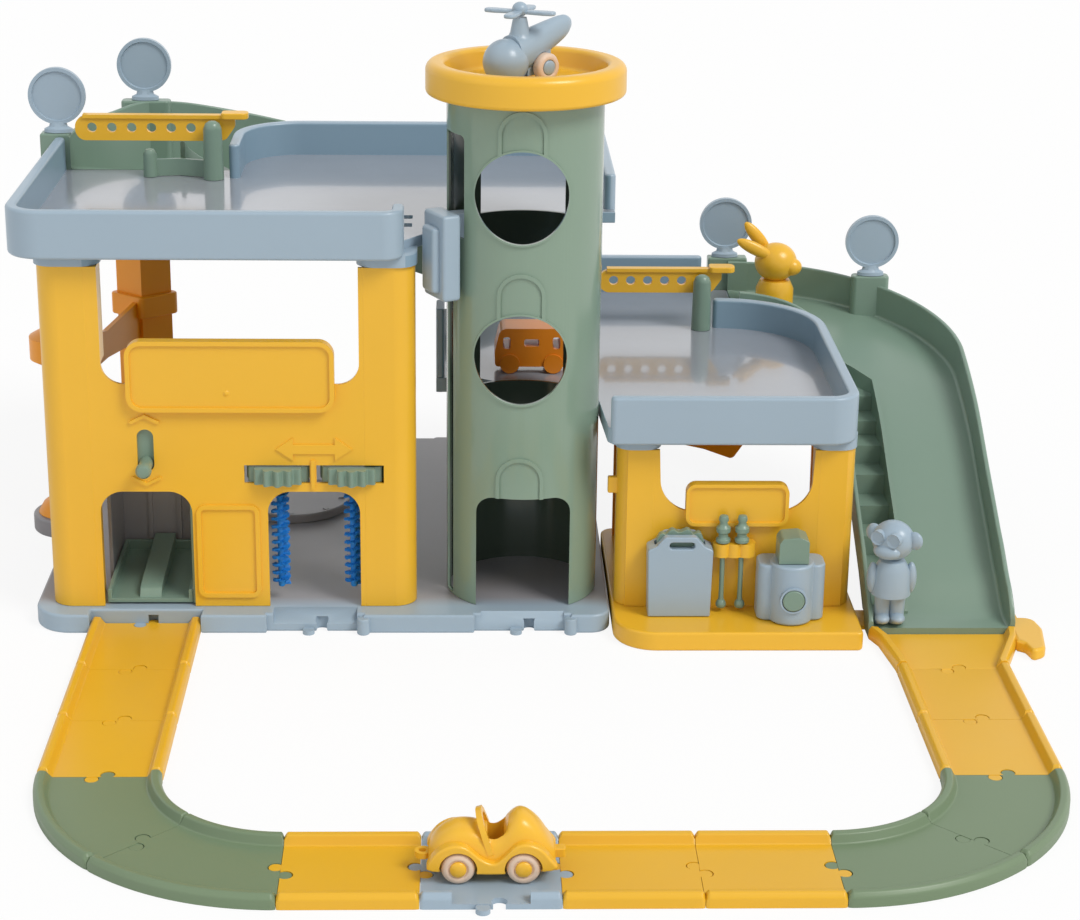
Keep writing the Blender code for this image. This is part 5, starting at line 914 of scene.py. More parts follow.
def bristle_tree():
    """Strands that stand out from a spindle along a winding line."""
    tree = bpy.data.node_groups.new("bristle_rows", "GeometryNodeTree")
    face = tree.interface
    face.new_socket("Core", in_out="INPUT", socket_type="NodeSocketGeometry")
    for label, kind in (
        ("Strands", "NodeSocketInt"),
        ("Turns", "NodeSocketFloat"),
        ("Low", "NodeSocketFloat"),
        ("Height", "NodeSocketFloat"),
        ("Core radius", "NodeSocketFloat"),
        ("Strand length", "NodeSocketFloat"),
        ("Strand radius", "NodeSocketFloat"),
        ("Seed", "NodeSocketInt"),
        ("Plastic", "NodeSocketMaterial"),
    ):
        face.new_socket(label, in_out="INPUT", socket_type=kind)
    face.new_socket("Brush", in_out="OUTPUT", socket_type="NodeSocketGeometry")
    nodes, links = tree.nodes, tree.links
    given = nodes.new("NodeGroupInput").outputs

    def put(kind, values, output=0, **settings):
        made = nodes.new(kind)
        for key, value in settings.items():
            setattr(made, key, value)
        for key, value in values.items():
            if isinstance(value, bpy.types.NodeSocket):
                links.new(value, made.inputs[key])
            else:
                made.inputs[key].default_value = value
        return made.outputs[output]

    def sums(operation, first, second):
        return put("ShaderNodeMath", {0: first, 1: second}, operation=operation)

    index = put("GeometryNodeInputIndex", {})
    share = sums("DIVIDE", index, given["Strands"])
    angle = sums("MULTIPLY", sums("MULTIPLY", share, given["Turns"]), 2 * math.pi)

    def varied(low, high, seed):
        return put("FunctionNodeRandomValue", {2: low, 3: high, "ID": index, "Seed": seed}, 1)

    jitter = varied(-0.0006, 0.0006, given["Seed"])
    lift = sums("ADD", sums("ADD", given["Low"], sums("MULTIPLY", share, given["Height"])), jitter)
    sway = varied(-0.14, 0.14, sums("ADD", given["Seed"], 1))
    x, y = sums("COSINE", angle, 0.0), sums("SINE", angle, 0.0)
    out = put("ShaderNodeCombineXYZ", {0: x, 1: y, 2: sway})
    foot_x, foot_y = (sums("MULTIPLY", part, given["Core radius"]) for part in (x, y))
    on_core = put("ShaderNodeCombineXYZ", {0: foot_x, 1: foot_y, 2: lift})
    points = put("GeometryNodePoints", {"Count": given["Strands"], "Position": on_core})
    tip = sums("MULTIPLY", given["Strand radius"], 0.55)
    cone = {"Vertices": 5, "Radius Bottom": given["Strand radius"], "Radius Top": tip}
    strand = put("GeometryNodeMeshCone", {**cone, "Depth": given["Strand length"]})
    aim = put("FunctionNodeAlignRotationToVector", {"Vector": out}, axis="Z")
    reach = varied(0.88, 1.0, sums("ADD", given["Seed"], 2))
    size = put("ShaderNodeCombineXYZ", {0: 1.0, 1: 1.0, 2: reach})
    places = {"Points": points, "Instance": strand, "Rotation": aim, "Scale": size}
    stood = put("GeometryNodeInstanceOnPoints", places)
    joined = nodes.new("GeometryNodeJoinGeometry")
    links.new(put("GeometryNodeRealizeInstances", {"Geometry": stood}), joined.inputs[0])
    links.new(given["Core"], joined.inputs[0])
    done = put("GeometryNodeSetMaterial", {"Geometry": joined.outputs[0], "Material": given["Plastic"]})
    links.new(done, nodes.new("NodeGroupOutput").inputs[0])
    return tree


def grown(obj, tree, sizes):
    """The object with a node tree's result as its plain mesh."""
    step = obj.modifiers.new("rows", "NODES")
    step.node_group = tree
    sockets = {item.name: item.identifier for item in tree.interface.items_tree if item.in_out == "INPUT"}
    for label, value in sizes.items():
        step[sockets[label]] = value
    return settle(obj)


def brush(name, x, y):
    """One car wash brush: a spindle with bristles in a winding row."""
    low, high = BRUSH_Z
    thin = BRUSH_CORE_R * 0.8
    profile = [(0.0, low), (thin, low), (BRUSH_CORE_R, low + 1.0), (BRUSH_CORE_R, high), (0.0, high)]
    core = turned(profile, 5)
    core.name = name
    sizes = {
        "Strands": BRUSH_STRANDS,
        "Turns": (high - low - 3.0) / BRUSH_PITCH,
        "Low": (low + 1.6) * UNIT,
        "Height": (high - low - 3.2) * UNIT,
        "Core radius": (BRUSH_CORE_R - 0.4) * UNIT,
        "Strand length": (BRUSH_R - BRUSH_CORE_R + 0.5) * UNIT,
        "Strand radius": STRAND_R * UNIT,
        "Seed": BRUSH_SEED,
        "Plastic": MATERIALS["brush_blue"],
    }
    grown(core, bristle_tree(), sizes)
    return moved(core, shift(x, y, 0.0))


def rounded_hull(rings):
    """More sections and more points, on smooth curves through the given ones."""
    count = len(rings[0])
    tracks = [flowing([ring[k] for ring in rings], 3, False) for k in range(count)]
    return [[track[k] for track in tracks] for k in range(len(tracks[0]))]


def road_end(x, y, angle):
    """The nub and the notch cutter of one road end that faces the given way."""
    nub = slab(placed(lobe(NUB_RADIUS, NUB_NECK), x, y, angle), 0.0, ROAD_FLOOR - FIT)
    wider = lobe(NUB_RADIUS + NUB_PLAY, NUB_NECK + NUB_PLAY)
    notch = slab(placed(wider, x, y, angle + HALF_TURN), -ROAD_FLOOR, RAIL_TOP)
    return nub, notch


def road_section(full):
    """A road piece's cross-section, with its rails at a share of their height."""
    half, draw = ROAD_WIDTH / 2, (1.0 - full) * RAIL_DRAW
    right = [(share * half - draw, rise * RAIL_TOP * full, soft * full) for share, rise, soft in RAIL]
    right[-1] = (right[-1][0], ROAD_FLOOR, right[-1][2])
    return rounded(right + [(-u, v, soft) for u, v, soft in right[::-1]], 1)


def road_stations(length):
    """(Distance, share of the rails' height) along one piece, whose rails round off at both ends."""
    near = []
    for k in range(5):
        lost = RAIL_DROP * (1.0 - math.sin(math.radians(QUARTER_TURN * k / 4)))
        near.append((ROAD_END_GAP + RAIL_FADE * k / 4, 1.0 - lost))
    return near + [(length - at, full) for at, full in near[::-1]]


def straight_road():
    """A straight piece along +X from the origin, one step of the grid long."""
    made = loft([[(x, u, v) for u, v in road_section(full)] for x, full in road_stations(ROAD_GRID)])
    nub_a, notch_a = road_end(ROAD_GRID - ROAD_END_GAP, 0.0, 0.0)
    nub_b, notch_b = road_end(ROAD_END_GAP, 0.0, HALF_TURN)
    join(made, nub_a, nub_b)
    return cut(made, notch_a, notch_b)


def curved_road():
    """A curve about the origin that starts on +X and turns counterclockwise."""
    slip = math.degrees(ROAD_END_GAP / ROAD_RADIUS)
    rings = []
    steps = 4 * FINE
    length = math.radians(CURVE_TURN) * ROAD_RADIUS
    marks = road_stations(length)
    inner = [(length * k / steps, 1.0) for k in range(1, steps)]
    for at, full in marks[:5] + inner + marks[5:]:
        c, s = math.cos(at / ROAD_RADIUS), math.sin(at / ROAD_RADIUS)
        rings.append([((ROAD_RADIUS + u) * c, (ROAD_RADIUS + u) * s, v) for u, v in road_section(full)])
    made = loft(rings)
    ends = []
    for angle, heading in ((CURVE_TURN - slip, QUARTER_TURN + CURVE_TURN), (slip, -QUARTER_TURN)):
        a = math.radians(angle)
        ends.append(road_end(ROAD_RADIUS * math.cos(a), ROAD_RADIUS * math.sin(a), heading))
    nubs, notches = zip(*ends)
    join(made, *nubs)
    return cut(made, *notches)


def build_roads():
    """The road loop: straights, curves and the crossing in its front run."""
    run_y = CURVE_LEFT[1] - ROAD_RADIUS
    straight = soften(straight_road(), edge=ROAD_EDGE)
    places = {}
    for number, k in ((1, 0), (2, 2), (3, 3)):
        places[f"road_straight_{number}"] = shift(CURVE_LEFT[0] + ROAD_GRID * k, run_y, 0.0)
    sides = (
        ("left", CURVE_LEFT[0] - ROAD_RADIUS, CURVE_LEFT[1], 3),
        ("right", CURVE_RIGHT[0] + ROAD_RADIUS, CURVE_RIGHT[1], 2),
    )
    for side, x, y, count in sides:
        for k in range(count):
            places[f"road_{side}_{k + 1}"] = shift(x, y + ROAD_GRID * k, 0.0) @ turn(QUARTER_TURN)
    for name, place in places.items():
        # the roads' plastic is the yellow with painted shade
        copied(name, straight, place, "yellow_painted_shade")
    bpy.data.objects.remove(straight)
    curve = soften(curved_road(), edge=ROAD_EDGE)
    for k, centre in enumerate((CURVE_LEFT, CURVE_LEFT, CURVE_RIGHT, CURVE_RIGHT)):
        copied(f"road_curve_{k + 1}", curve, shift(*centre, 0.0) @ turn(CURVE_TURN * (k + 4)), "road_green")
    bpy.data.objects.remove(curve)
    crossing = straight_road()
    mid, edge = ROAD_GRID / 2, -ROAD_WIDTH / 2
    opening = ROAD_GRID - 4 * RAIL_WIDTH
    way = (mid - opening / 2, mid + opening / 2)
    for side in (-1, 1):
        reach = sorted((side * (-edge - 1.5 * RAIL_WIDTH), side * (-edge + RAIL_WIDTH)))
        cut(crossing, box(way, reach, (ROAD_FLOOR, 2 * RAIL_TOP)))
    nub, notch = road_end(mid, edge, -QUARTER_TURN)
    join(crossing, nub)
    cut(crossing, notch)
    moved(crossing, shift(CURVE_LEFT[0] + ROAD_GRID, run_y, 0.0))
    node("road_crossing", crossing, "blue_grey", edge=ROAD_EDGE)


def build_base():
    """The garage's floor plate, open below, with three road sockets, a foot lobe and a lug."""
    left, right = BASE_X
    front, rear = BASE_Y
    outline = [(left, front, BASE_CORNER)]
    for x, depth, half in zip(SOCKETS, SOCKET_DEPTH, SOCKET_HALF):
        outline += [(x - half, front, 0.0), (x - half, front + depth, 0.0)]
        outline += [(x + half, front + depth, 0.0), (x + half, front, 0.0)]
    outline += [(right, front, FRONT_LOBE_R), (right, rear, BASE_CORNER), (left, rear, BASE_CORNER)]
    base = slab(rounded(outline, 4), 0.0, BASE_TOP, BASE_SOFT)
    lobe_x, lobe_y, lobe_r = FOOT_LOBE
    lug_x, lug_y, lug_r = REAR_LUG
    foot = slab(circle(lobe_x, lobe_y, lobe_r, 16), 0.0, BASE_TOP, BASE_SOFT)
    lug = rect((lug_x - lug_r, lug_x + lug_r), (lug_y - lug_r, lug_y + lug_r), lug_r / 2)
    join(base, foot, slab(lug, 0.0, BASE_TOP - BASE_SOFT))
    pockets(base, POCKETS, BASE_CORNER / 2, -BASE_TOP, BASE_TOP - BASE_SKIN)
    for x, depth, run, half in zip(SOCKETS, SOCKET_DEPTH, SOCKET_RUN, SOCKET_HALF):
        nub, notch = road_end(x, front + depth, -QUARTER_TURN)
        if run:
            half -= RAIL_WIDTH / 2
            over = 2 * BASE_TOP
            drop = (BASE_TOP - ROAD_FLOOR) / run
            ring = [(front - over, ROAD_FLOOR), (front, ROAD_FLOOR)]
            ring += [(front + over, ROAD_FLOOR + over * drop), (front - over, ROAD_FLOOR + over * drop)]
            cut(base, loft([[(x + side, y, z) for y, z in ring] for side in (-half, half)]))
            corner = circle(x + half + RAIL_WIDTH / 2, front, RAIL_WIDTH / 2, 8)
            join(base, slab(corner, 0.0, BASE_TOP - BASE_SOFT, 1.0))
        join(base, nub)
        cut(base, notch)
    node("garage_base", base, "base")


def build_turntable():
    """The disc on the garage's floor, with raised marks inside its rim."""
    x, y = TURN_AT
    low, high = ON_BASE, TURN_TOP
    rim, bed = RIM_WIDTH / 3, TURN_TOP - EMBOSS
    profile = [(0.0, low), (TURN_R, low), (TURN_R, high - 0.8), (TURN_R - 0.8, high)]
    profile += [(TURN_R - rim, high), (TURN_R - rim - 0.6, bed), (0.0, bed)]
    disc = turned(profile, 26, (x, y, 0.0))
    marks = []
    count = 8
    for k in range(count):
        inner, outer = TURN_R - 3.4 * rim, TURN_R - 1.7 * rim
        mark = box((inner, outer), (-EMBOSS, EMBOSS), (high - 2 * EMBOSS, high - EMBOSS / 3))
        marks.append(moved(mark, shift(x, y, 0.0) @ turn(FULL_TURN * k / count)))
    join(disc, *marks)
    node("turntable", disc, "base")


def chevron(x, z, width, rise):
    """An embossed arrow head; a negative rise points down."""
    path = [(x - width / 2, z), (x, z + rise), (x + width / 2, z)]
    return slab(band(path, EMBOSS / 2 + FIT, False), WALL_Y - EMBOSS, WALL_Y + EMBOSS, upright=True)


def frame_ring(x, z, radius, thick, front, rear):
    """A standing rectangular frame with round corners."""
    inner = rect((x[0] + thick, x[1] - thick), (z[0] + thick, z[1] - thick), max(radius - thick, 1.0))
    return slab(rect(x, z, radius), front, rear, 0.0, (inner,), upright=True)


def board(wall, x, z, corner, rim):
    """A raised board with a rim, joined to a standing wall."""
    join(wall, slab(rect(x, z, corner, 3), BOARD_FRONT, WALL_Y + WALL_SKIN + FIT / 2, upright=True))
    join(wall, frame_ring(x, z, corner, rim, BOARD_FRONT - EMBOSS, BOARD_FRONT + EMBOSS))


def hollow_columns(wall, ends, corner, low, high, steps):
    """Square tubes at the ends of a standing wall, round on the outer side."""
    front, rear = WALL_Y - FIT / 3, WALL_Y + COLUMN_DEPTH
    for outer, inner in ends:
        near, far = (corner, 1.0) if outer < inner else (1.0, corner)
        rings = []
        for skin, count in zip((0.0, TUBE_WALL), steps):
            x0, x1 = min(outer, inner) + skin, max(outer, inner) - skin
            y0, y1 = front + skin, rear - skin
            soft = [max(turn_r - skin, 1.0) for turn_r in (near, far)]
            ring = [(x0, y0, soft[0]), (x1, y0, soft[1]), (x1, y1, soft[1]), (x0, y1, soft[0])]
            rings.append(rounded(ring, count))
        join(wall, slab(rings[0], low, high, 0.0, rings[1:]))


def collars(deck, columns, corner, under):
    """Flat rings under a deck that hold the heads of its columns."""
    for outer, inner in columns:
        x = min(outer, inner) - COLLAR_GROW, max(outer, inner) + COLLAR_GROW
        y = WALL_Y - COLLAR_GROW, WALL_Y + COLUMN_DEPTH + COLLAR_GROW
        join(deck, slab(rect(x, y, corner, 3), under - COLLAR_DEPTH, under + COLLAR_OVERLAP))


def pockets(piece, places, corner, low, high):
    """Hollows with round corners, given as (left, right, front, rear)."""
    for left, right, front, rear in places:
        cut(piece, slab(rect((left, right), (front, rear), corner), low, high))


def arch(x, low):
    """The corners of a doorway with a rounded head, from left to right."""
    return [(x[0], low, 0.0), (x[0], ARCH_TOP, ARCH_ROUND), (x[1], ARCH_TOP, ARCH_ROUND), (x[1], low, 0.0)]


def build_front_wall():
    """The yellow front: two columns, arches, board, panel, arrows and slots for the lever and the wheels."""
    low, high = ON_BASE, TOP_UNDER - COLLAR_DEPTH - FIT
    left, right = WALL_X
    corner = COLUMN_ROUND + 1.5
    edge = corner + 0.5
    outline = [(left + edge, low, 0.0), *arch(ARCH_LEFT, low), *arch(ARCH_RIGHT, low)]
    outline += [(right - edge, low, 0.0), (right - edge, high, 0.0), (COLUMN_RIGHT_IN, high, 0.0)]
    outline += [(COLUMN_RIGHT_IN, SILL_Z, SILL_ROUND), (COLUMN_LEFT_IN, SILL_Z, SILL_ROUND)]
    outline += [(COLUMN_LEFT_IN, high, 0.0), (left + edge, high, 0.0)]
    half = LEVER_WIDTH / 2
    holes = [rect((LEVER_X - half, LEVER_X + half), LEVER_Z, half - 0.05, 4)]
    wall = slab(rounded(outline, 4), WALL_Y, WALL_Y + WALL_SKIN, 0.0, holes, upright=True)
    ends = ((left, TUBE_LEFT_IN), (right, TUBE_RIGHT_IN))
    hollow_columns(wall, ends, corner, low, high, (4 * FINE, 2 * FINE))
    inset = FIT / 2
    rear = WALL_Y + COLUMN_DEPTH - COLUMN_ROUND
    x_in, filled = COLUMN_LEFT_IN - inset, (SILL_Z + SILL_ROUND, high - inset)
    join(
        wall,
        box((COLUMN_LEFT_IN - WALL_SKIN, x_in), (WALL_Y + inset, rear), filled),
        box((TUBE_LEFT_IN - WALL_SKIN, x_in), (rear - WALL_SKIN, rear), filled),
    )
    raised = (WALL_Y - EMBOSS, WALL_Y + EMBOSS)
    board(wall, BOARD_X, BOARD_Z, BOARD_ROUND, BOARD_RIM)
    join(wall, frame_ring(PANEL_X, PANEL_Z, PANEL_ROUND, BOARD_RIM, *raised))
    x0, x1 = ARROW_X
    z0, z1 = ARROW_Z
    mid = (z0 + z1) / 2
    neck, head = (z1 - z0) / 5, 12.0
    arrow = [(x0, mid), (x0 + head, z1), (x0 + head, mid + neck), (x1 - head, mid + neck), (x1 - head, z1)]
    arrow += [(x1, mid), (x1 - head, z0), (x1 - head, mid - neck), (x0 + head, mid - neck), (x0 + head, z0)]
    join(wall, slab(arrow, WALL_Y - EMBOSS * 0.7, WALL_Y + EMBOSS, upright=True))
    marks = ((LEVER_Z[1] + 5.0, 5.0), (LEVER_Z[0] - 4.0, -5.0))
    join(wall, *[chevron(LEVER_X, z, 20.0, rise) for z, rise in marks])
    rib = (WHEEL_SLOTS[0][1] + 1.0, WHEEL_SLOTS[1][0] - 1.0)
    join(wall, box(rib, raised, (WHEEL_SLOT_Z[0] - 4.0, WHEEL_SLOT_Z[1] + 4.0)))
    for slot in WHEEL_SLOTS:
        cut(wall, box(slot, (WALL_Y - BASE_TOP, WALL_Y + COLUMN_DEPTH + BASE_SOFT), WHEEL_SLOT_Z))
    mark = turned([(0.0, 0.0), (2.1, 0.0), (1.7, 0.5), (0.0, 0.6)], 8)
    moved(mark, shift(GATE_MARK[0], BOARD_FRONT, GATE_MARK[1]) @ turn(QUARTER_TURN, "X"))
    extra("board_gate_mark", mark, "front_wall", "yellow", 0.0)
    node("front_wall", wall, "yellow", smooth=30.0, edge=0.65)


def build_wash():
    """The two scalloped thumbwheels of the car wash, each with its brush below."""
    low, high = WASH_WHEEL_Z
    for name, x in zip(("left", "right"), WASH_X):
        ring = []
        per = 4 * FINE
        for k in range(WASH_LOBES * per):
            a = FULL_TURN * k / (WASH_LOBES * per)
            swing = 0.5 + 0.5 * math.cos(math.radians(a * WASH_LOBES))
            radius = WASH_WHEEL_R - 3.4 * (1 - swing) ** 1.2
            spot = math.radians(a)
            ring.append((x + radius * math.cos(spot), WASH_Y + radius * math.sin(spot)))
        wheel = slab(ring, low, high)
        join(wheel, rod(BRUSH_R, BRUSH_Z[1] + FIT, low + 1.0, 10, (x, WASH_Y, 0.0)))
        node(f"wash_wheel_{name}", wheel, "ramp_green")
        dress(brush(f"wash_brush_{name}_finish", x, WASH_Y), f"wash_brush_{name}", "brush_blue")


def build_hoist():
    """The car hoist: a tray with a strap, the lever and peg that raise it, and the channel behind it."""
    x0, x1 = HOIST_X
    y0, y1 = HOIST_Y
    low = ON_BASE + 1.0
    sunk = low + 0.2
    curb, curb_z = 3.0, (sunk, low + 10.0)
    plate = box((x0, x1), (y0, y1), (low, low + 3.0), 0.5)
    middle, half = (x0 + x1) / 2, 7.5
    left, right = middle - half, middle + half
    rise = ((y0 + 2.0, 2.0), (y0 + 5.0, 7.0), (y0 + 12.0, 10.0), ((y0 + y1) / 2, 12.5), (y1 - 1.0, 15.0))
    rings = []
    for y, top in flowing(rise, 4, False):
        rings.append([(left, y, sunk), (right, y, sunk), (right, y, low + top), (left, y, low + top)])
    join(
        plate,
        box((x0, x0 + curb), (y0, y1), curb_z, 0.6),
        box((x1 - curb, x1), (y0, y1), curb_z, 0.6),
        loft(rings),
        box((x0 + 1.0, x1 - 1.0), (y1 - curb - 0.2, y1 - 0.2), curb_z, 0.6),
    )
    node("hoist_platform", plate, "ramp_green")
    front = WALL_Y + WALL_SKIN + FIT
    back = front + 2.2
    arm = x1 + FIT, x1 + 8.0
    lever = box((LEVER_X - 12.0, arm[1]), (front, back), (ARCH_TOP + 2.0, LEVER_Z[1] + 22.0), 0.4)
    join(lever, box(arm, (front + 0.05, back - 0.05), (low, ARCH_TOP + 10.0)))
    join(lever, box(arm, (back - 1.0, back + 12.0), (low, low + 9.0)))
    peg_r = LEVER_WIDTH / 2 - 0.9
    peg_z = LEVER_Z[0] + LEVER_WIDTH / 2
    reach = 16.0
    profile = [(0.0, 0.0), (peg_r, 0.0), (peg_r * 0.92, reach), (peg_r * 1.12, reach + 1.0)]
    profile += [(peg_r * 1.12, reach + 4.0), (peg_r * 0.8, reach + 6.0), (0.0, reach + 6.6)]
    peg = moved(turned(profile, 16), shift(LEVER_X, front + 1.0, peg_z) @ turn(QUARTER_TURN, "X"))
    join(lever, peg)
    node("hoist_lever", lever, "ramp_green")
    back_y, side_z, rib_z = HOIST_GUIDE_Y, (ON_BASE, ARCH_TOP - 6.0), (ON_BASE, ARCH_TOP - 4.0)
    side_out, side_in = 3.6, 0.8
    rib, rib_y = (18.0, 21.0), (back_y - 1.6, back_y + 1.0)
    guide = box((x0 - 1.0, x1 + 1.0), (back_y, back_y + 3.0), (ON_BASE, ARCH_TOP), 0.5)
    join(
        guide,
        box((x0 - side_out, x0 - side_in), (0.0, back_y + 2.8), side_z, 0.5),
        box((x1 + side_in, x1 + side_out), (back_y - 20.0, back_y + 2.8), side_z, 0.5),
        box((x0 + rib[0], x0 + rib[1]), rib_y, rib_z),
        box((x1 - rib[1], x1 - rib[0]), rib_y, rib_z),
    )
    node("hoist_guide", guide, "base")


def build_rear_frame():
    """The yellow frame behind: a round column, a four-sided one and the arched web between them."""
    low = ON_BASE
    x_a, y_a = FOOT_LOBE[:2]
    x_b, y_b = REAR_POST
    top_a = TOP_UNDER - RIM_DROP - FIT
    radius, half = 12.0, 17.0
    outer = 2 * radius
    column = [(0.0, low), (outer, low), (outer - 4.0, low + 7.0), (radius, low + 13.0), (radius, 132.0)]
    column += [(outer, 139.0), (outer, 156.0), (radius, 163.0), (radius, top_a), (0.0, top_a)]
    frame = turned(column, 12, (x_a, y_a, 0.0))
    for wide, deep, soft, z in ((1.3, 1.0, 0.0, (low, 229.2)), (1.75, 1.35, 5.0, (132.0, 150.0))):
        across, back = half * wide, half * deep
        sides = [(x_b - across, y_b), (x_b, y_b - back), (x_b + across, y_b), (x_b, y_b + back)]
        join(frame, slab(rounded([(x, y, soft) for x, y in sides], 3), *z, 1.5 if soft else 0.0))
    reach = math.hypot(x_b - x_a, y_b - y_a)
    heading = math.degrees(math.atan2(y_b - y_a, x_b - x_a))
    bow = [(0.0, 150.0), (0.5, 138.0), (1.0, 148.0), (1.0, 108.0)]
    bow += [(0.8, 114.0), (0.5, 116.0), (0.25, 112.0), (0.0, 98.0)]
    corners = [(reach * share, z, 6.0 if 0.0 < share < 1.0 else 0.0) for share, z in bow]
    web = slab(rounded(corners, 3), -2.0, 2.0, 0.0, upright=True)
    join(frame, moved(web, shift(x_a, y_a, 0.0) @ turn(heading)))
    # its plastic is the yellow with painted bounce light and shade
    node("rear_left_frame", frame, "yellow_painted_bounce")


def build_upper_tray():
    """The upper deck with its rims, collars, pockets and drain slots."""
    left, right = DECK_X
    front, rear = DECK_FRONT, DECK_REAR
    bend = 50.0
    curve_x, curve_y = DECK_GATE_X + bend, rear - bend
    corner = 25.0
    end_x, end_turn = -83.0, 14.0
    clear = TOWER_R + 3.0
    face = [(left, DECK_GATE_Y, 0.0), (left, front, corner), (end_x, front, end_turn), (end_x, -34.0, 5.0)]
    face += [(-clear - 5.0, -4.0, 3.0), (-clear, 2.0, 0.0)]
    outline = rounded(face, 4)[:-1]
    outline += arc(0.0, 0.0, clear, 178.0, 62.0, 7)
    outline += [(right, clear * 0.9), (right, rear)]
    outline += arc(curve_x, curve_y, bend, QUARTER_TURN, HALF_TURN, 6)
    outline += [(DECK_GATE_X, DECK_GATE_Y)]
    deck = slab(outline, TOP_UNDER, TOP_FLOOR, 0.8)
    half = RIM_WIDTH / 2
    inset = half - RIM_DROP
    front_path = [(left + inset, DECK_GATE_Y - half)]
    front_path += arc(left + corner, front + corner, corner - inset, HALF_TURN, HALF_TURN + QUARTER_TURN, 4)
    front_path += arc(end_x - end_turn, front + end_turn, end_turn - inset, -QUARTER_TURN, 0.0, 6)
    front_path += [(end_x - inset, -33.0)]
    gate_path = [(DECK_GATE_X + inset, DECK_GATE_Y - 24.0), (DECK_GATE_X + inset, curve_y)]
    gate_path += arc(curve_x, curve_y, bend - inset, HALF_TURN, QUARTER_TURN, 6)[1:]
    gate_path += [(right - 20.0, rear - inset)]
    gate_path += arc(right - 20.0, rear - 20.0, 20.0 - inset, QUARTER_TURN, 0.0, 3)[1:]
    gate_path += [(right - inset, clear + 6.0)]
    low = TOP_UNDER - RIM_DROP
    rims = [slab(band(front_path, half), low, TOP_RIM, RIM_SOFT)]
    rims.append(slab(band(gate_path, half), low, TOP_RIM + 0.6, RIM_SOFT))
    join(deck, *rims)
    collars(deck, ((WALL_X[0], COLUMN_LEFT_IN), (WALL_X[1], COLUMN_RIGHT_IN)), COLUMN_ROUND, TOP_UNDER)
    pockets(deck, DECK_POCKETS, 10.0, TOP_UNDER - 3.0, TOP_UNDER + 3.5)
    slot_x, slot_places, slot_run = DECK_SLOTS
    for y in slot_places:
        cut(deck, slab(rect(slot_x, (y, y + slot_run), 1.2, 1), TOP_UNDER - BASE_TOP, TOP_FLOOR + BASE_TOP))
    node("upper_tray", deck, "tray")


def barrier(prefix, x, y, floor, span, holes, sway):
    """A round-topped post and the drilled beam that tips on it."""
    post_r = 7.6
    pin_r = 2.4
    base = floor + FIT
    top = floor + 44.0
    profile = [(0.0, base), (post_r, base), (post_r * 0.9, top - 6.0), (post_r * 0.7, top - 2.0)]
    profile += [(post_r * 0.35, top - 0.3), (0.0, top)]
    post = turned(profile, 14, (x, y, 0.0))
    pin_z = floor + 36.0
    front = y + post_r + 1.4 + FIT
    rear = front - FIT + 4.6
    pin = rod(pin_r, 0.0, rear - y + 1.5, 8)
    join(post, moved(pin, shift(x, y, pin_z) @ turn(-QUARTER_TURN, "X")))
    if sway:
        stop_x, stop_y = x - sway, y + 8.0
        dome = [(0.0, base), (5.4, base), (5.0, floor + 17.0), (3.2, floor + 20.5), (0.0, floor + 21.5)]
        path = [(stop_x, stop_y), (stop_x + sway * 0.45, y + 12.0), (x, y + 4.0)]
        fence = slab(band(path, 1.6, False), base + FIT / 3, floor + 13.0)
        join(post, turned(dome, 10, (stop_x, stop_y, 0.0)), fence)
    node(f"{prefix}_barrier_post", post, "ramp_green")
    height = 9.2
    tip, tail = x - span, x + 16.0
    z0, z1 = pin_z - height, pin_z + height
    corners = [(tip, z0, height * 0.9), (x + 3.0, z0, 0.0), (x + 9.0, z0 + 1.0, 5.0)]
    corners += [(tail, z0 + 11.0, 3.0), (tail, z1 - 1.0, 1.0), (tip, z1, height * 0.9)]
    pitch = span / (holes + 1.0)
    rings = [circle(tip + pitch * (k + 0.85), pin_z + 0.5, 3.6, 8) for k in range(holes)]
    rings.append(circle(x, pin_z, pin_r + 0.35, 8))
    beam = slab(rounded(corners, 3), front, rear, 0.0, rings, upright=True)
    join(beam, slab(rect((tip + 6.0, tail - 2.0), (front - 1.5, rear + 1.5)), z1 - 1.6, z1 + 1.2))
    near, far, y0, y1 = x + 6.0, x + 26.0, front - 5.0, rear + 4.0
    paddle = rounded([(near, y0, 3.0), (far, y0, 5.0), (far, y1, 5.0), (near, y1, 3.0)], 3)
    join(beam, slab(paddle, z1 - 1.4, z1 + 3.2, 0.8))
    node(f"{prefix}_barrier_arm", beam, "yellow")


def sign(name, x, y, foot):
    """A round sign on a collared foot; it faces the front."""
    radius, thick, lip = 21.4, 5.0, 2.6
    centre = foot + radius + 6.4
    face, bed = thick / 2, thick / 2 - 1.5
    profile = [(0.0, -face), (radius, -face), (radius, face), (radius - lip, face)]
    disc = turned(profile + [(radius - lip - 0.6, bed), (0.0, bed)], 18)
    moved(disc, shift(x, y, centre) @ turn(QUARTER_TURN, "X"))
    base, neck = foot + FIT, foot + FIT + 8.0
    flare = [(0.0, base), (11.0, base), (10.6, base + 2.6), (7.0, base + 4.4), (6.0, neck), (0.0, neck)]
    stand = turned(flare, 10)
    join(disc, moved(stand, shift(x, y, 0.0) @ Matrix.Diagonal((1.0, 0.55, 1.0, 1.0))))
    node(name, disc, "blue_grey")


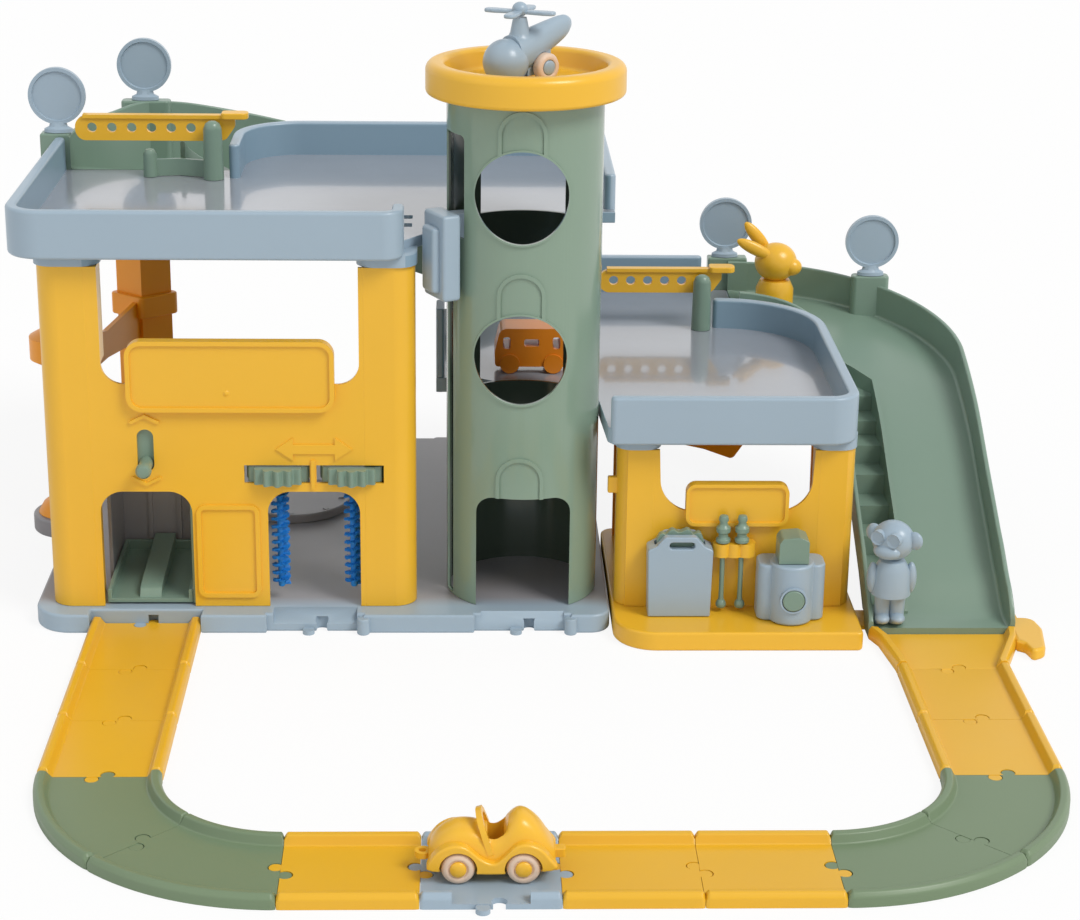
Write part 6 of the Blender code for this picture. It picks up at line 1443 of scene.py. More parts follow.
def ramp(path):
    """A lofted chute. Each station is x, y, heading, floor, outer height, inner height, half width."""
    rings = []
    soft = 1.3
    for x, y, heading, floor, tall_out, tall_in, half in path:
        a = math.radians(heading)
        side = Vector((-math.sin(a), math.cos(a)))
        skirt = min(RAMP_SKIN, floor - FIT) if floor > ROAD_FLOOR + 3 * RAMP_SKIN else floor - FIT
        bed = half - RAMP_WALL
        section = [(half, -skirt, soft / 2), (half, tall_out, soft), (bed, tall_out, soft)]
        section += [(bed, 0.0, soft * 2), (-bed, 0.0, soft * 2), (-bed, tall_in, soft)]
        section += [(-half, tall_in, soft), (-half, -skirt, soft / 2)]
        rings.append([(x + side.x * u, y + side.y * u, floor + v) for u, v in rounded(section, 1)])
    return loft(rings)


def build_upper_ramp():
    """The chute from the upper deck down to the second one, with two signs."""
    cx, cy = HIGH_RAMP_CENTRE
    radius, half = HIGH_RAMP_R, HIGH_RAMP_HALF
    near_y = DECK_GATE_Y + FIT
    turn_length = radius * math.pi / 2
    straight = LANE_X - FIT - cx
    total = turn_length + straight
    drop = TOP_FLOOR - SECOND_FLOOR
    outer = ((0.0, TOP_RIM - TOP_FLOOR), (60.0, 48.0), (90.0, 60.5), (120.0, 64.0), (turn_length, 64.5))
    outer += ((turn_length + 80.0, 35.0), (total, 22.0))
    stations = []
    for k in range(9 * FINE):
        s = turn_length * k / (9 * FINE)
        a = HALF_TURN - QUARTER_TURN * k / (9 * FINE)
        x, y = cx + radius * math.cos(math.radians(a)), cy + radius * math.sin(math.radians(a))
        place = (x, max(y, near_y) if k else near_y, a - QUARTER_TURN)
        stations.append((*place, TOP_FLOOR - drop * s / total, eased(outer, s), 22.0, half))
    for k in range(4 * FINE + 1):
        d = straight * k / (4 * FINE)
        s = turn_length + d
        floor = TOP_FLOOR - drop * s / total + 0.2
        stations.append((cx + d, cy + radius, 0.0, floor, eased(outer, s), 20.0, half))
    chute = ramp(stations)
    left, low_sign, high_sign = cx - radius - half, TOP_RIM + 2.0, TOP_RIM + 5.4
    spot_y, spot_z = (near_y, DECK_GATE_Y + 15.0), (TOP_FLOOR - 16.0, low_sign)
    join(chute, box((SIGN_A[1], left + 3.0), spot_y, spot_z, 1.5))
    reach = radius + half + 4.0
    mid = math.radians(HALF_TURN - 47.0)
    bx, by = cx + reach * math.cos(mid), cy + reach * math.sin(mid)
    spot = rect((bx - 19.0, bx + 20.0), (by - 7.0, by + 7.0), 4.0)
    join(chute, slab(spot, TOP_FLOOR - 48.0, high_sign, 1.5))
    gate = DECK_GATE_X - RIM_DROP - FIT
    web = [(cx - radius + half - 1.0, near_y), (gate, near_y), (gate, DECK_GATE_Y + 14.0)]
    web += [(gate - 12.0, DECK_GATE_Y + 36.0), (gate - 23.0, DECK_GATE_Y + 37.0)]
    join(chute, slab(web, TOP_FLOOR - 7.0, TOP_FLOOR - 4.0))
    node("upper_ramp", chute, "ramp_green")
    sign("sign_a", SIGN_A[0], DECK_GATE_Y + 7.5, low_sign)
    sign("sign_b", bx, by, high_sign)


def build_lower_ramp():
    """The chute from the second deck to the road, with its flight of steps and two signs."""
    cx, cy = LOW_RAMP_CENTRE
    radius, half = LOW_RAMP_R, LOW_RAMP_HALF
    start = LOW_GATE + FIT
    lead = cx - start
    turn_length = radius * math.pi / 2
    run = cy - LOW_RAMP_END
    bent = lead + turn_length
    total = bent + run
    foot = ROAD_FLOOR + 4.5
    # tables of (distance along the middle, height or width)
    floor = ((0.0, SECOND_FLOOR), (60.0, 146.0), (bent, 122.0), (bent + 60.0, 101.0), (bent + 120.0, 67.0))
    floor += ((bent + 180.0, 32.0), (total - 14.0, foot + 2.0), (total, foot))
    outer = ((0.0, 25.0), (30.0, 26.0), (total - 40.0, 26.0), (total - 18.0, 24.0))
    outer += ((total - 6.0, 15.0), (total, 6.0))
    inner = ((0.0, 24.0), (turn_length * 0.6, 22.0), (total - 60.0, 15.0), (total - 18.0, 15.0))
    inner += ((total - 6.0, 11.0), (total, 5.0))
    spread = ((0.0, 0.0), (lead, 0.0), (bent, 3.5), (total - 60.0, 3.5), (total, 5.0))
    stations = [(start, cy + radius, 0.0, SECOND_FLOOR, 25.0, 24.0, half)]

    def station(s, x, y, heading, grown):
        stations.append((x, y, heading, eased(floor, s), eased(outer, s), eased(inner, s), half + grown))

    for k in range(9 * FINE + 1):
        s = lead + turn_length * k / (9 * FINE)
        a = QUARTER_TURN - QUARTER_TURN * k / (9 * FINE)
        grown = eased(spread, s)
        reach = radius + grown
        x, y = cx + reach * math.cos(math.radians(a)), cy + reach * math.sin(math.radians(a))
        station(s, x, y, a - QUARTER_TURN, grown)
    for k in range(12 * FINE):
        d = run * (k + 1) / (12 * FINE)
        grown = eased(spread, bent + d)
        station(bent + d, cx + radius + grown, cy - d, -QUARTER_TURN, grown)
    chute = ramp(stations)

    # the stair well, its steps and the riser behind them
    well_x = cx + radius - half + RAMP_WALL + 0.6
    well = (well_x, well_x + STEP_BAND)
    well_front, well_rear = STEPS_FRONT, cy - STEPS_BACK
    cut(chute, box(well, (well_front, well_rear), (0.0, SECOND_RIM)))
    tread = (well_rear - well_front) / STEPS
    tops = [eased(floor, bent + STEPS_BACK + tread * k + tread * 0.75) - 5.0 for k in range(STEPS)]
    near_end = well_front - 0.4
    profile = [(near_end, tops[-1] - 12.0)]
    for k in range(STEPS - 1, -1, -1):
        far = well_rear - tread * k
        profile.append((max(far - tread, near_end), max(tops[k], profile[-1][1] + 1.0)))
        profile.append((far + (0.4 if k == 0 else 0.0), tops[k]))
    under = [(profile[-1][0], profile[-1][1] - 16.0)]
    under += [(well_rear - tread * k, tops[k] - 13.0) for k in range(1, STEPS)]
    left, right = well[0] - 0.4, well[1] + 0.4
    join(chute, loft([[(x, y, z) for y, z in profile + under] for x in (left, right)]))
    crest = eased(floor, bent + STEPS_BACK) - 1.0
    join(chute, box((left, right), (well_rear - 0.2, well_rear + 3.0), (tops[0] - 12.0, crest)))

    # the stringer between the steps and the chute
    curb = []
    for d, x in ((-26.0, 239.5), (-12.0, 243.5), (0.0, 250.0), (10.0, 259.0)):
        z = eased(floor, bent + d)
        section = ((x, z - 2.0), (x + 3.0, z - 2.0), (x + 3.0, z + 14.0), (x, z + 14.0))
        curb.append([(u, cy - d, v) for u, v in section])
    curb_in, curb_out = well[1] - 0.2, well[1] + 2.6
    for k in range(6 * FINE + 1):
        d = 20.0 + (run - 38.0) * k / (6 * FINE)
        z = eased(floor, bent + d)
        top = 11.0 if d < run - 40.0 else 6.0 if d < run - 20.0 else 2.0
        sill = max(z - 18.0, 0.5) if d <= 200.0 else z - 2.0
        section = ((curb_in, sill), (curb_out, z - 2.0), (curb_out, z + top), (curb_in, z + top))
        curb.append([(u, cy - d, v) for u, v in section])
    join(chute, loft(curb))

    # the two sign spots
    top_c = SECOND_RIM + 4.0
    end = start + 16.0
    join(
        chute,
        box((SIGN_C[1], end), (LOW_REAR + FIT, LOW_REAR + 13.0), (SECOND_FLOOR - 3.0, top_c), 1.5),
        box((start, end), (LOW_REAR - 4.0, LOW_REAR + 2.0), (SECOND_FLOOR - 2.0, top_c - 3.0)),
    )
    reach = radius + half + 1.0
    mid = math.radians(48.0)
    dx, dy = cx + reach * math.cos(mid), cy + reach * math.sin(mid)
    foot_d = SECOND_RIM + 0.6
    spot = rect((dx - 15.0, dx + 15.0), (dy - 6.5, dy + 6.5), 4.0)
    join(chute, slab(spot, SECOND_FLOOR - 22.0, foot_d, 1.5))
    node("lower_ramp", chute, "ramp_green")
    sign("sign_c", SIGN_C[0], LOW_REAR + 6.6, top_c)
    sign("sign_d", dx, dy, foot_d)


def tower_cut(angle, half, low, high, radius):
    """A cutter through one side of the tower wall with a rounded head."""
    ring = rounded([(-half, low, 0.0), (half, low, 0.0), (half, high, radius), (-half, high, radius)], 2)
    made = slab(ring, -TOWER_R - 20.0, -18.0, 0.0, upright=True)
    return moved(made, turn(angle - 3 * QUARTER_TURN))


def build_tower():
    """The lift shaft with its windows, doors and slot, and the lift car with its grip."""
    low, high = ON_BASE, TOWER_TOP
    inner = TOWER_R - TOWER_WALL
    shell = turned([(inner, low), (TOWER_R, low), (TOWER_R, high), (inner, high)], TOWER_STEPS, closed=True)
    near, far = TOWER_R - 1.2, TOWER_R + 1.2
    ridge = 17.6 / 1.15
    front = (-TOWER_R - 6.0, -20.0)
    arcs = (
        (WINDOW_Z[1] + WINDOW_R - 3.0, TOWER_TOP - 3.6),
        (WINDOW_Z[0] + WINDOW_R - 3.0, WINDOW_Z[0] + WINDOW_R + 28.0),
        (DOOR_TOP - 2.0, DOOR_TOP + 29.0),
    )
    marks = []
    for z0, z1 in arcs:
        head = arc(WINDOW_X, z1 - ridge, ridge, HALF_TURN, 0.0, 4)
        path = [(WINDOW_X - ridge, z0), *head, (WINDOW_X + ridge, z0)]
        marks.append(slab(band(path, 1.35, False), *front, upright=True))
    raised = turned([(near, low), (far, low), (far, high), (near, high)], TOWER_STEPS, closed=True)
    marks += [slab(circle(WINDOW_X, z, WINDOW_R + 1.3, 24), *front, upright=True) for z in WINDOW_Z]
    for mark in marks:
        raised_copy = as_object(raised.data.copy())
        meet(raised_copy, mark)
        join(shell, raised_copy)
    bpy.data.objects.remove(raised)
    for z in WINDOW_Z:
        cut(shell, slab(circle(WINDOW_X, z, WINDOW_R, 20), -TOWER_R - 20.0, -18.0, upright=True))
    # openings: heading, half width, low, high, corner
    openings = (
        (270.0, DOOR_HALF, low - 9.0, DOOR_TOP, DOOR_ROUND),
        (90.0, 30.0, TOP_FLOOR + 1.0, TOP_FLOOR + 58.0, 4.0),
        (90.0, 30.0, SECOND_FLOOR + 1.0, SECOND_FLOOR + 63.0, 4.0),
        (203.0, 15.0, TOP_FLOOR + 1.0, TOWER_TOP - 23.0, 4.0),
        (SLOT_ANGLE, SLOT_HALF, ON_BASE + 1.7, TOWER_TOP - 23.0, 2.0),
    )
    cut(shell, *[tower_cut(*opening) for opening in openings])
    node("tower_shell", shell, "tower", smooth=24.0, edge=0.6)
    under, bed = LIFT_Z
    rim = bed + 2.5
    profile = [(0.0, under), (LIFT_R, under), (LIFT_R, rim), (LIFT_R - 2.0, rim)]
    platform = turned(profile + [(LIFT_R - 3.0, bed), (0.0, bed)], 24)
    foot, head = HANDLE_Z
    neck = box((40.0, TOWER_R + 9.0), (FIT - SLOT_HALF, SLOT_HALF - FIT), (foot + 4.0, head - 4.0))
    grip = box((TOWER_R + 3.4, TOWER_R + 17.0), (-15.0, 15.0), HANDLE_Z, 2.5)
    join(grip, box((TOWER_R + 14.0, TOWER_R + 22.0), (-9.0, 9.0), (foot + 5.0, head - 9.0), 3.0))
    join(platform, moved(neck, turn(SLOT_ANGLE)), moved(grip, turn(GRIP_ANGLE)))
    node("lift_car", platform, "blue_grey")


def build_helipad():
    """The dished ring on top, with a plug that sits in the shaft."""
    low, high = PAD_Z
    bed, under = high - PAD_DISH, high - 18.0
    plug, hollow = TOWER_R - TOWER_WALL - 0.4, TOWER_R - TOWER_WALL - 3.0
    profile = [(0.0, bed, 0.0), (52.0, bed, 4.0), (56.0, high - 1.0, 4.0), (PAD_R, high - 0.6, 6.0)]
    profile += [(PAD_R, low, 3.0), (plug, low, 0.0), (plug, low - 6.0, 0.0), (hollow, low - 6.0, 0.0)]
    profile += [(hollow, under, 0.0), (0.0, under, 0.0)]
    node("helipad", turned(rounded(profile, 2), 26), "yellow")


def ball(x, y, z, radius, stretch, rings, segments):
    """A round blob, stretched along its axes."""
    rings *= FINE
    angles = [math.pi * k / rings for k in range(1, rings)]
    profile = [(radius * math.sin(a), -radius * math.cos(a)) for a in angles]
    made = turned([(0.0, -radius), *profile, (0.0, radius)], segments)
    return moved(made, shift(x, y, z) @ Matrix.Diagonal((*stretch, 1.0)))


def on_axle(profile, side, steps, at):
    """A (radius, distance) profile turned about a cross axle, on the side that the sign names."""
    return turned([(radius, side * out) for radius, out in profile], steps, at, axis="Y")


def build_helicopter():
    """The helicopter on its pad: rounded hull and boom, mast, rotor, and two wheels on one axle."""
    floor = PAD_Z[1] - PAD_DISH + 2 * FIT
    heading = 38.0
    hub_z = PAD_Z[1] + 34.0
    wheel_r = 9.6
    axle_at = (26.0, 0.0, floor + wheel_r)
    body = ball(0.0, 0.0, floor + 14.0, 15.6, (1.0, 1.0, 1.0), 7, 12)
    # the boom's line: distance back, height, half width and half height
    line = ((4.0, 18.0, 13.0, 13.5), (20.0, 22.0, 11.0, 13.0), (34.0, 27.5, 8.0, 11.0))
    line += ((46.0, 32.0, 6.0, 9.0), (52.0, 34.0, 4.6, 7.0), (56.0, 35.0, 2.0, 3.5))
    angles = [math.pi * k / (5 * FINE) for k in range(10 * FINE)]
    boom = []
    for x, z, wide, tall in flowing(line, 4, False):
        boom.append([(x, wide * math.cos(a), floor + z + tall * math.sin(a)) for a in angles])
    join(body, loft(boom))
    flange = [(0.0, floor), (16.6, floor), (16.9, floor + 1.2), (15.4, floor + 2.6), (0.0, floor + 2.6)]
    join(body, turned(flange, 16))
    mast = [(0.0, floor + 26.0), (9.0, floor + 28.0), (6.6, floor + 33.0), (5.2, hub_z - 8.0)]
    mast += [(4.6, hub_z - 5.4), (0.0, hub_z - 5.4)]
    join(body, moved(turned(mast, 10), shift(12.0, 0.0, 0.0)))
    join(body, box((14.0, 34.0), (-6.5, 6.5), (floor + 4.0, floor + 20.0)))
    wheels = rod(1.8, -10.0, 10.0, 10, axle_at, "Y")
    cut(body, rod(2.3, -20.0, 20.0, 10, axle_at, "Y"))
    cut(body, box((-40.0, 80.0), (-40.0, 40.0), (floor - 40.0, floor)))
    place = shift(-14.0, -9.0, 0.0) @ turn(heading)
    tyre = [(0.0, 8.0), (wheel_r - 0.8, 8.0), (wheel_r, 9.2), (wheel_r, 13.0), (wheel_r - 0.9, 14.5)]
    tyre += [(wheel_r - 2.4, 15.2), (5.6, 15.0), (5.0, 14.0), (0.0, 14.0)]
    dome = ((0.0, 13.4), (5.0, 13.4), (4.9, 15.0), (3.6, 15.8), (0.0, 16.1))
    for side in (-1, 1):
        cut(body, rod(wheel_r + 0.6, side * 7.6, side * 24.0, 14, axle_at, "Y"))
        join(wheels, on_axle(tyre, side, 14, axle_at))
    moved(body, place)
    moved(wheels, place)
    for side, label in ((-1, "right"), (1, "left")):
        hub = moved(on_axle(dome, side, 12, axle_at), place)
        extra(f"helicopter_hub_{label}", hub, "helicopter_wheels", "blue_grey", 0.2)
    node("helicopter_body", body, "blue_grey")
    node("helicopter_wheels", wheels, "cream")
    mast_spot = place @ Vector((12.0 * UNIT, 0.0, (hub_z - 5.0) * UNIT))
    hub_x, hub_y = mast_spot.x / UNIT, mast_spot.y / UNIT
    rotor = ball(hub_x, hub_y, hub_z, 5.4, (1.0, 1.0, 0.92), 6, 10)
    outline = [(2.0, -2.6, 0.0), (18.0, -4.4, 7.0), (25.0, -3.4, 3.2)]
    outline += [(x, -y, soft) for x, y, soft in outline[::-1]]
    for k in range(4):
        blade = slab(rounded(outline, 3), hub_z - 3.0, hub_z - 0.4, 0.9)
        moved(blade, shift(hub_x, hub_y, 0.0) @ turn(QUARTER_TURN * k - 20.0))
        join(rotor, blade)
    node("helicopter_rotor", rotor, "blue_grey")


def build_station():
    """The station's floor plate and pad, its wall with the bracket, the rear support and the lane's post."""
    x0, x1 = STATION_X
    y0, y1 = STATION_Y
    plate = rounded([(x0, y0, 30.0), (x1, y0, 4.0), (x1, y1, 10.0), (x0, y1, 10.0)], 4)
    base = slab(plate, 0.0, BASE_TOP, BASE_SOFT)
    side_x = FOOT_X[1] + 1.0
    lobe_x = side_x + 4.4
    # the lobe beside the ramp's foot, measured from the foot's right side
    pad = ((-6.0, -52.0, 1.0), (14.0, -53.0, 9.0), (17.0, -72.0, 12.0), (12.0, -106.0, 8.0))
    pad += ((2.0, -112.0, 3.0), (-1.0, -98.0, 4.0), (-6.0, -94.0, 1.0))
    join(
        base,
        slab(rect((x1 - 8.0, lobe_x), (-54.6, -26.0)), 0.0, 3.0),
        slab(rect((side_x, lobe_x), (-60.0, -28.0)), 0.0, 6.0),
        slab(rounded([(side_x + x, y, soft) for x, y, soft in pad], 5), 0.0, 9.0, 2.4, steps=3),
    )
    pockets(base, ((x0 + 6.0, x1 - 6.0, -30.0, y1 - 6.0),), 8.0, -BASE_TOP, BASE_TOP - BASE_SKIN)
    node("station_base", base, "yellow")
    low, high = ON_BASE, SECOND_UNDER - COLLAR_DEPTH - FIT
    left, right = STATION_WALL_X
    in_left, in_right = STATION_IN
    edge = 7.0
    outline = [(left + edge, low, 0.0), (right - edge, low, 0.0), (right - edge, high, 0.0)]
    outline += [(in_right, high, 0.0), (in_right - 2.0, STATION_SILL, 24.0)]
    outline += [(in_left + 2.0, STATION_SILL, 24.0), (in_left, high, 0.0), (left + edge, high, 0.0)]
    wall = slab(rounded(outline, 4), WALL_Y, WALL_Y + WALL_SKIN, 0.0, upright=True)
    hollow_columns(wall, ((left, in_left - 3.0), (right, in_right + 3.0)), COLUMN_ROUND, low, high, (3, 2))
    board(wall, STATION_BOARD_X, STATION_BOARD_Z, 7.0, 2.6)
    for x in BRACKET_X:
        join(wall, slab(circle(x, WALL_Y - 6.5, 6.8, 12), 56.0, 66.0))
    for x in NOZZLE_X:
        cut(wall, rod(2.3, 40.0, 80.0, 8, (x, NOZZLE_Y, 0.0)))
    join(wall, box((left - 6.0, left + 3.0), (WALL_Y + 10.0, WALL_Y + 15.0), (96.0, 108.0), 1.0))
    node("station_wall", wall, "yellow")
    head = SECOND_UNDER - RIM_DROP - FIT
    outline = [(72.0, low, 0.0), (96.0, low, 0.0), (96.0, 100.0, 12.0), (122.0, 88.0, 6.0)]
    outline += [(140.0, 84.0, 4.0), (162.0, 76.0, 4.0), (170.0, 88.0, 6.0), (222.0, 112.0, 10.0)]
    outline += [(223.0, low, 0.0), (234.0, low, 0.0), (234.0, head, 0.0), (72.0, head, 0.0)]
    frame = slab(rounded(outline), SUPPORT_Y, SUPPORT_Y + 5.0, upright=True)
    rib_y, rib_z = (SUPPORT_Y - 14.0, SUPPORT_Y + 1.0), (low, 130.0)
    join(frame, box((74.0, 78.0), rib_y, rib_z), box((228.0, 232.0), rib_y, rib_z))
    # its plastic is the yellow with painted bounce light and shade
    node("station_rear_support", frame, "yellow_painted_bounce")
    top = SECOND_UNDER - FIT
    profile = [(0.0, low), (15.0, low), (12.5, low + 9.0), (11.0, low + 12.0), (11.0, SECOND_UNDER - 6.0)]
    node("lane_support", turned(profile + [(13.0, top), (0.0, top)], 14, LANE_POST), "yellow")


def build_lower_tray():
    """The second deck with its rims, collars and pockets, and the lane towards the upper ramp."""
    left, right = LOW_X
    front = LOW_FRONT
    curve_r = 75.0
    curve_y = 125.0
    lane_right, lane_front, gate_front = 60.0, 246.0, 211.0
    clear = TOWER_R + 3.0
    face = [(left, front, 8.0), (right, front, 20.0), (right, curve_y, 0.0), (left, curve_y, 0.0)]
    outline = rounded(face, 4)[:-2]
    outline += arc(right - curve_r, curve_y, curve_r, 0.0, QUARTER_TURN, 6)
    outline += [(right - curve_r, gate_front), (LOW_GATE, gate_front), (LOW_GATE, LOW_REAR)]
    outline += [(lane_right, LOW_REAR), (lane_right, LANE_REAR), (LANE_X, LANE_REAR)]
    outline += [(LANE_X, lane_front), (LOW_LEFT, lane_front)]
    outline += [(LOW_LEFT, clear + 3.0), (LOW_LEFT + 30.0, clear + 3.0)]
    outline += arc(0.0, 0.0, clear, 112.0, 20.0, 6)
    deck = slab(outline, SECOND_UNDER, SECOND_FLOOR, 0.8)
    half = RIM_WIDTH / 2
    inset = half - RIM_DROP
    path = [(left + 6.0, front + inset)]
    path += arc(right - 20.0, front + 20.0, 20.0 - inset, -QUARTER_TURN, 0.0, 3)
    path += arc(right - curve_r, curve_y, curve_r - inset, 0.0, QUARTER_TURN, 6)
    rear_y, lane_y = LOW_REAR - inset, LANE_REAR - inset
    rear_path = [(150.0, rear_y), (lane_right, rear_y)]
    lane_path = [(lane_right - inset, rear_y + 2.0), (lane_right - inset, lane_y), (LANE_X + 6.0, lane_y)]
    low = SECOND_UNDER - RIM_DROP
    rims = []
    for line, rise in ((path, 0.0), (rear_path, 7.0), (lane_path, 0.0)):
        rims.append(slab(band(line, half), low, SECOND_RIM + rise, RIM_SOFT))
    corner = rect((LOW_LEFT, LOW_LEFT + 6.0), (clear + 4.0, clear + 30.0), 2.0, 2)
    join(deck, *rims, slab(corner, low, SECOND_RIM + 29.0, 1.0))
    columns = ((STATION_WALL_X[0], STATION_IN[0]), (STATION_WALL_X[1] - 1.0, STATION_IN[1]))
    collars(deck, columns, 12.0, SECOND_UNDER)
    pockets(deck, LOW_POCKETS, 8.0, SECOND_UNDER - 3.0, SECOND_UNDER + 5.0)
    node("lower_tray", deck, "tray")


def build_funnel():
    """The road piece that narrows from the ramp's foot to the loop."""
    x_c = CURVE_RIGHT[0] + ROAD_RADIUS
    near = CURVE_RIGHT[1] + 2 * ROAD_GRID + ROAD_END_GAP
    far = LOW_RAMP_END - FIT
    half = ROAD_WIDTH / 2
    wide_left, wide_right = FOOT_X[0] - x_c, FOOT_X[1] - x_c
    stations = ((near, -half, half), (near + 4.0, -half, half))
    stations += ((far - 14.0, wide_left + 5.0, wide_right - 2.0), (far, wide_left, wide_right))
    # a rail's corners: inset from the side, height
    rail = ((0.0, 0.0), (0.0, RAIL_TOP * 0.7), (2.0, RAIL_TOP), (6.0, RAIL_TOP), (RAIL_WIDTH, ROAD_FLOOR))
    rings = []
    for y, left, right in stations:
        ring = [(x_c + left, y, 0.0)] + [(x_c + right - inset, y, z) for inset, z in rail]
        rings.append(ring + [(x_c + left + inset, y, z) for inset, z in rail[:0:-1]])
    piece = loft(rings)
    nub, notch = road_end(x_c, near, -QUARTER_TURN)
    join(piece, nub)
    cut(piece, notch)
    node("ramp_funnel", piece, "yellow")


def build_pumps():
    """Two pumps with their insert, cap and dial, and the two nozzles in the bracket."""
    low = ON_BASE
    rear = WALL_Y - FIT - 2.0
    x0, x1 = PUMP_LEFT_X
    front = -65.0
    top = 70.0
    wave = [(x0 + 1.0, low, 1.0), (x1 - 1.0, low, 1.0), (x1, top - 6.0, 2.0), (x1 - 6.0, top - 3.0, 2.0)]
    wave += [(x1 - 12.0, top + 4.0, 4.0), (x0 + 12.0, top + 4.0, 4.0), (x0 + 6.0, top - 3.0, 2.0)]
    wave += [(x0, top - 6.0, 2.0)]
    slot = rect((x0 + 15.0, x1 - 13.0), (top - 5.0, top), 2.4, 2)
    body = slab(rounded(wave, 2), front, rear, 1.0, (slot,), upright=True)
    cut(body, box((x0 + 5.0, x1 - 5.0), (front + 6.0, rear - 4.0), (top - 8.0, top + 20.0)))
    node("pump_left", body, "blue_grey")
    crest = [(x0 + 6.5, top - 7.5, 0.0), (x1 - 6.5, top - 7.5, 0.0), (x1 - 6.5, top, 1.0)]
    crest += [(x1 - 9.0, top + 6.0, 2.5), (x1 - 14.0, top + 3.5, 1.5), (x1 - 17.0, top + 8.0, 2.5)]
    crest += [(x1 - 24.0, top + 5.0, 1.5), (x1 - 29.0, top + 8.0, 2.5), (x1 - 33.0, top + 3.5, 1.5)]
    crest += [(x0 + 9.0, top + 5.0, 2.5), (x0 + 6.5, top, 1.0)]
    insert = slab(rounded(crest, 2), front + 6.8, rear - 5.0, upright=True)
    node("pump_left_insert", insert, "ramp_green")
    cx, mid_y = PUMP_RIGHT
    height = 58.0
    body = slab(circle(cx, mid_y - 3.0, 15.6, 14), low, height, 2.0)
    sides = [rect(x, (-72.0, rear), 7.0, 2) for x in ((cx - 23.6, cx - 6.0), (cx + 6.0, cx + 23.6))]
    join(body, *[slab(side, low + 0.1, height - 2.0, 1.6) for side in sides])
    join(body, box((cx - 10.0, cx + 10.0), (-64.0, rear - 0.4), (low + 0.2, height - 2.4)))
    dial_z = 34.0
    face = mid_y - 3.0 - 15.6
    rim = turned([(0.0, 0.0), (9.4, 0.0), (9.4, 4.0), (8.2, 4.0), (8.2, 1.2), (0.0, 1.2)], 12)
    join(body, moved(rim, shift(cx, face + 2.4, dial_z) @ turn(QUARTER_TURN, "X")))
    node("pump_right", body, "blue_grey")
    dial = turned([(0.0, 0.0), (7.7, 0.0), (7.7, 1.5), (6.6, 2.3), (0.0, 2.3)], 12)
    moved(dial, shift(cx, face - FIT, dial_z) @ turn(QUARTER_TURN, "X"))
    node("pump_right_dial", dial, "ramp_green")
    cap = [(cx - 10.5, height + FIT, 0.0), (cx + 10.5, height + FIT, 0.0), (cx + 10.5, height + 17.0, 2.0)]
    cap += [(cx + 4.0, height + 20.0, 3.0), (cx - 8.0, height + 19.0, 3.0), (cx - 10.5, height + 15.0, 2.0)]
    node("pump_right_cap", slab(rounded(cap, 3), -76.0, -56.0, upright=True), "ramp_green")
    # a nozzle from its foot up, as (radius, height): the smooth hose, then the head
    hose = ((0.0, 16.6), (2.8, 17.4), (3.7, 20.0), (2.7, 22.8), (1.8, 25.0), (1.7, 45.0), (1.8, 66.4))
    head = [(5.0, 67.0), (5.2, 69.4), (3.4, 70.8), (3.3, 73.4), (5.0, 74.6), (5.1, 77.8), (3.2, 79.4)]
    head += [(2.7, 81.6), (3.6, 83.6), (3.0, 86.4), (0.0, 87.4)]
    profile = flowing(hose, 3, False) + head
    for name, x in zip(("left", "right"), NOZZLE_X):
        node(f"nozzle_{name}", turned(profile, 10, (x, NOZZLE_Y, 0.0)), "ramp_green")


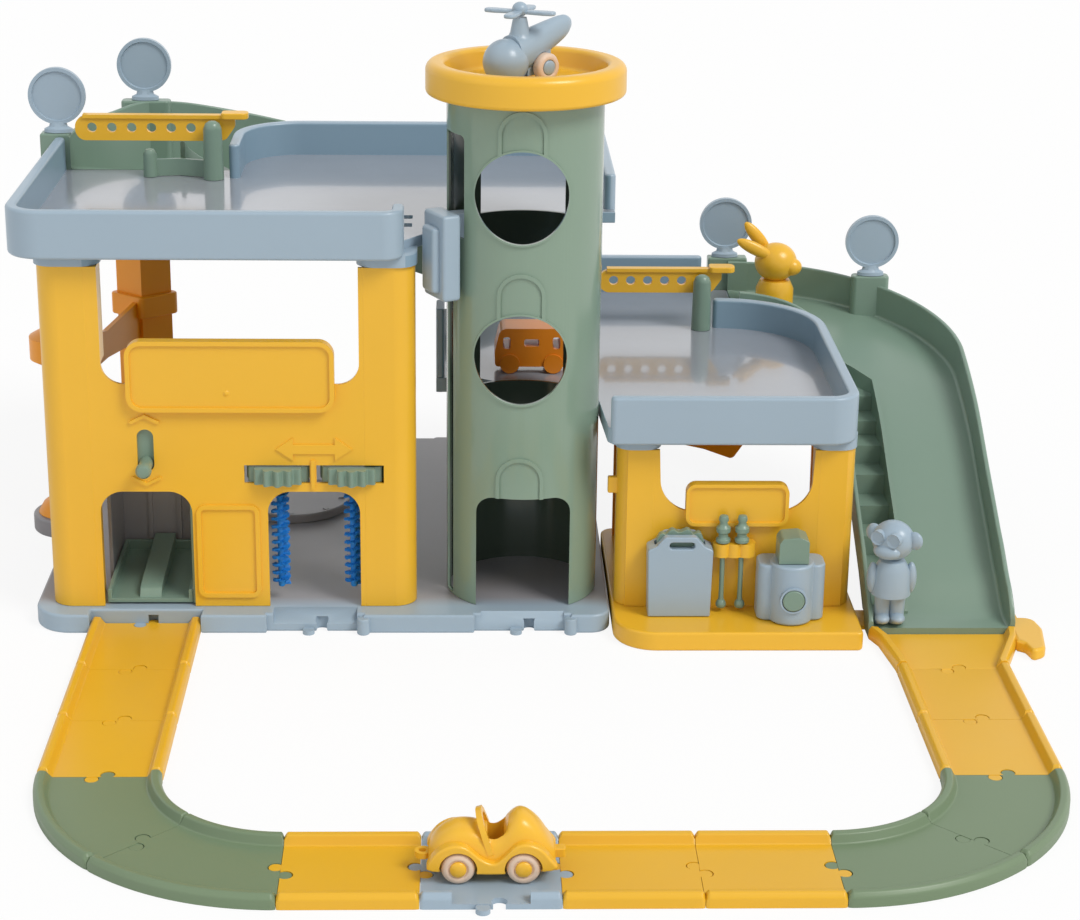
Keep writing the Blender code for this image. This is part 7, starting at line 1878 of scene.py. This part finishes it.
def build_figures():
    """Two generic animals: one stands at the lower ramp's foot, one sits on the second level."""
    x, y, floor = FIGURE_BLUE
    trunk = [(0.0, floor + 22.0), (14.0, floor + 22.0), (12.8, floor + 40.0), (9.0, floor + 47.0)]
    body = turned(trunk + [(0.0, floor + 50.0)], 11, (x, y, 0.0))
    shape = [(0.0, floor), (5.4, floor), (5.2, floor + 9.0), (6.2, floor + 26.0), (0.0, floor + 26.0)]
    for side in (-1, 1):
        leg = turned(shape, 7, (x + side * 5.2, y, 0.0))
        shoe = ball(x + side * 5.4, y - 4.0, floor + 4.2, 5.8, (0.9, 1.2, 0.66), 4, 8)
        arm = ball(x + side * 13.6, y - 1.0, floor + 34.0, 5.0, (0.8, 1.0, 2.3), 4, 7)
        join(body, leg, shoe, arm)
    look = turn(-34.0, "Z", (x, y, 0.0))
    head = ball(x, y - 0.5, floor + 62.0, 15.0, (1.0, 0.92, 0.95), 7, 11)
    muzzle = ball(x, y - 10.5, floor + 56.5, 8.0, (1.25, 0.8, 0.72), 4, 9)
    join(body, moved(head, look), moved(muzzle, look))
    for side in (-1, 1):
        ear = ball(x + side * 15.5, y + 1.0, floor + 64.0, 6.6, (0.9, 0.5, 1.0), 4, 8)
        goggle = turned([(0.0, 0.0), (5.2, 0.0), (5.0, 4.8), (3.4, 3.6), (0.0, 3.6)], 8)
        moved(goggle, shift(x + side * 6.0, y - 10.0, floor + 66.5) @ turn(QUARTER_TURN, "X"))
        join(body, moved(ear, look), moved(goggle, look))
    cut(body, box((x - 40.0, x + 40.0), (y - 40.0, y + 40.0), (floor - 30.0, floor)))
    node("figure_blue", body, "blue_grey")
    x, y, floor = FIGURE_YELLOW
    trunk = [(0.0, floor), (14.2, floor), (15.2, floor + 4.0), (15.2, floor + 17.0), (12.0, floor + 24.0)]
    body = turned(trunk + [(0.0, floor + 26.0)], 12, (x, y, 0.0))
    head = ball(x, y, floor + 38.5, 17.0, (1.0, 0.94, 0.92), 7, 12)
    muzzle = ball(x + 12.0, y - 6.0, floor + 36.0, 8.4, (1.0, 0.9, 0.85), 5, 9)
    join(body, head, muzzle)
    for side, lean in ((-1, -64.0), (1, -40.0)):
        ear = ball(0.0, 0.0, 15.0, 6.4, (0.8, 0.55, 2.5), 5, 8)
        join(body, moved(ear, shift(x - 5.0, y + side * 9.0, floor + 45.0) @ turn(lean, "Y")))
    cut(body, box((x - 40.0, x + 40.0), (y - 40.0, y + 40.0), (floor - 30.0, floor)))
    node("figure_yellow", body, "yellow")


def build_car():
    """The car on the road's front run: hull, fenders, screen, hooks, and two axles with wheels and caps."""
    x_c = CURVE_LEFT[0] + 1.5 * ROAD_GRID
    y_c = CURVE_LEFT[1] - ROAD_RADIUS
    road = ROAD_FLOOR + FIT
    wheel_r = 9.6
    axle_z = road + wheel_r
    reach = 18.5
    half = 14.0
    low = road + 5.5
    sides = {"near": -1, "far": 1}
    hull = []
    for u, wide, tall in CAR_SECTIONS:
        section = [(wide * v, tall * w) for v, w in CAR_ARCH]
        ring = section + [(-v, w) for v, w in reversed(section[:-1])]
        hull.append([(x_c + u, y_c + v, low + w) for v, w in ring])
    body = loft(rounded_hull(hull))
    skirt = flowing([(x_c + u, low + v) for u, v in CAR_SKIRT], 3)
    fenders = {}
    for s in sides.values():
        depth = sorted((y_c + s * (half - 4.0), y_c + s * (half + 4.4)))
        fenders[s] = slab(skirt, *depth, 1.5, upright=True, steps=2)
    # the cockpit's hollow, then the recess behind the seat
    well = ((-2.0, 6.0), (6.5, 6.0), (6.5, 17.0), (15.0, 45.0), (-2.0, 45.0))
    cut(body, slab([(x_c + u, low + v) for u, v in well], y_c - 9.8, y_c + 9.8, upright=True))
    seat = []
    for u, wide, back in ((6.0, 8.8, 19.0), (18.0, 7.0, 27.0)):
        ring = ((-wide, 7.0), (wide, 7.0), (wide, back), (-wide, back))
        seat.append([(x_c + u, y_c + v, low + w) for v, w in ring])
    cut(body, loft(seat))
    hoop = [(-12.4, 12.0), (-11.6, 22.0), (-9.4, 28.5), (-5.5, 32.4)]
    hoop += [(0.0, 33.6), *[(-u, v) for u, v in hoop[::-1]]]
    screen = slab(band(hoop, 1.7), -1.7, 1.7, upright=True)
    moved(screen, shift(x_c + 3.6, y_c, low) @ turn(CAR_LEAN, "Y") @ turn(QUARTER_TURN))
    join(body, screen)
    eye = circle(x_c - 38.8, y_c, 2.3, 10)
    ring = slab(circle(x_c - 38.6, y_c, 4.8, 14), low + 4.0, low + 7.6, 0.0, (eye,))
    x0, x1, y0, y1 = x_c + 33.0, x_c + 42.6, y_c - 3.4, y_c + 3.4
    latch = rounded([(x0, y0, 0.0), (x1, y0, 1.5), (x1, y1, 1.5), (x0, y1, 0.0)], 2)
    join(body, ring, slab(latch, low + 4.0, low + 9.5, 0.6))
    for u in (-reach, reach):
        cut(body, rod(2.4, -30.0, 30.0, 8, (x_c + u, y_c, axle_z), "Y"))
        for s in sides.values():
            arch_at = (x_c + u, y_c + s * (half - 5.2), axle_z)
            for piece in (body, fenders[s]):
                cut(piece, rod(wheel_r + 1.2, 0.0, s * 20.0, 12, arch_at, "Y"))
    cut(body, box((x_c - 60.0, x_c + 60.0), (y_c - 60.0, y_c + 60.0), (road - 20.0, low)))
    for label, s in sides.items():
        extra(f"car_fender_{label}", fenders[s], "car_body", "yellow")
    node("car_body", body, "yellow")
    near = half - 4.6
    tyre = [(0.0, near), (wheel_r - 1.0, near), (wheel_r, near + 1.2), (wheel_r, near + 6.2)]
    tyre += [(wheel_r - 0.7, near + 7.6), (wheel_r - 2.2, near + 8.5), (6.0, near + 8.3)]
    tyre += [(5.2, near + 7.4), (0.0, near + 7.4)]
    dome = [(0.0, near + 6.8), (4.8, near + 6.8), (4.7, near + 8.6), (3.7, near + 9.5), (2.0, near + 9.9)]
    dome += [(0.0, near + 10.0)]
    for name, u in (("car_wheels_front", -reach), ("car_wheels_rear", reach)):
        axle_at = (x_c + u, y_c, axle_z)
        axle = rod(1.9, -half, half, 10, axle_at, "Y")
        for label, s in sides.items():
            join(axle, on_axle(tyre, s, 14, axle_at))
            extra(f"{name}_hub_{label}", on_axle(dome, s, 12, axle_at), name, "yellow", 0.2)
        node(name, axle, "cream")


def build_van():
    """The van behind the lower window."""
    x, y, floor = VAN
    length, width = 54.0, 26.0
    x0, x1, top = x - length / 2, x + length / 2, floor + 34.0
    side = [(x0, floor + 5.0, 3.0), (x1, floor + 5.0, 3.0), (x1, floor + 17.0, 3.0), (x1 - 4.0, top, 6.0)]
    side += [(x0 + 4.0, top, 6.0), (x0, floor + 17.0, 3.0)]
    holes = [rect((x - 5.5, x + 5.5), (floor + 20.5, floor + 26.0), 1.4, 1)]
    for near, far in ((x - 21.0, x - 15.5), (x + 15.5, x + 21.0)):
        holes.append(rect((near, far), (floor + 18.5, floor + 27.5), 1.8, 1))
    body = slab(rounded(side, 2), y - width / 2, y + width / 2, 0.0, holes, upright=True)
    for u in (-16.0, 16.0):
        for s in (-1, 1):
            join(body, rod(7.2, -3.4, 3.4, 10, (x + u, y + s * (width / 2 - 2.0), floor + 7.4), "Y"))
    # the van's plastic is the yellow with painted shade that turns it orange
    node("van", body, "van_painted_shade")


def set_camera():
    """The photograph's viewpoint, from the loop's right angles."""
    lens = bpy.data.cameras.new("camera")
    lens.sensor_width = SENSOR
    lens.lens = SENSOR * VIEW_FOCAL / VIEW_WIDTH
    lens.clip_end = 50.0
    pitch, yaw, roll = (math.radians(a) for a in VIEW_TURNS)
    ahead = Vector((math.sin(yaw) * math.cos(pitch), math.cos(yaw) * math.cos(pitch), -math.sin(pitch)))
    side = Vector((math.cos(yaw), -math.sin(yaw), 0.0))
    over = side.cross(ahead)
    right = math.cos(roll) * side + math.sin(roll) * over
    above = -math.sin(roll) * side + math.cos(roll) * over
    camera = bpy.data.objects.new("camera", lens)
    bpy.context.scene.collection.objects.link(camera)
    turned_to = Matrix((right, above, -ahead)).transposed().to_4x4()
    camera.matrix_world = shift(*VIEW_FROM) @ turned_to
    bpy.context.scene.camera = camera


def sun(name, direction, strength, spread, colour=(1.0, 1.0, 1.0)):
    """A far lamp that shines along a direction."""
    lamp = bpy.data.lights.new(name, "SUN")
    lamp.energy = strength
    lamp.angle = math.radians(spread)
    lamp.color = colour
    made = bpy.data.objects.new(name, lamp)
    made.rotation_euler = Vector(direction).to_track_quat("-Z", "Y").to_euler()
    bpy.context.scene.collection.objects.link(made)


def set_light():
    """A white studio: even light from all round, a broad key from the upper right and a weak fill."""
    world = bpy.data.worlds.new("studio")
    bpy.context.scene.world = world
    world.use_nodes = True
    tree = world.node_tree
    ground = tree.nodes["Background"]
    ground.inputs["Color"].default_value = (1.0, 1.0, 1.0, 1.0)
    rays = tree.nodes.new("ShaderNodeLightPath")
    strength = tree.nodes.new("ShaderNodeMath")
    strength.operation = "MULTIPLY_ADD"
    strength.inputs[1].default_value = 1.0 - ROOM_LIGHT
    strength.inputs[2].default_value = ROOM_LIGHT
    seen = rays.outputs["Is Camera Ray"]
    for kind in ("Is Glossy Ray", "Is Transmission Ray"):
        either = tree.nodes.new("ShaderNodeMath")
        either.operation = "MAXIMUM"
        tree.links.new(seen, either.inputs[0])
        tree.links.new(rays.outputs[kind], either.inputs[1])
        seen = either.outputs[0]
    tree.links.new(seen, strength.inputs[0])
    tree.links.new(strength.outputs[0], ground.inputs["Strength"])
    sun("key", (-0.72, 0.58, -1.0), KEY_LIGHT, 24.0, (1.0, 0.985, 0.96))
    sun("fill", (0.7, 0.6, -0.6), FILL_LIGHT, 60.0, (0.96, 0.98, 1.0))


def set_floor():
    """A white floor that lifts towards white for the camera and keeps the soft shadow."""
    mesh = bpy.data.meshes.new("studio_floor")
    corners = [(x * FLOOR_HALF, y * FLOOR_HALF, 0.0) for x, y in ((-1, -1), (1, -1), (1, 1), (-1, 1))]
    mesh.from_pydata(corners, [], [(0, 1, 2, 3)])
    floor = bpy.data.objects.new("studio_floor", mesh)
    bpy.context.scene.collection.objects.link(floor)
    paint = Paint("studio_floor")
    mesh.materials.append(paint.material)
    paint.shader.inputs["Base Color"].default_value = (0.9, 0.9, 0.9, 1.0)
    paint.shader.inputs["Roughness"].default_value = 0.9
    paint.shader.inputs["Specular IOR Level"].default_value = 0.1
    white = paint.add("ShaderNodeEmission", {}, {"Color": (1.0, 1.0, 1.0, 1.0), "Strength": 1.0})
    rays = paint.add("ShaderNodeLightPath", {}, {}, "Is Camera Ray")
    lit = Wire(paint, paint.shader.outputs[0])
    mixed = paint.add("ShaderNodeMixShader", {}, {0: rays * FLOOR_LIFT, 1: lit, 2: white})
    paint.tree.links.new(mixed.socket, paint.tree.nodes["Material Output"].inputs["Surface"])


build_roads()
build_base()
build_turntable()
build_front_wall()
build_wash()
build_hoist()
build_rear_frame()
build_upper_tray()
barrier("upper", *UPPER_BARRIER)
build_upper_ramp()
build_tower()
build_helipad()
build_helicopter()
build_station()
build_lower_tray()
barrier("lower", *LOWER_BARRIER)
build_lower_ramp()
build_funnel()
build_pumps()
build_figures()
build_car()
build_van()
bpy.context.scene.view_settings.view_transform = "Standard"
set_camera()
set_light()
set_floor()
